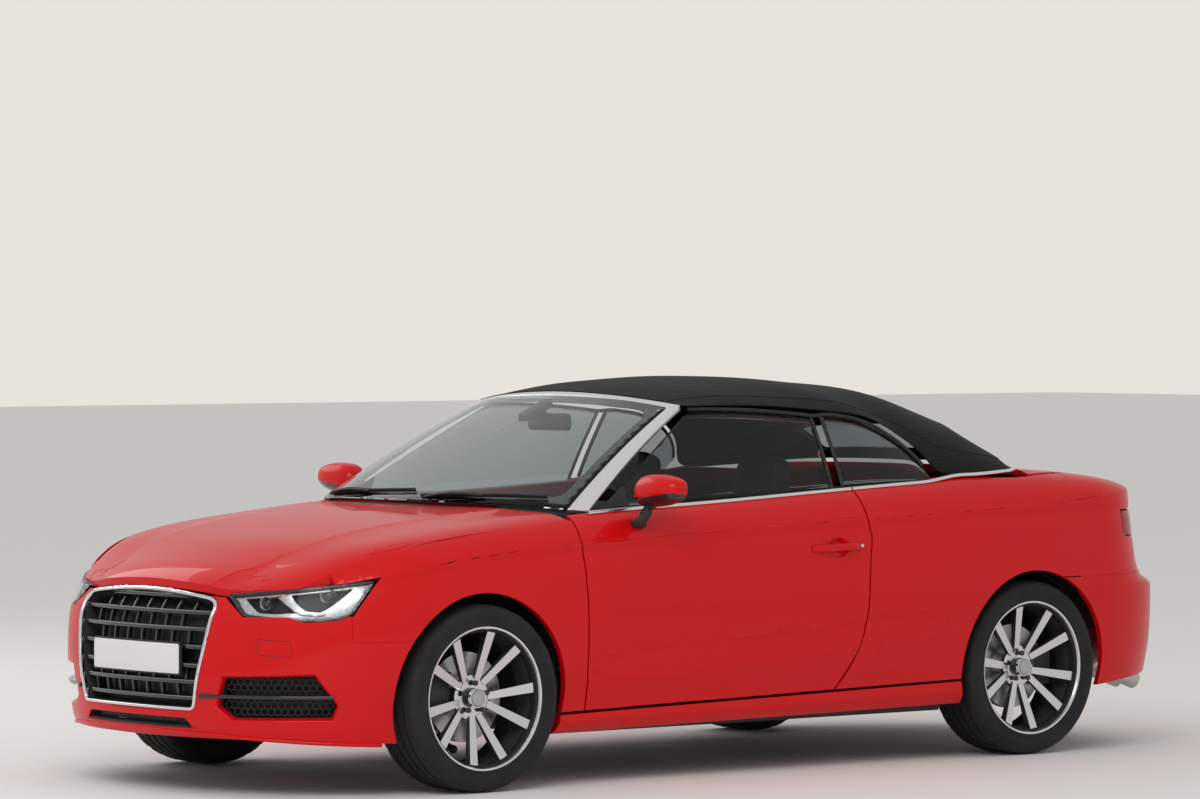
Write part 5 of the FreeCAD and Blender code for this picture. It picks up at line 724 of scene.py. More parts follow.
def noseFlat(points):
    # turn of a point round the nose corner times its reach, and height
    x, y, z = points.T
    depth = np.clip((frontRound - y) / (frontRound - noseY(z)), 0, None)
    return np.stack([np.arctan2(x / sideX(y, z), depth) * cornerReach, z], 1)


def noseSkin(u, z):
    # the nose at that turn and height
    return noseAt(u / cornerReach, z)


def tailFlat(points):
    # turn round the tail corner times its reach, or distance ahead of it, and height
    x, y, z = points.T
    depth = np.clip((y - rearRound) / (tailEnd(z) - rearRound), 0, None)
    turn = np.arctan2(x / sideX(y, z), depth) * cornerReach
    straight = np.sign(x) * (math.pi / 2 * cornerReach + rearRound - y)
    return np.stack([np.where(y < rearRound, straight, turn), z], 1)


def tailSkin(u, z):
    # the tail at that turn and height, and the side ahead of the corner
    turn = np.clip(u / cornerReach, -math.pi / 2, math.pi / 2)
    beyond = np.maximum(np.abs(u) - math.pi / 2 * cornerReach, 0)
    y = rearRound - beyond
    straight = np.stack([np.sign(u) * outlineX(y, z), y, z], 1)
    return np.where((beyond > 0)[:, None], straight, tailAt(turn, z))


def lidEdgeY(x):
    # rear edge of the lid: the tail's power curve over the place across
    z = shoulderZ(car["length"] / 2) + level(liftCurve(car["length"] / 2))
    half = sideX(float(station(1.8)), z) * 0.985
    depth, power = (deckTailY(z) - rearRound) * 0.985, body["rearPower"]
    return rearRound + depth * (1 - np.minimum(np.abs(x) / half, 1) ** power) ** (1 / power)


def lidFaceSkin(x, z):
    # the lid's rear face: its edge moved by the tail profile's change from the edge's height
    edgeY = lidEdgeY(x)
    return np.stack([x, edgeY + deckTailY(z) - deckTailY(topZ(x, edgeY)), z], 1)


def lidFaceFlat(points):
    # place across and height
    return points[:, [0, 2]].copy()


handle = dict(y=285.0, z=798.0, reach=108.0, bowl=44.0, depth=13.0, bowlBack=8.0, bowlLong=1.25,
              flatShare=0.35, netReach=62.0, netPitch=4.5,
              end=[(0.4, 9), (9, 9), (13, 6.5), (14.5, 2.5), (14.5, -2), (0.4, -2)],
              lock=[(0.4, 10.6), (6, 10.6), (6.6, 10), (6.6, 8), (0.4, 8)])


def handleBowl(y, z):
    # round recess behind the handle: full depth at its middle, nothing outside its radius
    away = np.hypot((y - handle["y"] - handle["bowlBack"]) / handle["bowlLong"],
                    z - handle["z"]) / handle["bowl"]
    return -handle["depth"] * (1 - softStep(handle["flatShare"], 1.0, away))


bonnetChart, topChart = Chart(topFlat, bonnetSkin), Chart(topFlat, topSkin)
noseChart, tailChart = Chart(noseFlat, noseSkin), Chart(tailFlat, tailSkin)
lidFaceChart = Chart(lidFaceFlat, lidFaceSkin)
sideCharts = [Chart(sideFlat, sideSkinOf(side), where=lambda middles, side=side: middles[:, 0] * side > 0)
              for side in (1, -1)]
doorCharts = [Chart(sideFlat, sideSkinOf(side), shaped=sideSkinOf(side, handleBowl),
                    finer=[((handle["y"], handle["z"]), handle["netReach"], handle["netPitch"])])
              for side in (1, -1)]
for name, node, rides, charts in (
        ("bonnetPanel", "bonnet", "bonnet", [bonnetChart]),
        ("bootLidPanel", "boot_lid", "boot_lid", [topChart, lidFaceChart]),
        ("rearDeckPanel", "rear_deck", "body", [topChart]),
        ("doorPanel_left", "door_left", "door_left", [doorCharts[0], topChart]),
        ("doorPanel_right", "door_right", "door_right", [doorCharts[1], topChart]),
        ("fenderPanels", "front_fenders", "body", [*sideCharts, topChart]),
        ("quarterPanels", "quarter_panels", "body", [*sideCharts, topChart]),
        ("frontBumperSkin", "front_bumper", "body", [noseChart]),
        ("rearBumperSkin", "rear_bumper", "body", [tailChart])):
    dressedPanel(name, node, charts, rides)


# ---- strips, sheets and turned parts
def closedPiece(name, points, faces, finish, rides="body", slotName=None, sharp=40.0, extra=(),
                faceKinds=None, replaces=()):
    # faces are turned outwards by the sign of the volume they enclose, and sharp edges are marked
    points = np.asarray(points, float)
    fans = np.array([(f[0], f[k], f[k + 1]) for f in faces for k in range(1, len(f) - 1)])
    a, b, c = (points[fans[:, k]] for k in range(3))
    if np.sum(np.cross(a, b) * c) < 0:
        faces = [list(f)[::-1] for f in faces]
    piece = newPiece(name, points, faces, finish, rides, extra, faceKinds)
    piece.data.set_sharp_from_angle(angle=math.radians(sharp))
    slotName or slotOfFinish[finish]
    for node in replaces:
        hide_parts(node)
    return piece


def roundedOutline(width, height, radius, steps=3):
    # rectangle about the origin with arcs at its corners
    turns = np.radians(np.linspace(0, 90, steps + 1))
    spots = []
    for quarter, (sx, sy) in enumerate(((1, 1), (-1, 1), (-1, -1), (1, -1))):
        centre = np.array([sx * (width / 2 - radius), sy * (height / 2 - radius)])
        turn = turns + quarter * math.pi / 2
        spots.append(centre + radius * np.stack([np.cos(turn), np.sin(turn)], 1))
    return np.concatenate(spots)


def ringOutline(radius, count=10):
    # circle about the origin
    turn = np.arange(count) * 2 * math.pi / count
    return radius * np.stack([np.cos(turn), np.sin(turn)], 1)


def smoothPath(points, count):
    # spline through places, spaced evenly by length
    points = np.asarray(points, float)
    runs = np.concatenate([[0], np.cumsum(np.linalg.norm(np.diff(points, axis=0), axis=1))])
    places = np.linspace(0, runs[-1], count)
    return np.stack([splineOf(np.stack([runs, points[:, k]], 1))(places) for k in range(points.shape[1])],
                    1)


def sweep(name, path, outline, up, finish, rides="body", slotName=None, closed=False, replaces=(),
          sharp=40.0):
    # outline points, given as side and height, carried along a path with a chosen up direction
    path, outline = np.asarray(path, float), np.asarray(outline, float)
    runs = np.roll(path, -1, 0) - np.roll(path, 1, 0) if closed else np.gradient(path, axis=0)
    along = unit(runs)
    side = unit(np.cross(along, np.broadcast_to(np.asarray(up, float), path.shape)))
    lift = np.cross(side, along)
    points = path[:, None] + side[:, None] * outline[None, :, :1] + lift[:, None] * outline[None, :, 1:]
    rows, columns = points.shape[:2]
    faces = gridFaces(rows, columns, closed, True).tolist()
    if not closed:
        faces += [list(range(columns)), list(range((rows - 1) * columns, rows * columns))[::-1]]
    return closedPiece(name, points.reshape(-1, 3), faces, finish, rides, slotName, sharp,
                       replaces=replaces)


def revolved(name, profile, centre, axis, segments, finish, rides="body", slotName=None, sharp=35.0):
    # closed profile of (radius, place on the axis) turned about the axis
    profile = np.asarray(profile, float)
    axis = unit(np.asarray(axis, float))
    first = unit(np.cross(axis, [0, 0, 1.0] if abs(axis[2]) < 0.9 else [1.0, 0, 0]))
    second = np.cross(axis, first)
    turn = np.arange(segments) * 2 * math.pi / segments
    ways = np.cos(turn)[:, None] * first + np.sin(turn)[:, None] * second
    points = np.asarray(centre, float) + ways[:, None] * profile[None, :, :1] + axis * profile[None, :, 1:]
    faces = gridFaces(segments, len(profile), True, True)
    return closedPiece(name, points.reshape(-1, 3), faces.tolist(), finish, rides, slotName, sharp)


def roundedLoop(corners, radius, steps=6):
    # each corner is cut back by its radius and joined by a quadratic curve
    corners = np.asarray(corners, float)
    radii = np.broadcast_to(radius, len(corners))
    t = np.linspace(0, 1, steps + 1)[:, None]
    loop = []
    for i, corner in enumerate(corners):
        before, after = corners[i - 1] - corner, corners[(i + 1) % len(corners)] - corner
        start = corner + unit(before) * min(radii[i], np.linalg.norm(before) * 0.48)
        end = corner + unit(after) * min(radii[i], np.linalg.norm(after) * 0.48)
        loop.append(start * (1 - t) ** 2 + 2 * corner * t * (1 - t) + end * t ** 2)
    return np.concatenate(loop)


def resampled(loop, step):
    # closed loop with points set between far neighbours and near ones dropped
    loop = np.asarray(loop, float)
    spots = []
    for a, b in zip(loop, np.roll(loop, -1, 0)):
        count = max(int(math.ceil(np.linalg.norm(b - a) / step)), 1)
        spots += [mix(a, b, k / count) for k in range(count)]
    kept = [spots[0]]
    for spot in spots[1:]:
        if np.linalg.norm(spot - kept[-1]) > step * 0.15:
            kept.append(spot)
    if np.linalg.norm(kept[-1] - kept[0]) < step * 0.15:
        kept.pop()
    return np.array(kept)


def insetLoop(loop, inset):
    # loop drawn in by a distance along its own corner directions
    loop = np.asarray(loop, float)
    run = unit(np.roll(loop, -1, 0) - np.roll(loop, 1, 0))
    inward = np.stack([-run[:, 1], run[:, 0]], 1)
    area = np.sum(loop[:, 0] * np.roll(loop[:, 1], -1) - np.roll(loop[:, 0], -1) * loop[:, 1])
    return loop + inward * inset * np.sign(area)


def netIn(loops, spacing):
    # plane triangles that fill the first loop and leave out the others
    loops = [resampled(loop, spacing) for loop in loops]
    ring = np.concatenate(loops)
    segments, start = [], 0
    for loop in loops:
        segments += [(start + k, start + (k + 1) % len(loop)) for k in range(len(loop))]
        start += len(loop)
    lines = [(ring[a], ring[b]) for a, b in segments]
    fill = staggered(ring.min(0), ring.max(0), spacing)
    fill = fill[insideOf(fill, lines)]
    if len(fill):
        fill = fill[distanceTo(fill, lines) > spacing * net["clear"]]
    flat = np.concatenate([ring, fill])
    made = delaunay_2d_cdt([Vector(p) for p in flat.tolist()], segments, [], 0, net["weld"])
    places, faces = np.array([tuple(p) for p in made[0]]), np.array(made[2])
    return places, faces[insideOf(places[faces].mean(1), lines)]


def cutSheet(name, skin, loops, spacing, wall, finish, rides="body", slotName=None, replaces=(), edge=0.8,
             outward=(0, 0, 1), lift=0.0, sharp=50.0):
    # closed sheet: a plane net inside the loops laid on a curved skin, with a wall and rounded rims
    places, faces = netIn(loops, spacing)
    points, normals = skin(*places.T), skinUps(skin, places)
    if np.sum(faceNormals(points, faces) * normals[faces[:, 0]]) < 0:
        normals = -normals
    if np.dot(normals.mean(0), outward) < 0:
        faces, normals = faces[:, ::-1], -normals
    points = points + normals * lift
    total, border = len(points), borderOf(faces)
    out = np.zeros((total, 3))
    side = unit(np.cross(points[border[:, 1]] - points[border[:, 0]], normals[border[:, 0]]))
    np.add.at(out, border[:, 0], side)
    np.add.at(out, border[:, 1], side)
    rim = np.unique(border)
    out = unit(out[rim])
    base, up = points[rim].copy(), normals[rim]
    slots = np.full(total, -1)
    slots[rim] = np.arange(len(rim))
    outer, inner = points.copy(), points - normals * wall
    outer[rim] = base - out * edge
    inner[rim] = base - out * edge - up * wall
    rings = [base - out * edge * 0.3 - up * edge * 0.3, base - up * edge, base - up * (wall - edge)]
    blocks = [outer, *rings, inner]
    starts = np.cumsum([0] + [len(block) for block in blocks])
    made = [faces, faces[:, ::-1] + starts[4]]
    levels = [rim, *(starts[k + 1] + np.arange(len(rim)) for k in range(3)), starts[4] + rim]
    walls = [np.stack([high[slots[border[:, 0]]], low[slots[border[:, 0]]], low[slots[border[:, 1]]],
                       high[slots[border[:, 1]]]], 1) for high, low in zip(levels, levels[1:])]
    allFaces = made[0].tolist() + made[1].tolist() + np.concatenate(walls).tolist()
    return closedPiece(name, np.concatenate(blocks), allFaces, finish, rides, slotName, sharp,
                       replaces=replaces)


# ---- roof, windscreen and side windows
roof = dict(
    edge=[(0.434, 0.668, 0.925), (0.55, 0.684, 0.929), (0.70, 0.697, 0.910), (0.77, 0.708, 0.889),
          (0.815, 0.735, 0.845),
          (0.845, 0.790, 0.790), (0.868, 0.838, 0.7445), (0.93, 0.852, 0.7395), (0.99, 0.835, 0.745),
          (1.09, 0.76, 0.752)],
    ridge=[(0.4065, 0.965), (0.50, 0.9895), (0.583, 0.9985), (0.70, 0.9945), (0.80, 0.979), (0.90, 0.953),
           (1.0, 0.889), (1.09, 0.84), (1.155, 0.765)],
    power=2.7, bulge=0.35, header=0.1, gap=0.3, wide=700.0, long=2300.0, cloth=3.0, bows=(0.30, 0.53, 0.74),
    sag=4.0,
    windowLow=0.955, windowHigh=0.80, windowHalf=350.0, windowRound=60.0, glassOver=16.0, glassRound=70.0,
    glassHigh=0.008, glassLow=0.006, glassBorder=34.0, core=(0.62, 0.62), sink=6.0, hemPlace=46.0)
screen = dict(
    low=[(0.0, 0.125, 0.692), (0.35, 0.135, 0.6905), (0.6, 0.158, 0.687), (0.804, 0.1885, 0.679)],
    high=[(0.0, 0.389, 0.9525), (0.30, 0.394, 0.948), (0.50, 0.405, 0.938), (0.618, 0.418, 0.926)],
    frameLow=(0.845, 0.2153, 0.6742), frameHigh=(0.659, 0.4318, 0.932), frameTop=(0.0, 0.4006, 0.9624),
    bow=14.0, lean=math.radians(30.0), wide=700.0, tall=760.0, glass=5.0, pane=((-698, 2), (698, 757)),
    paneRound=26.0, clear=[(-650, 62), (650, 62), (652, 708), (-652, 708)], clearRound=70.0,
    frameRun=1320.0, frameWide=60.0, frameThick=22.0, pillarRun=700.0, headerHalf=620.0)
panes = dict(
    door=[(0.4435, 0.656, 0.916), (0.49, 0.668, 0.915), (0.55, 0.677, 0.911), (0.61, 0.682, 0.9035),
          (0.664, 0.687, 0.8945)],
    quarter=[(0.676, 0.690, 0.8985), (0.74, 0.697, 0.885), (0.79, 0.712, 0.850), (0.825, 0.752, 0.802),
             (0.842, 0.80, 0.757)],
    doorEnds=(0.2285, 0.657), quarterEnds=(0.6705, 0.838), swell=7.0, wide=1000.0, tall=340.0, glass=4.0,
    inset=14.0)
beltX = 776.0


def placed(shares):
    # shares of half width, wheelbase and height as a point
    return np.array([across(shares[0]), float(station(shares[1])), level(shares[2])])


def tableCurves(table):
    # the table's three values as splines over an even share of its length
    count = len(table)
    return [splineOf([(i / (count - 1), row[k]) for i, row in enumerate(table)])
            for k in range(len(table[0]))]


roofPlace, roofHalf, roofHeight = tableCurves(roof["edge"])
ridgePlace, ridgeHeight = tableCurves(roof["ridge"])


def headerEdge(x):
    # top line of the windscreen frame, a parabola over the place across
    high, peak = placed(screen["frameHigh"]), placed(screen["frameTop"])
    bend = (x / high[0]) ** 2
    return mix(peak[1], high[1], bend), mix(peak[2], high[2], bend)


def roofPoint(s, t):
    # skin from the header to the deck and from side to side
    edgeX, edgeY = across(roofHalf(s)), station(roofPlace(s))
    edgeHeight = np.maximum(level(roofHeight(s)), topZ(edgeX, edgeY) + roof["gap"])
    out = np.abs(t)
    y = mix(station(ridgePlace(s)), edgeY, out ** 2)
    z = mix(level(ridgeHeight(s)), edgeHeight, out ** roof["power"])
    x = mix(edgeX * out, edgeX * np.sin(math.pi / 2 * np.clip(out, 0, 1)) ** 0.9, roof["bulge"])
    headerY, headerZ = headerEdge(x)
    near = 1 - softStep(0, roof["header"], s)
    return np.stack([np.copysign(x, t), mix(y, headerY + roof["gap"], near), mix(z, headerZ, near)], -1)


def roofSkin(u, v):
    # the roof with the cloth sagging a little between its bows
    s, t = v / roof["long"], u / roof["wide"]
    points = roofPoint(s, t)
    stops = np.array([0.05, *roof["bows"], 0.96])
    slot = np.clip(np.searchsorted(stops, s) - 1, 0, len(stops) - 2)
    part = np.clip((s - stops[slot]) / (stops[slot + 1] - stops[slot]), 0, 1)
    points[..., 2] -= roof["sag"] * np.sin(math.pi * part) ** 2 * np.clip(1 - t ** 4, 0, 1)
    return points


def screenCurve(table):
    # curve across the car, even about its middle, through the table's places
    ys = splineOf([(across(x), float(station(y))) for x, y, z in table])
    zs = splineOf([(across(x), level(z)) for x, y, z in table])
    return lambda x: np.stack([x, ys(np.abs(x)), zs(np.abs(x))], -1)


screenLow, screenHigh = screenCurve(screen["low"]), screenCurve(screen["high"])
leanWay = np.array([0, -math.sin(screen["lean"]), math.cos(screen["lean"])])


def screenPoint(s, t):
    # straight from the low to the high curve, bowed by 4t(1 - t) along the lean
    s, t = np.broadcast_arrays(np.asarray(s, float), np.asarray(t, float))
    low, high = screenLow(s * across(screen["low"][-1][0])), screenHigh(s * across(screen["high"][-1][0]))
    return mix(low, high, t[..., None]) + leanWay * (screen["bow"] * 4 * t * (1 - t))[..., None]


def screenSkin(u, v):
    # the windscreen in millimetres of width and height
    return screenPoint(u / screen["wide"], v / screen["tall"])


def pillarPoint(side, up, t):
    # up from the foot, t from the glass outwards
    outer = mix(placed(screen["frameLow"]), placed(screen["frameHigh"]), up[..., None])
    outer = outer + leanWay * (screen["bow"] * 4 * up * (1 - up))[..., None]
    outer = outer * np.array([side, 1, 1])
    return mix(screenPoint(side * np.ones_like(up), up), outer, t[..., None])


def headerPoint(part, t):
    # from the glass's top edge to the header's edge
    x = part * placed(screen["frameHigh"])[0]
    y, z = headerEdge(x)
    return mix(screenPoint(part, np.ones_like(part)), np.stack([x, y, z], -1), t[..., None])


def frameSkin(u, v):
    # one strip up the right pillar, over the header and down the left pillar
    t, run, half = v / screen["frameWide"], screen["frameRun"], screen["headerHalf"]
    right = pillarPoint(-1, np.clip((u + run) / screen["pillarRun"], 0, 1), t)
    left = pillarPoint(1, np.clip((run - u) / screen["pillarRun"], 0, 1), t)
    header = headerPoint(np.clip(u / half, -1, 1), t)
    return np.where((u < -half)[:, None], right, np.where((u > half)[:, None], left, header))


def paneSkin(side, ends, table, rest):
    # side pane from the belt to the table's top line, swelled by 4t(1 - t)
    place, half, height = tableCurves(table)

    def skin(u, v):
        # straight from the belt to the top line at this place, swelled outwards
        s, t = u / panes["wide"], v / panes["tall"]
        y = mix(float(station(ends[0])), float(station(ends[1])), s)
        low = np.stack([np.full_like(y, beltX - panes["inset"]), y, topZ(rest, y) + roof["gap"]], -1)
        high = np.stack([across(half(s)), station(place(s)), level(height(s))], -1)
        points = mix(low, high, t[..., None])
        points[..., 0] += panes["swell"] * 4 * t * (1 - t)
        return points * np.array([side, 1, 1])
    return skin


def rectangle(low, high):
    # four corners from the lowest to the highest
    return np.array([(low[0], low[1]), (high[0], low[1]), (high[0], high[1]), (low[0], high[1])], float)


def roofMiddle(points, sink):
    # points drawn towards a place inside the cabin
    middle = np.array([0, float(station(roof["core"][0])), level(roof["core"][1])])
    return points - unit(points - middle) * sink


def buildGlasshouse():
    # windscreen with its border and frame, the cloth with its hems and seams, and the rear window
    glassLoop = roundedLoop(rectangle(*screen["pane"]), screen["paneRound"])
    cutSheet("windscreenGlass", screenSkin, [glassLoop], 34, screen["glass"], "clearGlass",
             replaces=["windscreen"], outward=(0, -1, 1), edge=0.5)
    clear = roundedLoop(screen["clear"], screen["clearRound"])
    cutSheet("screenBorder", screenSkin, [glassLoop, clear], 30, 1.2, "blackGloss", outward=(0, -1, 1),
             lift=-screen["glass"] - 0.8, edge=0.3)
    strip = rectangle((-screen["frameRun"], 1.5), (screen["frameRun"], screen["frameWide"]))
    cutSheet("screenFrame", frameSkin, [strip], 15, screen["frameThick"], "frameSilver",
             replaces=["windscreen_frame"], outward=(0, -0.3, 1), edge=4.0, sharp=60)
    long, half = roof["long"], roof["windowHalf"]
    hole = rectangle((-half, roof["windowHigh"] * long), (half, roof["windowLow"] * long))
    hole = roundedLoop(hole, roof["windowRound"])
    cover = cutSheet("roofCloth", roofSkin, [rectangle((-roof["wide"], 4), (roof["wide"], long)), hole], 24,
                     roof["cloth"], "blackCloth", replaces=["soft_top"], outward=(0, 0, 1), edge=1.2)
    first = roof["hemPlace"]
    hems = [softSeam("roofHem", [(u, first) for u in np.linspace(-640, 640, 60)], 9, 2.4)]
    for word, side in (("Left", 1), ("Right", -1)):
        seam = [(side * (560 + 30 * math.sin(math.pi * k / 79)), first + k * 28) for k in range(80)]
        piping = [(side * 694, 900 + k * 16) for k in range(86)]
        hems += [softSeam("roofSeam" + word, seam, 7, 2.2), softSeam("roofPiping" + word, piping, 8, 3.0)]
    hems.append(softSeam("windowHem", insetLoop(resampled(hole, 20), -9), 12, 2.6, closed=True))
    half += roof["glassOver"]
    windowLoop = rectangle((-half, (roof["windowHigh"] - roof["glassHigh"]) * long),
                           (half, (roof["windowLow"] + roof["glassLow"]) * long))
    windowLoop = roundedLoop(windowLoop, roof["glassRound"])
    backSkin = lambda u, v: roofMiddle(roofPoint(v / roof["long"], u / roof["wide"]), roof["sink"])
    cutSheet("rearWindowGlass", backSkin, [windowLoop], 26, 4.0, "tintedGlass", replaces=["rear_window"],
             outward=(0, 1, 1), edge=0.5)
    inner = insetLoop(resampled(windowLoop, 20), roof["glassBorder"])
    cutSheet("rearWindowBorder", backSkin, [windowLoop, inner], 22, 1.0, "blackGloss", outward=(0, 1, 1),
             lift=-4.8, edge=0.3)
    print("roof and windscreen built")


def softSeam(name, places, width, height, closed=False):
    # low rounded strip of the roof's cloth laid along places on the roof
    places = np.asarray(places, float)
    ups = skinUps(roofSkin, places, (0, 0, 1))
    outline = roundedOutline(width, height, height * 0.45, 3)
    return sweep(name, roofSkin(*places.T) + ups * height * 0.2, outline, ups, "blackCloth", closed=closed)


def buildSideWindows():
    # door and quarter panes with a sail cover, seals between and over them, and the belt trim
    for word, side in sides:
        doorSkin = paneSkin(side, panes["doorEnds"], panes["door"], beltX)
        quarterSkin = paneSkin(side, panes["quarterEnds"], panes["quarter"],
                               beltX - panes["inset"] - panes["glass"])
        rides = "door_" + word
        cutSheet("doorPane_" + word, doorSkin, [rectangle((2, 1), (996, panes["tall"] - 1))], 30,
                 panes["glass"],
                 "tintedGlass", rides, replaces=["door_glass_" + word], outward=(side, 0, 0), edge=0.5)
        cutSheet("sailCover_" + word, doorSkin, [roundedLoop([(3, 2), (135, 2), (6, 88)], 8)], 14, 3.0,
                 "blackPlastic", rides, outward=(side, 0, 0), lift=3.2)
        cutSheet("quarterPane_" + word, quarterSkin, [rectangle((2, 1), (998, panes["tall"] - 1))], 26,
                 panes["glass"], "tintedGlass", outward=(side, 0, 0), edge=0.5)
        tall = np.linspace(4, panes["tall"] - 2, 24)
        out = (side, 0, 0.1)
        seals = [("doorPaneSeal_", doorSkin, 990.0, 1.5, 14, 7, rides),
                 ("quarterPaneSeal_", quarterSkin, 12.0, 1.0, 16, 6, "body")]
        for name, skin, u, off, wide, thick, ridden in seals:
            path = skin(np.full_like(tall, u), tall) + np.array([side * off, 0, 0])
            sweep(name + word, path, roundedOutline(wide, thick, 2), out, "blackPlastic", ridden)
        top = np.linspace(0, panes["wide"], 40)
        height = np.full_like(top, panes["tall"])
        path = np.concatenate([doorSkin(top, height), quarterSkin(top, height)])
        path = smoothPath(path[::3] + np.array([side * 3.0, 0, 7.0]), 90)
        sweep("roofSeal_" + word, path, roundedOutline(13, 14, 5), (0, 0, 1), "blackPlastic")
        buildBeltTrim(word, side)
    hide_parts("quarter_glass")
    print("side windows built")


def buildBeltTrim(word, side):
    # bright strip on the door's top edge, and on behind it along the foot of the roof
    doorPoints = nodeArrays("door_" + word)[0]
    doorEnd = doorPoints[doorPoints[:, 2] > doorPoints[:, 2].max() - 20, 1].max()
    outline = roundedOutline(15, 13, 4)
    flipped = np.array([side, 1, 1])

    def strip(ys):
        # places on the body's top just outside the belt
        x = np.full_like(ys, beltX + 4.0)
        return np.stack([x, ys, topZ(x, ys) + 4.0], 1)

    ys = np.linspace(-800, doorEnd - 4, 60)
    sweep("doorBeltTrim_" + word, strip(ys) * flipped, outline, (0, 0, 1), "trimBright", "door_" + word)
    ys = np.linspace(doorEnd + 3, 790, 14)
    s = np.linspace(0.70, 0.985, 12)
    foot = roofPoint(s, np.ones_like(s)) + np.array([7.0, 0, 3.0])
    path = smoothPath(np.concatenate([strip(ys), foot[1:]]), 80)
    sweep("quarterBeltTrim_" + word, path * flipped, outline, (0, 0, 1), "trimBright")


# ---- mirrors, handles, wheels
mirror = dict(centre=(1.045, 0.286, 0.722), halfX=112.0, halfY=62.0, halfZ=62.0, foot=(0.955, 0.275, 0.635),
              power=3.2, sectionPower=2.5, taper=0.14, flat=0.46, slope=0.10,
              glass=[(-88, -38), (88, -34), (90, 30), (-84, 44)], glassRound=30.0)


def buildMirror(word, side):
    # rounded sections of halfY and halfZ times (1 - |way|^power)^(1/power), narrower at the outer end, cut
    # flat behind for the glass and sloped up outwards
    cx, cy, cz = placed(mirror["centre"])
    rides, power, round3, slope = "door_" + word, mirror["power"], mirror["sectionPower"], mirror["slope"]
    ways = np.concatenate([[-0.999], -np.cos(np.linspace(0.16, math.pi - 0.16, 34)), [0.999]])
    turn = np.arange(48) * 2 * math.pi / 48
    size = (1 - np.abs(ways) ** power) ** (1 / power)
    size = size * (1 - mirror["taper"] * softStep(0.0, 1.0, ways))
    ahead, rise = np.cos(turn), np.sin(turn)
    corner = (np.abs(ahead) ** round3 + np.abs(rise) ** round3) ** (-1 / round3)
    y = -(ahead * corner)[None, :] * size[:, None] * mirror["halfY"]
    z = (rise * corner)[None, :] * size[:, None] * mirror["halfZ"]
    x = np.broadcast_to((ways * mirror["halfX"])[:, None], y.shape)
    z = np.where(z > 0, z * (1 - 0.16 * ways)[:, None], z * 0.82)
    back = mirror["halfY"] * mirror["flat"]
    y = np.where(y > back, back + (y - back) * 0.12, y)
    z = z + slope * x
    points = np.stack([side * (cx + x), cy + y, cz + z], -1).reshape(-1, 3)
    rows, columns = y.shape
    faces = gridFaces(rows, columns, False, True).tolist()
    faces += [list(range(columns)), list(range((rows - 1) * columns, rows * columns))[::-1]]
    # the lower part and the flat back are black
    local = np.array([points[f].mean(0) for f in faces]) - (side * cx, cy, cz)
    tilt = slope * local[:, 0] * side
    kinds = np.where(local[:, 2] - tilt < -13.0 - 0.10 * (local[:, 1] + 40), 1, 0)
    kinds = np.where((local[:, 1] > back - 2.0), 1, kinds)
    closedPiece("mirrorShell_" + word, points, faces, "redPaint", rides, extra=("blackGloss",),
                faceKinds=kinds, replaces=["mirror_" + word], sharp=50)
    pane = roundedLoop(mirror["glass"], mirror["glassRound"])
    rim = [(side * (cx + a), cy + back + 6.0, cz + b + slope * a) for a, b in pane]
    sweep("mirrorGlassRim_" + word, rim, ringOutline(3.2, 8), (0, 1, 0), "blackPlastic", rides, closed=True)
    flatSkin = lambda u, v: np.stack([side * (cx + u), np.full_like(u, cy + back + 5.0),
                                      cz + v + slope * u], -1)
    cutSheet("mirrorGlass_" + word, flatSkin, [pane], 20, 2.0, "chrome", rides, outward=(0, 1, 0), edge=0.4)
    seam = []
    for a in np.linspace(-104, 106, 40):
        reach = 58.5 * (1 - abs(a / 114) ** power) ** (1 / power)
        reach = reach * (1 - mirror["taper"] * softStep(0, 1, a / 112))
        seam.append((side * (cx + a), cy - reach, cz - 12.5 + slope * a))
    sweep("mirrorSeam_" + word, seam, ringOutline(1.1, 6), (0, 0, 1), "blackPlastic", rides)
    foot = placed(mirror["foot"])
    path = smoothPath([(side * (foot[0] - 38), foot[1] + 4, foot[2] + 2),
                       (side * (foot[0] + 2), foot[1] + 2, foot[2] + 20),
                       (side * (cx - 62), cy - 4, cz - 50), (side * (cx - 46), cy - 4, cz - 34)], 20)
    sweep("mirrorFoot_" + word, path, roundedOutline(58, 30, 12), (0, 0, 1), "blackPlastic", rides)


def buildHandle(word, side):
    # bowed bar over the recess, its two ends turned on the door's skin, and the lock in the rear one
    skin = sideSkinOf(side)
    rides = "door_" + word
    places = np.linspace(-1, 1, 26)
    base = skin(handle["y"] + places * handle["reach"], np.full(26, handle["z"]) + 3.0 * places)
    lift = 22.0 * (1 - np.abs(places) ** 5) - 3.0
    path = base + np.stack([side * lift, np.zeros(26), np.zeros(26)], 1)
    path = smoothPath(path, 40)
    sweep("handleBar_" + word, path, roundedOutline(26, 13, 5.5, 4), (side, 0, 0), "redPaint", rides)
    for name, y in (("Front", -handle["reach"] - 2), ("Rear", handle["reach"] + 4)):
        spot = skin(np.array([handle["y"] + y]), np.array([handle["z"] + 3.0 * np.sign(y)]))[0]
        revolved("handleEnd" + name + "_" + word, handle["end"], spot, (side, 0, 0), 28, "redPaint", rides)
        if y > 0:
            revolved("handleLock_" + word, handle["lock"], spot, (side, 0, 0), 24, "chrome", rides)


wheelPlaces = dict(
    wheel_front_left=(car["frontTrack"] / 2, frontAxle),
    wheel_front_right=(-car["frontTrack"] / 2, frontAxle),
    wheel_rear_left=(car["rearTrack"] / 2, rearAxle), wheel_rear_right=(-car["rearTrack"] / 2, rearAxle))


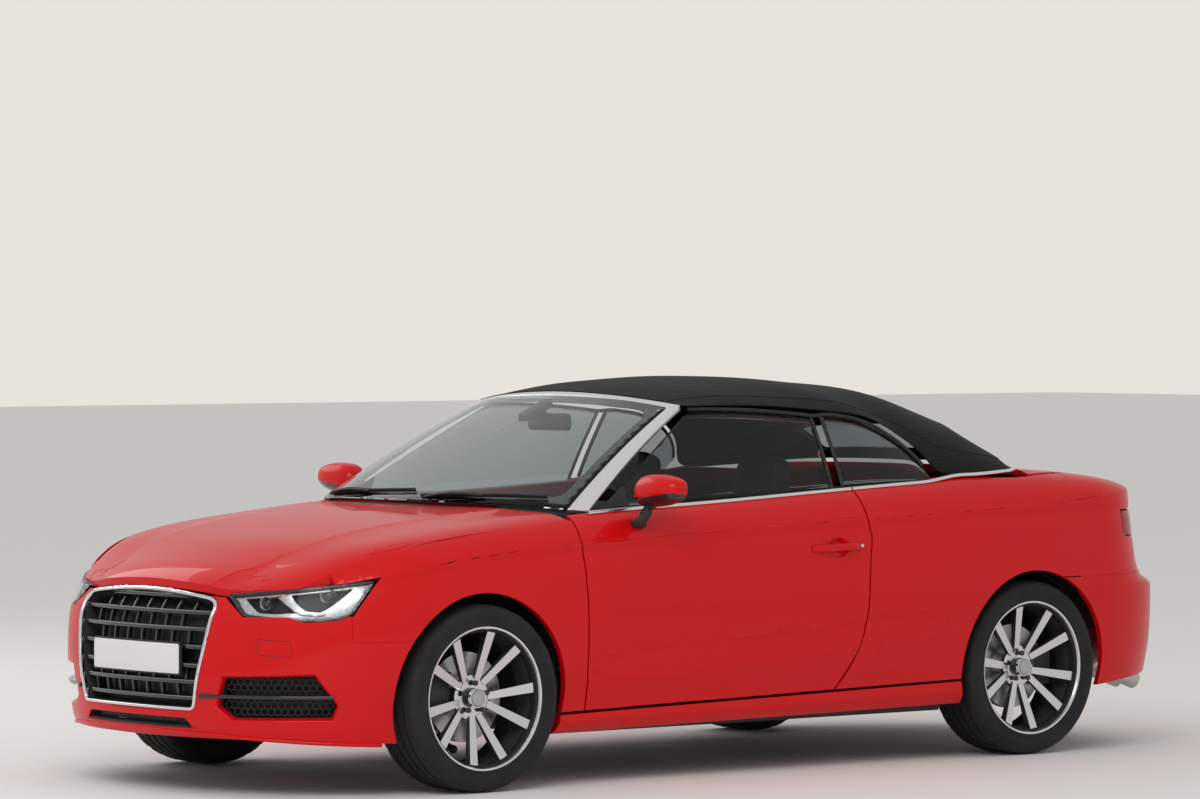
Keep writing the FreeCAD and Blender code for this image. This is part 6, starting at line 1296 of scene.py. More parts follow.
wheel = dict(
    sideWall=[(233, 0.80), (240, 0.86), (247, 0.905), (252, 0.965), (256, 0.968), (262, 0.955),
              (268, 0.962),
              (276, 0.985), (284, 0.9975), (286, 1.0), (289, 0.998), (296, 0.990), (304, 0.965),
              (311, 0.925), (316.5, 0.87), (320, 0.80), (321.6, 0.72)],
    grooves=(-0.52, -0.17, 0.17, 0.52), treadTop=322.9, treadFall=1.2, grooveFoot=316.0, grooveHalf=0.045,
    grooveFootHalf=0.036, bead=[(230, -90), (230, 90)], steps=160, slitEvery=5, slitFrom=316.2,
    slitShare=0.58, slitDepth=3.2, cutEvery=8, cutFirst=3, cutFrom=320.0, cutDepth=1.8,
    cap=[(0.4, 12), (20, 11.5), (28, 9), (30, 5), (30, -6), (0.4, -6)],
    capRing=[(30.4, 6), (34, 5), (34.6, 1), (34.6, -6), (30.4, -6)],
    bolt=[(0.4, 3.5), (6, 3.5), (7.5, 1), (9.5, 0), (9.5, -10), (0.4, -10)], boltCircle=51.0,
    lip=[(238, 99), (241, 105), (244, 106.5), (255.5, 106.8), (258, 105), (258, 99)],
    valve=[(0.4, 16), (3, 16), (3.4, 14), (3.4, 0), (0.4, 0)], valveRadius=218.0)


def tyreProfile():
    # bead, bulged side wall with a rim guard and a raised band, rounded shoulder, flat tread with grooves
    half = car["tyreWidth"] / 2
    tread = []
    for middle in wheel["grooves"][::-1]:
        top = wheel["treadTop"] - wheel["treadFall"] * middle ** 2
        foot, wide, narrow = (wheel[key] for key in ("grooveFoot", "grooveHalf", "grooveFootHalf"))
        tread += [(top, middle + wide), (foot, middle + narrow), (foot, middle - narrow),
                  (top, middle - wide)]
    side = [(r, share * half) for r, share in wheel["sideWall"]]
    tread = [(r, share * half) for r, share in tread]
    return side + tread + [(r, -w) for r, w in side[::-1]] + wheel["bead"]


def buildWheel(rides, place):
    # tyre with slits across its shoulder and tread blocks, then hub cap, bolts, rim lip and valve
    side = math.copysign(1, place[0])
    centre = np.array([place[0], place[1], car["tyreRadius"]])
    corner = rides[len("wheel_"):]
    profile = np.array(tyreProfile())
    count = wheel["steps"]
    turn = np.arange(count) * 2 * math.pi / count
    radius = np.broadcast_to(profile[:, 0], (count, len(profile))).copy()
    outer = np.abs(profile[:, 1]) > wheel["slitShare"] * car["tyreWidth"] / 2
    shoulder = (profile[:, 0] > wheel["slitFrom"]) & outer
    radius[np.ix_(np.arange(count) % wheel["slitEvery"] == 0, shoulder)] -= wheel["slitDepth"]
    blocks = (profile[:, 0] > wheel["cutFrom"]) & ~shoulder
    radius[np.ix_(np.arange(count) % wheel["cutEvery"] == wheel["cutFirst"], blocks)] -= wheel["cutDepth"]
    points = centre + np.stack([np.broadcast_to(profile[:, 1], radius.shape) * side,
                                np.cos(turn)[:, None] * radius, np.sin(turn)[:, None] * radius], -1)
    faces = gridFaces(count, len(profile), True, True).tolist()
    closedPiece("tyreTread_" + corner, points.reshape(-1, 3), faces, "tyreRubber", rides, sharp=32,
                replaces=["tyre_" + corner])
    parts = [("wheelCap_", "cap", 60.0, 0.0, 0.0, 40, "satinSilver"),
             ("wheelCapRing_", "capRing", 60.0, 0.0, 0.0, 40, "chrome")]
    for k in range(5):
        angle = 2 * math.pi * k / 5 + math.radians(90)
        parts.append(("wheelBolt%d_" % k, "bolt", 54.0, math.cos(angle) * wheel["boltCircle"],
                      math.sin(angle) * wheel["boltCircle"], 12, "darkSteel"))
    parts += [("rimLip_", "lip", 0.0, 0.0, 0.0, 96, "trimBright"),
              ("wheelValve_", "valve", 30.0, 0.0, wheel["valveRadius"], 12, "blackPlastic")]
    for name, section, out, y, z, steps, finish in parts:
        axis = (side, 0, 0.3 if section == "valve" else 0)
        revolved(name + corner, wheel[section], centre + np.array([side * out, y, z]), axis, steps, finish,
                 rides, "wheel_alloy")


buildGlasshouse()
buildSideWindows()
for word, side in sides:
    buildMirror(word, side)
    buildHandle(word, side)
for wheelBody, wheelPlace in wheelPlaces.items():
    buildWheel(wheelBody, wheelPlace)
print("mirrors, handles and wheels built")


# ---- nose: headlamps, grille, intakes
lamp = dict(corners=[(-2078, 406, 691), (-1744, 815, 742), (-1840, 797, 621), (-1886, 768, 604),
                     (-1965, 699, 599),
                     (-1999, 653, 599), (-2085, 507, 614)], rounds=[14, 26, 20, 16, 14, 14, 26],
            bandRounds=[6, 20, 14, 14, 10, 10, 16], bandLift=-14.0, wedgeLift=-9.0, backLift=-46.0,
            left=[(0.10, 0.80), (0.36, 0.80), (0.50, 0.20), (0.30, 0.16), (0.16, 0.22)],
            leftRounds=[8, 6, 10, 10, 8],
            right=[(0.42, 0.80), (0.86, 0.82), (0.72, 0.22), (0.60, 0.08), (0.50, 0.38)],
            rightRounds=[6, 8, 16, 14, 10],
            wedge=[(0.33, 0.74), (0.40, 0.80), (0.56, 0.22), (0.74, 0.12), (0.72, 0.02), (0.52, 0.06)],
            wedgeRounds=[5, 5, 8, 5, 5, 8], eyes=(("Main", 0.22, 0.50, 21.0), ("Outer", 0.66, 0.66, 24.0)),
            eyeWay=(0.32, -0.94, 0.0), eyeShare=0.62)


def noseU(x, z):
    # plane place on the nose of a half width, found by halving the turn
    low, high = np.zeros_like(x), np.full_like(x, math.pi / 2)
    for _ in range(30):
        middle = (low + high) / 2
        wide = noseAt(middle, z)[..., 0] > x
        low, high = np.where(wide, low, middle), np.where(wide, middle, high)
    return (low + high) / 2 * cornerReach


def onNose(places):
    # (half width, height) places to the nose's own plane
    x, z = np.asarray(places, float).T
    return np.stack([noseU(np.abs(x), z) * np.sign(x), z], 1)


def noseSide(side):
    # the nose skin, mirrored for the right side
    return lambda u, z: noseSkin(u, z) * np.array([side, 1, 1])


def lampLoop():
    # lamp outline on the nose, from its inner point along the top to the rear tip and back below
    turns = np.array([math.atan2(x / float(sideX(y, z)),
                                 max((frontRound - y) / float(frontRound - noseY(z)), 0.02))
                      for y, x, z in lamp["corners"]])
    return np.stack([turns * cornerReach, [z for y, x, z in lamp["corners"]]], 1)


def buildHeadlamp(word, side):
    # lens over a dark rim and back, with a pale band, a silver wedge and two turned lamp eyes inside
    skin, corners, outward = noseSide(side), lampLoop(), (side * 0.6, -1, 0)
    outline = resampled(roundedLoop(corners, lamp["rounds"]), 12)
    cutSheet("lampLens_" + word, skin, [insetLoop(outline, 3.0)], 13, 3.0, "clearLens", outward=outward,
             edge=1.0, lift=-0.4)
    cutSheet("lampRim_" + word, skin, [insetLoop(outline, 1.6), insetLoop(outline, 11.0)], 8, 14.0,
             "blackGloss", "body", "black_plastic", outward=outward, edge=0.6, lift=-3.8)
    cutSheet("lampBack_" + word, skin, [insetLoop(outline, 4.0)], 16, 4.0, "lampDark", outward=outward,
             lift=lamp["backLift"])

    def inLamp(places):
        # (share along, share up) between the inner point, rear tip, low rear corner and low front corner
        a, b, c, d = (np.array(corners[k], float) for k in (0, 1, 2, 6))
        return [mix(mix(d, c, along), mix(a, b, along), up) for along, up in places]

    band = insetLoop(resampled(roundedLoop(corners, lamp["bandRounds"]), 8), 12.0)
    left, right, wedge = (roundedLoop(inLamp(lamp[key]), lamp[key + "Rounds"])
                          for key in ("left", "right", "wedge"))
    cutSheet("lampBand_" + word, skin, [band, resampled(left, 8), resampled(right, 8)], 8, 10.0,
             "lampWhite", outward=outward, edge=1.4, lift=lamp["bandLift"])
    cutSheet("lampWedge_" + word, skin, [wedge], 8, 8.0, "satinSilver", outward=outward, edge=1.6,
             lift=lamp["wedgeLift"])
    way = np.array(lamp["eyeWay"]) * (side, 1, 1)
    for name, share, up, radius in lamp["eyes"]:
        u, z = inLamp([(share, up)])[0]
        spot = skin(np.array([u]), np.array([z]))[0] - way * 4.0
        small = radius * lamp["eyeShare"]
        bowl = [(small, -40), (radius * 0.80, -32), (radius, -18), (radius + 2, -17), (radius + 2, -44),
                (small, -44)]
        revolved("lampBowl%s_%s" % (name, word), bowl, spot, way, 40, "satinSilver")
        dome = [(max(small * math.cos(t), 0.3), -34 + radius * 0.42 * math.sin(t))
                for t in np.linspace(0, math.pi / 2, 9)]
        revolved("lampEye%s_%s" % (name, word), dome + [(0.3, -42), (small, -42)], spot, way, 36,
                 "lampGlassDark")
    if side > 0:
        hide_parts("headlamp_lenses")
        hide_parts("headlamp_housings")


grille = dict(bars=(330.0, 386.0, 442.0, 505.0, 566.0, 622.0, 674.0), topZ=676.0, topRise=24.0,
              topHalf=300.0, side=((352, 676), (382, 664), (396, 640), (388, 540), (330, 300), (316, 288)),
              sideRounds=[10, 16, 12, 60, 14, 10], wall=[(10.5, 2.0), (11.0, -20.0), (11.5, -62.0)],
              back=-62.0, barIn=30.0, postIn=46.0, postGap=86.0, postReach=0.869, postTurn=2.05)
plate = dict(half=262.0, low=405.8, high=519.8, front=-2188.5, bend=10.0, round=9.0)


def grilleLoop(inset):
    # half the grille's outline mirrored into one loop in the nose's plane, drawn in by the inset
    right = onNose(grille["side"])
    left = right[::-1] * (-1, 1)
    spots = np.linspace(-grille["topHalf"], grille["topHalf"], 9)
    heights = grille["topZ"] + grille["topRise"] * (1 - (spots / grille["side"][0][0]) ** 2)
    top = onNose([(max(abs(x), 1) * (1 if x >= 0 else -1), z) for x, z in zip(spots, heights)])
    rounds = [8] * 9 + grille["sideRounds"] + grille["sideRounds"][::-1]
    return insetLoop(resampled(roundedLoop(np.concatenate([top, right, left]), rounds, 5), 12), inset)


def buildGrille():
    # bright frame, dark wall and back, bars with painted highlight strips on their top front edges, posts
    # between them, and the blank plate
    forward = (0, -1, 0)
    cutSheet("grilleFrame", noseSkin, [grilleLoop(0.5), grilleLoop(11.5)], 7, 20.0, "chrome",
             replaces=["grille_frame"], outward=forward, edge=4.0, lift=7.0, sharp=60)
    cutSheet("grilleBack", noseSkin, [grilleLoop(10.0)], 30, 3.0, "lampDark", outward=forward,
             lift=grille["back"])
    ringPiece("grilleWall", noseSkin, grilleLoop(0.5), grille["wall"], "blackPlastic", forward)
    inside = grilleLoop(14.0)
    heights = np.array(grille["bars"])
    closed = np.concatenate([inside, inside[:1]])

    def reach(z):
        # widest place of the outline at a height
        spots = [mix(a[0], b[0], (z - a[1]) / (b[1] - a[1])) for a, b in zip(closed, closed[1:])
                 if (a[1] - z) * (b[1] - z) <= 0 and a[1] != b[1]]
        return max(spots) if spots else 0.0

    for k, z in enumerate(heights):
        half = reach(z) - 2.0
        u = np.linspace(-half, half, 44)
        path = noseSkin(u, np.full_like(u, z)) + np.array([0, grille["barIn"], 0])
        sweep("grilleBar%d" % k, path, roundedOutline(26, 15, 4, 4), (0, 0, 1), "grilleBlack")
        # painted highlight: a thin grey metal strip on each bar's top front edge, where the light catches it
        edge = path + np.array([0, -13.0, 5.0])
        sweep("grilleEdge%d" % k, edge, roundedOutline(1.6, 3.0, 0.7, 2), (0, 0, 1), "darkChrome")
    for k, (low, high) in enumerate(zip(heights, heights[1:])):
        for x in np.arange(-300, 301, grille["postGap"]) + (grille["postGap"] / 2 if k % 2 else 0):
            if abs(x) * grille["postReach"] > reach((low + high) / 2) - 14:
                continue
            z = np.linspace(low, high, 6)
            path = noseAt(np.full_like(z, x / car["width"] * grille["postTurn"]),
                          z) + np.array([0, grille["postIn"], 0])
            sweep("grillePost%d_%d" % (k, x), path, roundedOutline(9, 18, 2), forward, "grilleBlack")
    width, height = 2 * plate["half"], plate["high"] - plate["low"]
    middle = (plate["low"] + plate["high"]) / 2
    bend = lambda x: plate["bend"] * (x / plate["half"]) ** 2
    plateSkin = lambda u, v: np.stack([u, plate["front"] + 9.0 + bend(u), middle + v], -1)
    cutSheet("plateCarrier", plateSkin, [roundedOutline(width, height, plate["round"], 4)], 24, 10.0,
             "blackPlastic", outward=forward, edge=1.5, lift=2.0)
    cutSheet("plateBlank", plateSkin, [roundedOutline(width - 14, height - 12, 7, 4)], 24, 1.6,
             "plateWhite", outward=forward, edge=0.5, lift=4.2)
    rim = plateSkin(*roundedOutline(width - 20, height - 18, 6, 5).T) - np.array([0, 4.6, 0])
    sweep("plateRim", rim, ringOutline(1.3, 6), (0, 1, 0), "plateWhite", closed=True)
    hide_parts("grille_bars")


intake = dict(corners=[(444, 413), (728, 424), (754, 354), (766, 315), (750, 264), (473, 261), (410, 305)],
              rounds=[6, 7, 7, 7, 8, 7, 6], wall=[(9.0, -24.0), (9.5, -40.0), (10.0, -62.0)], back=-64.0,
              lip=[(-20.0, -1.2), (-1.5, 0.2), (1.0, -1.0), (5.0, -6.5), (8.0, -15.0), (9.0, -26.0)],
              cell=23.0, cellBar=4.0, cellDeep=8.0, cellLift=-34.0, blade=((350, 340), (757, 340)),
              slot=[(-336, 232), (336, 232), (276, 262), (-276, 262)], slotRounds=[8, 8, 10, 10],
              slotLip=[(-1.0, 0.2), (1.0, -1.5), (3.0, -12.0), (4.0, -30.0)], slotBack=-32.0)


def buildIntakes():
    # at each side a painted lip that turns in, a black tunnel, a mesh and a blade; between them the low slot
    for word, side in sides:
        skin, way = noseSide(side), (side * 0.5, -1, 0)
        outline = resampled(roundedLoop(onNose(intake["corners"]), intake["rounds"]), 10)
        ringPiece("intakeLip_" + word, skin, outline, intake["lip"], "redPaint", way)
        ringPiece("intakeWall_" + word, skin, outline, intake["wall"], "blackPlastic", way)
        cutSheet("intakeBack_" + word, skin, [insetLoop(outline, 7)], 24, 3.0, "lampDark", outward=way,
                 lift=intake["back"])
        honeycomb("intakeMesh_" + word, skin, insetLoop(outline, 9.5), intake["cell"], intake["cellBar"],
                  intake["cellDeep"], intake["cellLift"], way)
        lowU, highU = (onNose([end])[0][0] for end in intake["blade"])
        u = np.linspace(lowU + 4, highU - 8, 40)
        sunk = 14.0 - 12.0 * np.clip(1 - (u - u[0]) / 60.0, 0, 1)
        path = skin(u, np.linspace(342.0, 344.0, 40)) + np.array([0, 1.0, 0]) * sunk[:, None]
        sweep("intakeBlade_" + word, path, roundedOutline(30, 14, 5), (0, 0, 1), "blackGloss")
    centre = resampled(roundedLoop(onNose(intake["slot"]), intake["slotRounds"]), 12)
    ringPiece("slotLip", noseSkin, centre, intake["slotLip"], "blackPlastic", (0, -1, 0))
    cutSheet("slotBack", noseSkin, [insetLoop(centre, 3)], 24, 3.0, "lampDark", outward=(0, -1, 0),
             lift=intake["slotBack"])
    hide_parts("bumper_intakes")


def ringPiece(name, skin, outline, steps, finish, outward):
    # band round an outline: (inset, lift) steps on the skin, with a thin wall behind
    rows = []
    for wall in (0.0, 2.0):
        for inset, lift in (steps if wall == 0.0 else steps[::-1]):
            flat = insetLoop(outline, inset - wall)
            rows.append(skin(*flat.T) + skinUps(skin, flat, outward) * (lift - wall * 0.5))
    rows = np.array(rows)
    faces = gridFaces(rows.shape[0], rows.shape[1], True, True).tolist()
    return closedPiece(name, rows.reshape(-1, 3), faces, finish, sharp=60)


def honeycomb(name, skin, loop, pitch, bar, deep, lift, outward):
    # net of hexagons: short three-sided walls between neighbouring cells, kept inside the loop
    closed = [(a, b) for a, b in zip(loop, np.roll(loop, -1, 0))]
    low, high = loop.min(0), loop.max(0)
    side = pitch / math.sqrt(3)
    rows = int((high[1] - low[1]) / (1.5 * side)) + 3
    columns = int((high[0] - low[0]) / pitch) + 3
    row, column, k = np.meshgrid(np.arange(rows), np.arange(columns), np.arange(3), indexing="ij")
    centre = low + np.stack([(column + 0.5 * (row % 2)) * pitch, row * 1.5 * side], -1)
    starts, ends = ((centre + side * np.stack([np.sin(turn), np.cos(turn)], -1)).reshape(-1, 2)
                    for turn in (k * math.pi / 3, (k + 1) * math.pi / 3))
    inside = insideOf(starts, closed) & insideOf(ends, closed)
    starts, ends = starts[inside], ends[inside]
    half = unit(np.stack([-(ends - starts)[:, 1], (ends - starts)[:, 0]], 1)) * bar / 2
    corners = [starts - half, ends - half, ends + half, starts + half]
    rings = [skin(*flat.T) + skinUps(skin, flat, outward) * (lift + depth) for depth in (0.0, -deep)
             for flat in corners]
    count = len(starts)
    points = np.stack(rings, 1).reshape(-1, 3)
    box = np.array([(0, 1, 2, 3), (4, 7, 6, 5), (0, 4, 5, 1), (1, 5, 6, 2), (2, 6, 7, 3), (3, 7, 4, 0)])
    faces = (box[None] + 8 * np.arange(count)[:, None, None]).reshape(-1, 4)
    return closedPiece(name, points, faces.tolist(), "blackPlastic", sharp=30)


def coverLine(name, skin, places, width, outward):
    # thin dark closed line laid on the skin, as the edge of a small cover
    outline = roundedOutline(width, 0.5, 0.2, 1)
    return sweep(name, skin(*places.T), outline, skinUps(skin, places, outward), "lampDark", closed=True)


for word, side in sides:
    buildHeadlamp(word, side)
buildGrille()
buildIntakes()
print("lamps, grille and intakes built")


def tailSide(side):
    # the tail skin, mirrored for the right side
    return lambda u, z: tailSkin(side * u, z)


def pillow(count):
    # net of a cube with all six sides welded; every point lies between -1 and 1
    steps = np.linspace(-1, 1, count + 1)
    u, v = (part.ravel() for part in np.meshgrid(steps, steps, indexing="ij"))
    points, faces = [], []
    for axis in range(3):
        for end in (-1, 1):
            block = np.zeros((len(u), 3))
            block[:, axis], block[:, (axis + 1) % 3], block[:, (axis + 2) % 3] = end, u, v
            made = gridFaces(count + 1, count + 1)
            faces.append((made if end > 0 else made[:, ::-1]) + len(points) * len(u))
            points.append(block)
    places, back = np.unique(np.round(np.concatenate(points), 6), axis=0, return_inverse=True)
    return places, back.ravel()[np.concatenate(faces)]


def leaned(places, lean):
    # places turned back about the line across the car through the origin
    x, y, z = places.T
    turn, grip = math.cos(lean), math.sin(lean)
    return np.stack([x, y * turn + z * grip, z * turn - y * grip], 1)


def cushionPiece(name, middle, half, face, lean=0.0, pivot=(0, 0, 0), power=5.0, bolster=0.62,
                 rise=14.0, dip=12.0, seams=4, count=34):
    # superellipsoid (|x/a|^p + |y/b|^p + |z/c|^p) = 1, dished on its face side between raised bolsters with
    # stitched grooves; face says which side the sitter leans on
    cube, faces = pillow(count)
    spread = np.sum(np.abs(cube) ** power, 1) ** (-1 / power)
    unitPlaces = cube * spread[:, None]
    places = unitPlaces * half
    axis = 1 if face == "front" else 2
    way = -1.0 if face == "front" else 1.0
    over = softStep(0.25, 0.9, unitPlaces[:, axis] * way)
    wide, long = np.abs(unitPlaces[:, 0]), unitPlaces[:, 3 - axis]
    raised = rise * softStep(bolster, 0.84, wide) * (1 - softStep(0.9, 1.0, wide))
    sunk = dip * (1 - softStep(bolster - 0.25, bolster, wide)) * (1 - np.abs(long) ** 4)
    groove = 6.0 * np.exp(-((wide - bolster) / 0.028) ** 2)
    inside = 1 - softStep(bolster - 0.04, bolster, wide)
    phase = (long * seams / 2) % 1.0 - 0.5
    flutes = 4.0 * np.exp(-(phase / 0.07) ** 2) * inside
    places[:, axis] += way * over * (raised - sunk - groove - flutes)
    places = places + middle
    piece = closedPiece(name, leaned(places, lean) + pivot, faces.tolist(), "blackLeather", sharp=60)
    return piece


seat = dict(x=372.0, pivot=(79.0, 417.0), lean=math.radians(20.0), cushion=(243.0, 238.0, 68.0),
            back=(243.0, 63.0, 276.0),
            rest=(123.0, 48.0, 92.0), rod=48.0, rearX=288.0, rearCushion=(283.0, 226.0, 56.0),
            rearBack=(283.0, 62.0, 262.0))


def buildSeats():
    # padded cushions, backs and head rests on plastic bases; the front backs lean about their foot
    for word, side in sides:
        x = side * seat["x"]
        lean, pivot = seat["lean"], np.array([x, *seat["pivot"]])
        cushionPiece("seatCushion_" + word, (x, -31.0, 436.0), seat["cushion"], "top")
        cushionPiece("seatBack_" + word, (0, 66.0, 284.0), seat["back"], "front", lean, pivot, seams=7)
        cushionPiece("headRest_" + word, (0, 52.0, 666.0), seat["rest"], "front", lean, pivot,
                     power=4.0, rise=0.0, dip=5.0, seams=1, count=20)
        for k, end in enumerate((-1, 1)):
            rod = np.array([(end * seat["rod"], 52.0, z) for z in np.linspace(540, 600, 4)])
            rod = leaned(rod, lean) + pivot
            sweep("headRod%d_%s" % (k, word), rod, ringOutline(6.0, 12), (1, 0, 0), "satinSilver")
        sweep("seatBase_" + word, [(x, y, 290.0) for y in (-226.0, -60.0, 160.0)],
              roundedOutline(366, 168, 26, 5), (0, 0, 1), "cabinPlastic")
        cushionPiece("rearCushion_" + word, (side * seat["rearX"], 640.0, 426.0), seat["rearCushion"],
                     "top")
        cushionPiece("rearBack_" + word, (side * seat["rearX"], 934.0, 702.0), seat["rearBack"], "front",
                     seams=6)
    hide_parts("front_seats")
    sweep("rearSeatBase", [(0, y, 330.0) for y in (424.0, 700.0, 996.0)], roundedOutline(1120, 120, 20, 4),
          (0, 0, 1), "cabinPlastic", replaces=["rear_seat"])
    print("seats built")


def rearLamp(name, skin, corners, rides, outward):
    # dark back, two light bars and a red lens over them
    outline = resampled(roundedLoop(corners, 12), 12)
    low, high = outline.min(0), outline.max(0)
    cutSheet(name + "Lens", skin, [insetLoop(outline, 2.5)], 14, 3.0, "redLens", rides,
             outward=outward, edge=0.9, lift=-0.3)
    cutSheet(name + "Back", skin, [insetLoop(outline, 4.0)], 18, 3.0, "lampDark", rides,
             outward=outward, lift=-14.0)
    for k, share in enumerate((0.30, 0.68)):
        z = mix(low[1], high[1], share)
        bar = roundedLoop([(low[0] + 16, z - 9), (high[0] - 16, z - 9), (high[0] - 16, z + 9),
                           (low[0] + 16, z + 9)], 8)
        cutSheet("%sBar%d" % (name, k), skin, [bar], 10, 3.0, "lampRed" if k else "lampWhite", rides,
                 outward=outward, edge=1.0, lift=-7.0)


tail = dict(lampX=552.0, lampZ=835.0, lampTurn=math.radians(71.0), lampLow=775.0, lampOuterLow=805.0,
            lampHigh=896.0,
            lidLamp=[(309, 776), (530, 776), (530, 896), (309, 896)], plate=((-262, 684), (262, 802)),
            cornerTurns=(67.5, 48.8), corner=[(1498.5, 654.5), (1398.5, 654.5)],
            flap=(1290.0, 775.0), flapHalf=(88.0, 78.0), flapPower=0.7)


def buildTail():
    # rear lamps on corners and lid, blank plate, the bumper's corner behind the arch, the fuel flap's line
    turns = np.linspace(0.0, 1.5, 400)
    inner = tailAt(turns, np.full_like(turns, tail["lampZ"]))[:, 0]
    inner = float(np.interp(tail["lampX"], inner, turns)) * cornerReach
    outer, high = tail["lampTurn"] * cornerReach, tail["lampHigh"]
    corners = [(inner, tail["lampLow"]), (outer, tail["lampOuterLow"]), (outer - 4, high), (inner, high)]
    for word, side in sides:
        rearLamp("sideLamp_" + word, tailSide(side), corners, "body", (side * 0.7, 1, 0))
        rearLamp("lidLamp_" + word, lambda x, z, side=side: lidFaceSkin(side * x, z), tail["lidLamp"],
                 "boot_lid", (0, 1, 0))
    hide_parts("tail_lamps")
    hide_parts("boot_lamps")
    carrier = roundedLoop(rectangle(*tail["plate"]), 9)
    cutSheet("rearPlateCarrier", lidFaceSkin, [carrier], 24, 4.0, "blackPlastic", "boot_lid",
             outward=(0, 1, 0), edge=1.2, lift=3.6)
    cutSheet("rearPlateBlank", lidFaceSkin, [insetLoop(resampled(carrier, 14), 6)], 24, 1.4, "plateWhite",
             "boot_lid", outward=(0, 1, 0), edge=0.4, lift=5.4)
    turn, reach = np.radians(np.linspace(*tail["cornerTurns"], 9)), car["archRadius"]
    arc = np.stack([rearAxle + reach * np.cos(turn), car["tyreRadius"] + reach * np.sin(turn)], 1)
    filler = resampled(np.concatenate([arc, tail["corner"]]), 12)
    for word, side in sides:
        cutSheet("bumperCorner_" + word, sideSkinOf(side), [filler], 12, 16.0, "redPaint",
                 outward=(side, 0, 0), edge=1.2)
    turn = np.linspace(0, 2 * math.pi, 41)[:-1]
    flap = np.stack([middle + half * np.sign(way) * np.abs(way) ** tail["flapPower"] for middle, half,
                     way in
                     zip(tail["flap"], tail["flapHalf"], (np.cos(turn), np.sin(turn)))], 1)
    coverLine("fuelFlapLine", sideSkinOf(-1), flap, 3.0, (-1, 0, 0))
    print("rear built")


noseTrim = dict(lipMiddle=367.0, lipEnd=806.0, lipZ=211.0, lipArch=4.0, lipDrop=34.0, lipRun=450.0,
                lipPower=1.2, washer=[(567, 540), (667, 532), (671, 481), (571, 487)],
                wipers=((-585.0, 10.0), (75.0, 610.0)))


def buildNoseTrim():
    # painted splitter under the bumper, washer covers and wipers
    middle, end = noseTrim["lipMiddle"], noseTrim["lipEnd"]
    x = np.concatenate([np.linspace(-end, -middle, 26), np.linspace(-340, 340, 30),
                        np.linspace(middle, end, 26)])
    beyond = np.maximum(np.abs(x) - middle, 0) / noseTrim["lipRun"]
    z = np.where(np.abs(x) < middle, noseTrim["lipZ"] + noseTrim["lipArch"] * (1 - (x / middle) ** 2),
                 noseTrim["lipZ"] - noseTrim["lipDrop"] * beyond ** noseTrim["lipPower"])
    path = noseSkin(*onNose(list(zip(x, z))).T)
    sweep("splitterLip", path, roundedOutline(15, 13, 6, 4), (0, 0, 1), "redPaint")
    cover = resampled(roundedLoop(onNose(noseTrim["washer"]), 10), 8)
    for word, side in sides:
        coverLine("washerCover_" + word, noseSide(side), cover, 2.2, (side * 0.5, -1, 0))
    up, lift = (0, -0.5, 0.87), np.array([0, -0.5, 0.87])
    for k, (start, end) in enumerate(noseTrim["wipers"]):
        blade = screenSkin(np.linspace(start, end, 30), np.linspace(20.0, 52.0, 30))
        sweep("wiperBlade%d" % k, blade + lift * 8.0, roundedOutline(7, 14, 2), up, "blackPlastic")
        u = np.linspace(start + 30.0, mix(start, end, 0.55), 18)
        raised = 12.0 + 12.0 * np.sin(np.linspace(0, math.pi, 18))
        arm = screenSkin(u, np.linspace(6.0, 32.0, 18)) + lift * raised[:, None]
        sweep("wiperArm%d" % k, arm, roundedOutline(14, 6, 2), up, "blackPlastic")
    print("nose trim built")


buildSeats()
buildTail()
buildNoseTrim()


# ---- floor, light and camera
studio = dict(lens=169.25, place=(16.068, -13.252, 1.682), turn=50.71, dip=0.99,
              skyColour=(1.0, 0.985, 0.965),
              skyStrength=0.62, backColour=(0.80, 0.765, 0.72), floorColour=(0.88, 0.87, 0.86),
              keyPower=260.0, sidePower=110.0)


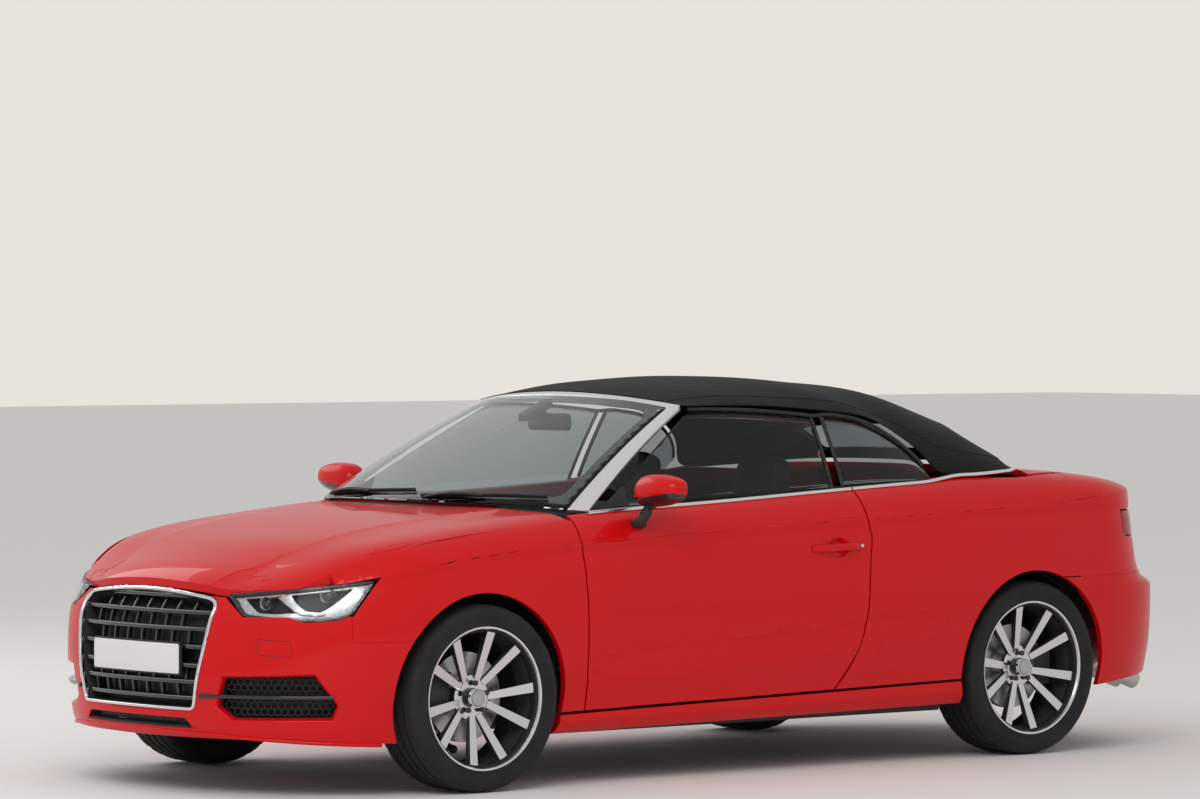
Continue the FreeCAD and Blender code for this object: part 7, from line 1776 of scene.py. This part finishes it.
def newLamp(name, place, target, size, power):
    # area lamp at a place, turned to its target
    data = bpy.data.lights.new(name, "AREA")
    data.shape, data.size, data.size_y, data.energy = "RECTANGLE", size[0], size[1], power
    lamp = bpy.data.objects.new(name, data)
    lamp.location = place
    lamp.rotation_euler = (Vector(target) - Vector(place)).to_track_quat("-Z", "Y").to_euler()
    bpy.context.scene.collection.objects.link(lamp)
    return lamp


def buildStudio():
    # sky, backdrop, floor, two lamps and the camera
    scene = bpy.context.scene
    scene.view_settings.view_transform = "Standard"
    world = bpy.data.worlds.new("studioSky")
    world.use_nodes = True
    scene.world = world
    light = world.node_tree.nodes["Background"]
    light.inputs["Color"].default_value = (*studio["skyColour"], 1)
    light.inputs["Strength"].default_value = studio["skyStrength"]
    # a plain pale backdrop where the camera looks past the car
    back = addNode(world, "ShaderNodeBackground", Color=(*studio["backColour"], 1), Strength=1.0)
    ways, either = addNode(world, "ShaderNodeLightPath"), addNode(world, "ShaderNodeMixShader")
    joinNodes(world, ways.outputs["Is Camera Ray"], either.inputs["Fac"])
    joinNodes(world, light.outputs["Background"], either.inputs[1])
    joinNodes(world, back.outputs["Background"], either.inputs[2])
    joinNodes(world, either.outputs["Shader"], world.node_tree.nodes["World Output"].inputs["Surface"])
    floorFinish = newFinish("floorFinish", studio["floorColour"], 0.75)
    grainOn(floorFinish, 3.0, roughRange=(0.7, 0.85))
    mesh = bpy.data.meshes.new("studioFloor")
    reach = 60.0
    mesh.from_pydata([(-reach, -reach, 0), (reach, -reach, 0), (reach, reach, 0), (-reach, reach, 0)], [],
                     [(0, 1, 2, 3)])
    mesh.materials.append(floorFinish)
    floor = bpy.data.objects.new("studioFloor", mesh)
    scene.collection.objects.link(floor)
    newLamp("keyLamp", (5.0, -7.0, 6.5), (0, 0, 0.5), (6.0, 4.0), studio["keyPower"])
    newLamp("sideLamp", (-7.0, -2.0, 5.0), (0, 0, 0.5), (5.0, 4.0), studio["sidePower"])
    data = bpy.data.cameras.new("photoCamera")
    data.lens, data.sensor_width = studio["lens"], 36.0
    data.clip_end = 500.0
    camera = bpy.data.objects.new("photoCamera", data)
    camera.location = studio["place"]
    camera.rotation_euler = (math.radians(90 - studio["dip"]), 0, math.radians(studio["turn"]))
    scene.collection.objects.link(camera)
    scene.camera = camera


buildStudio()
print("studio set")
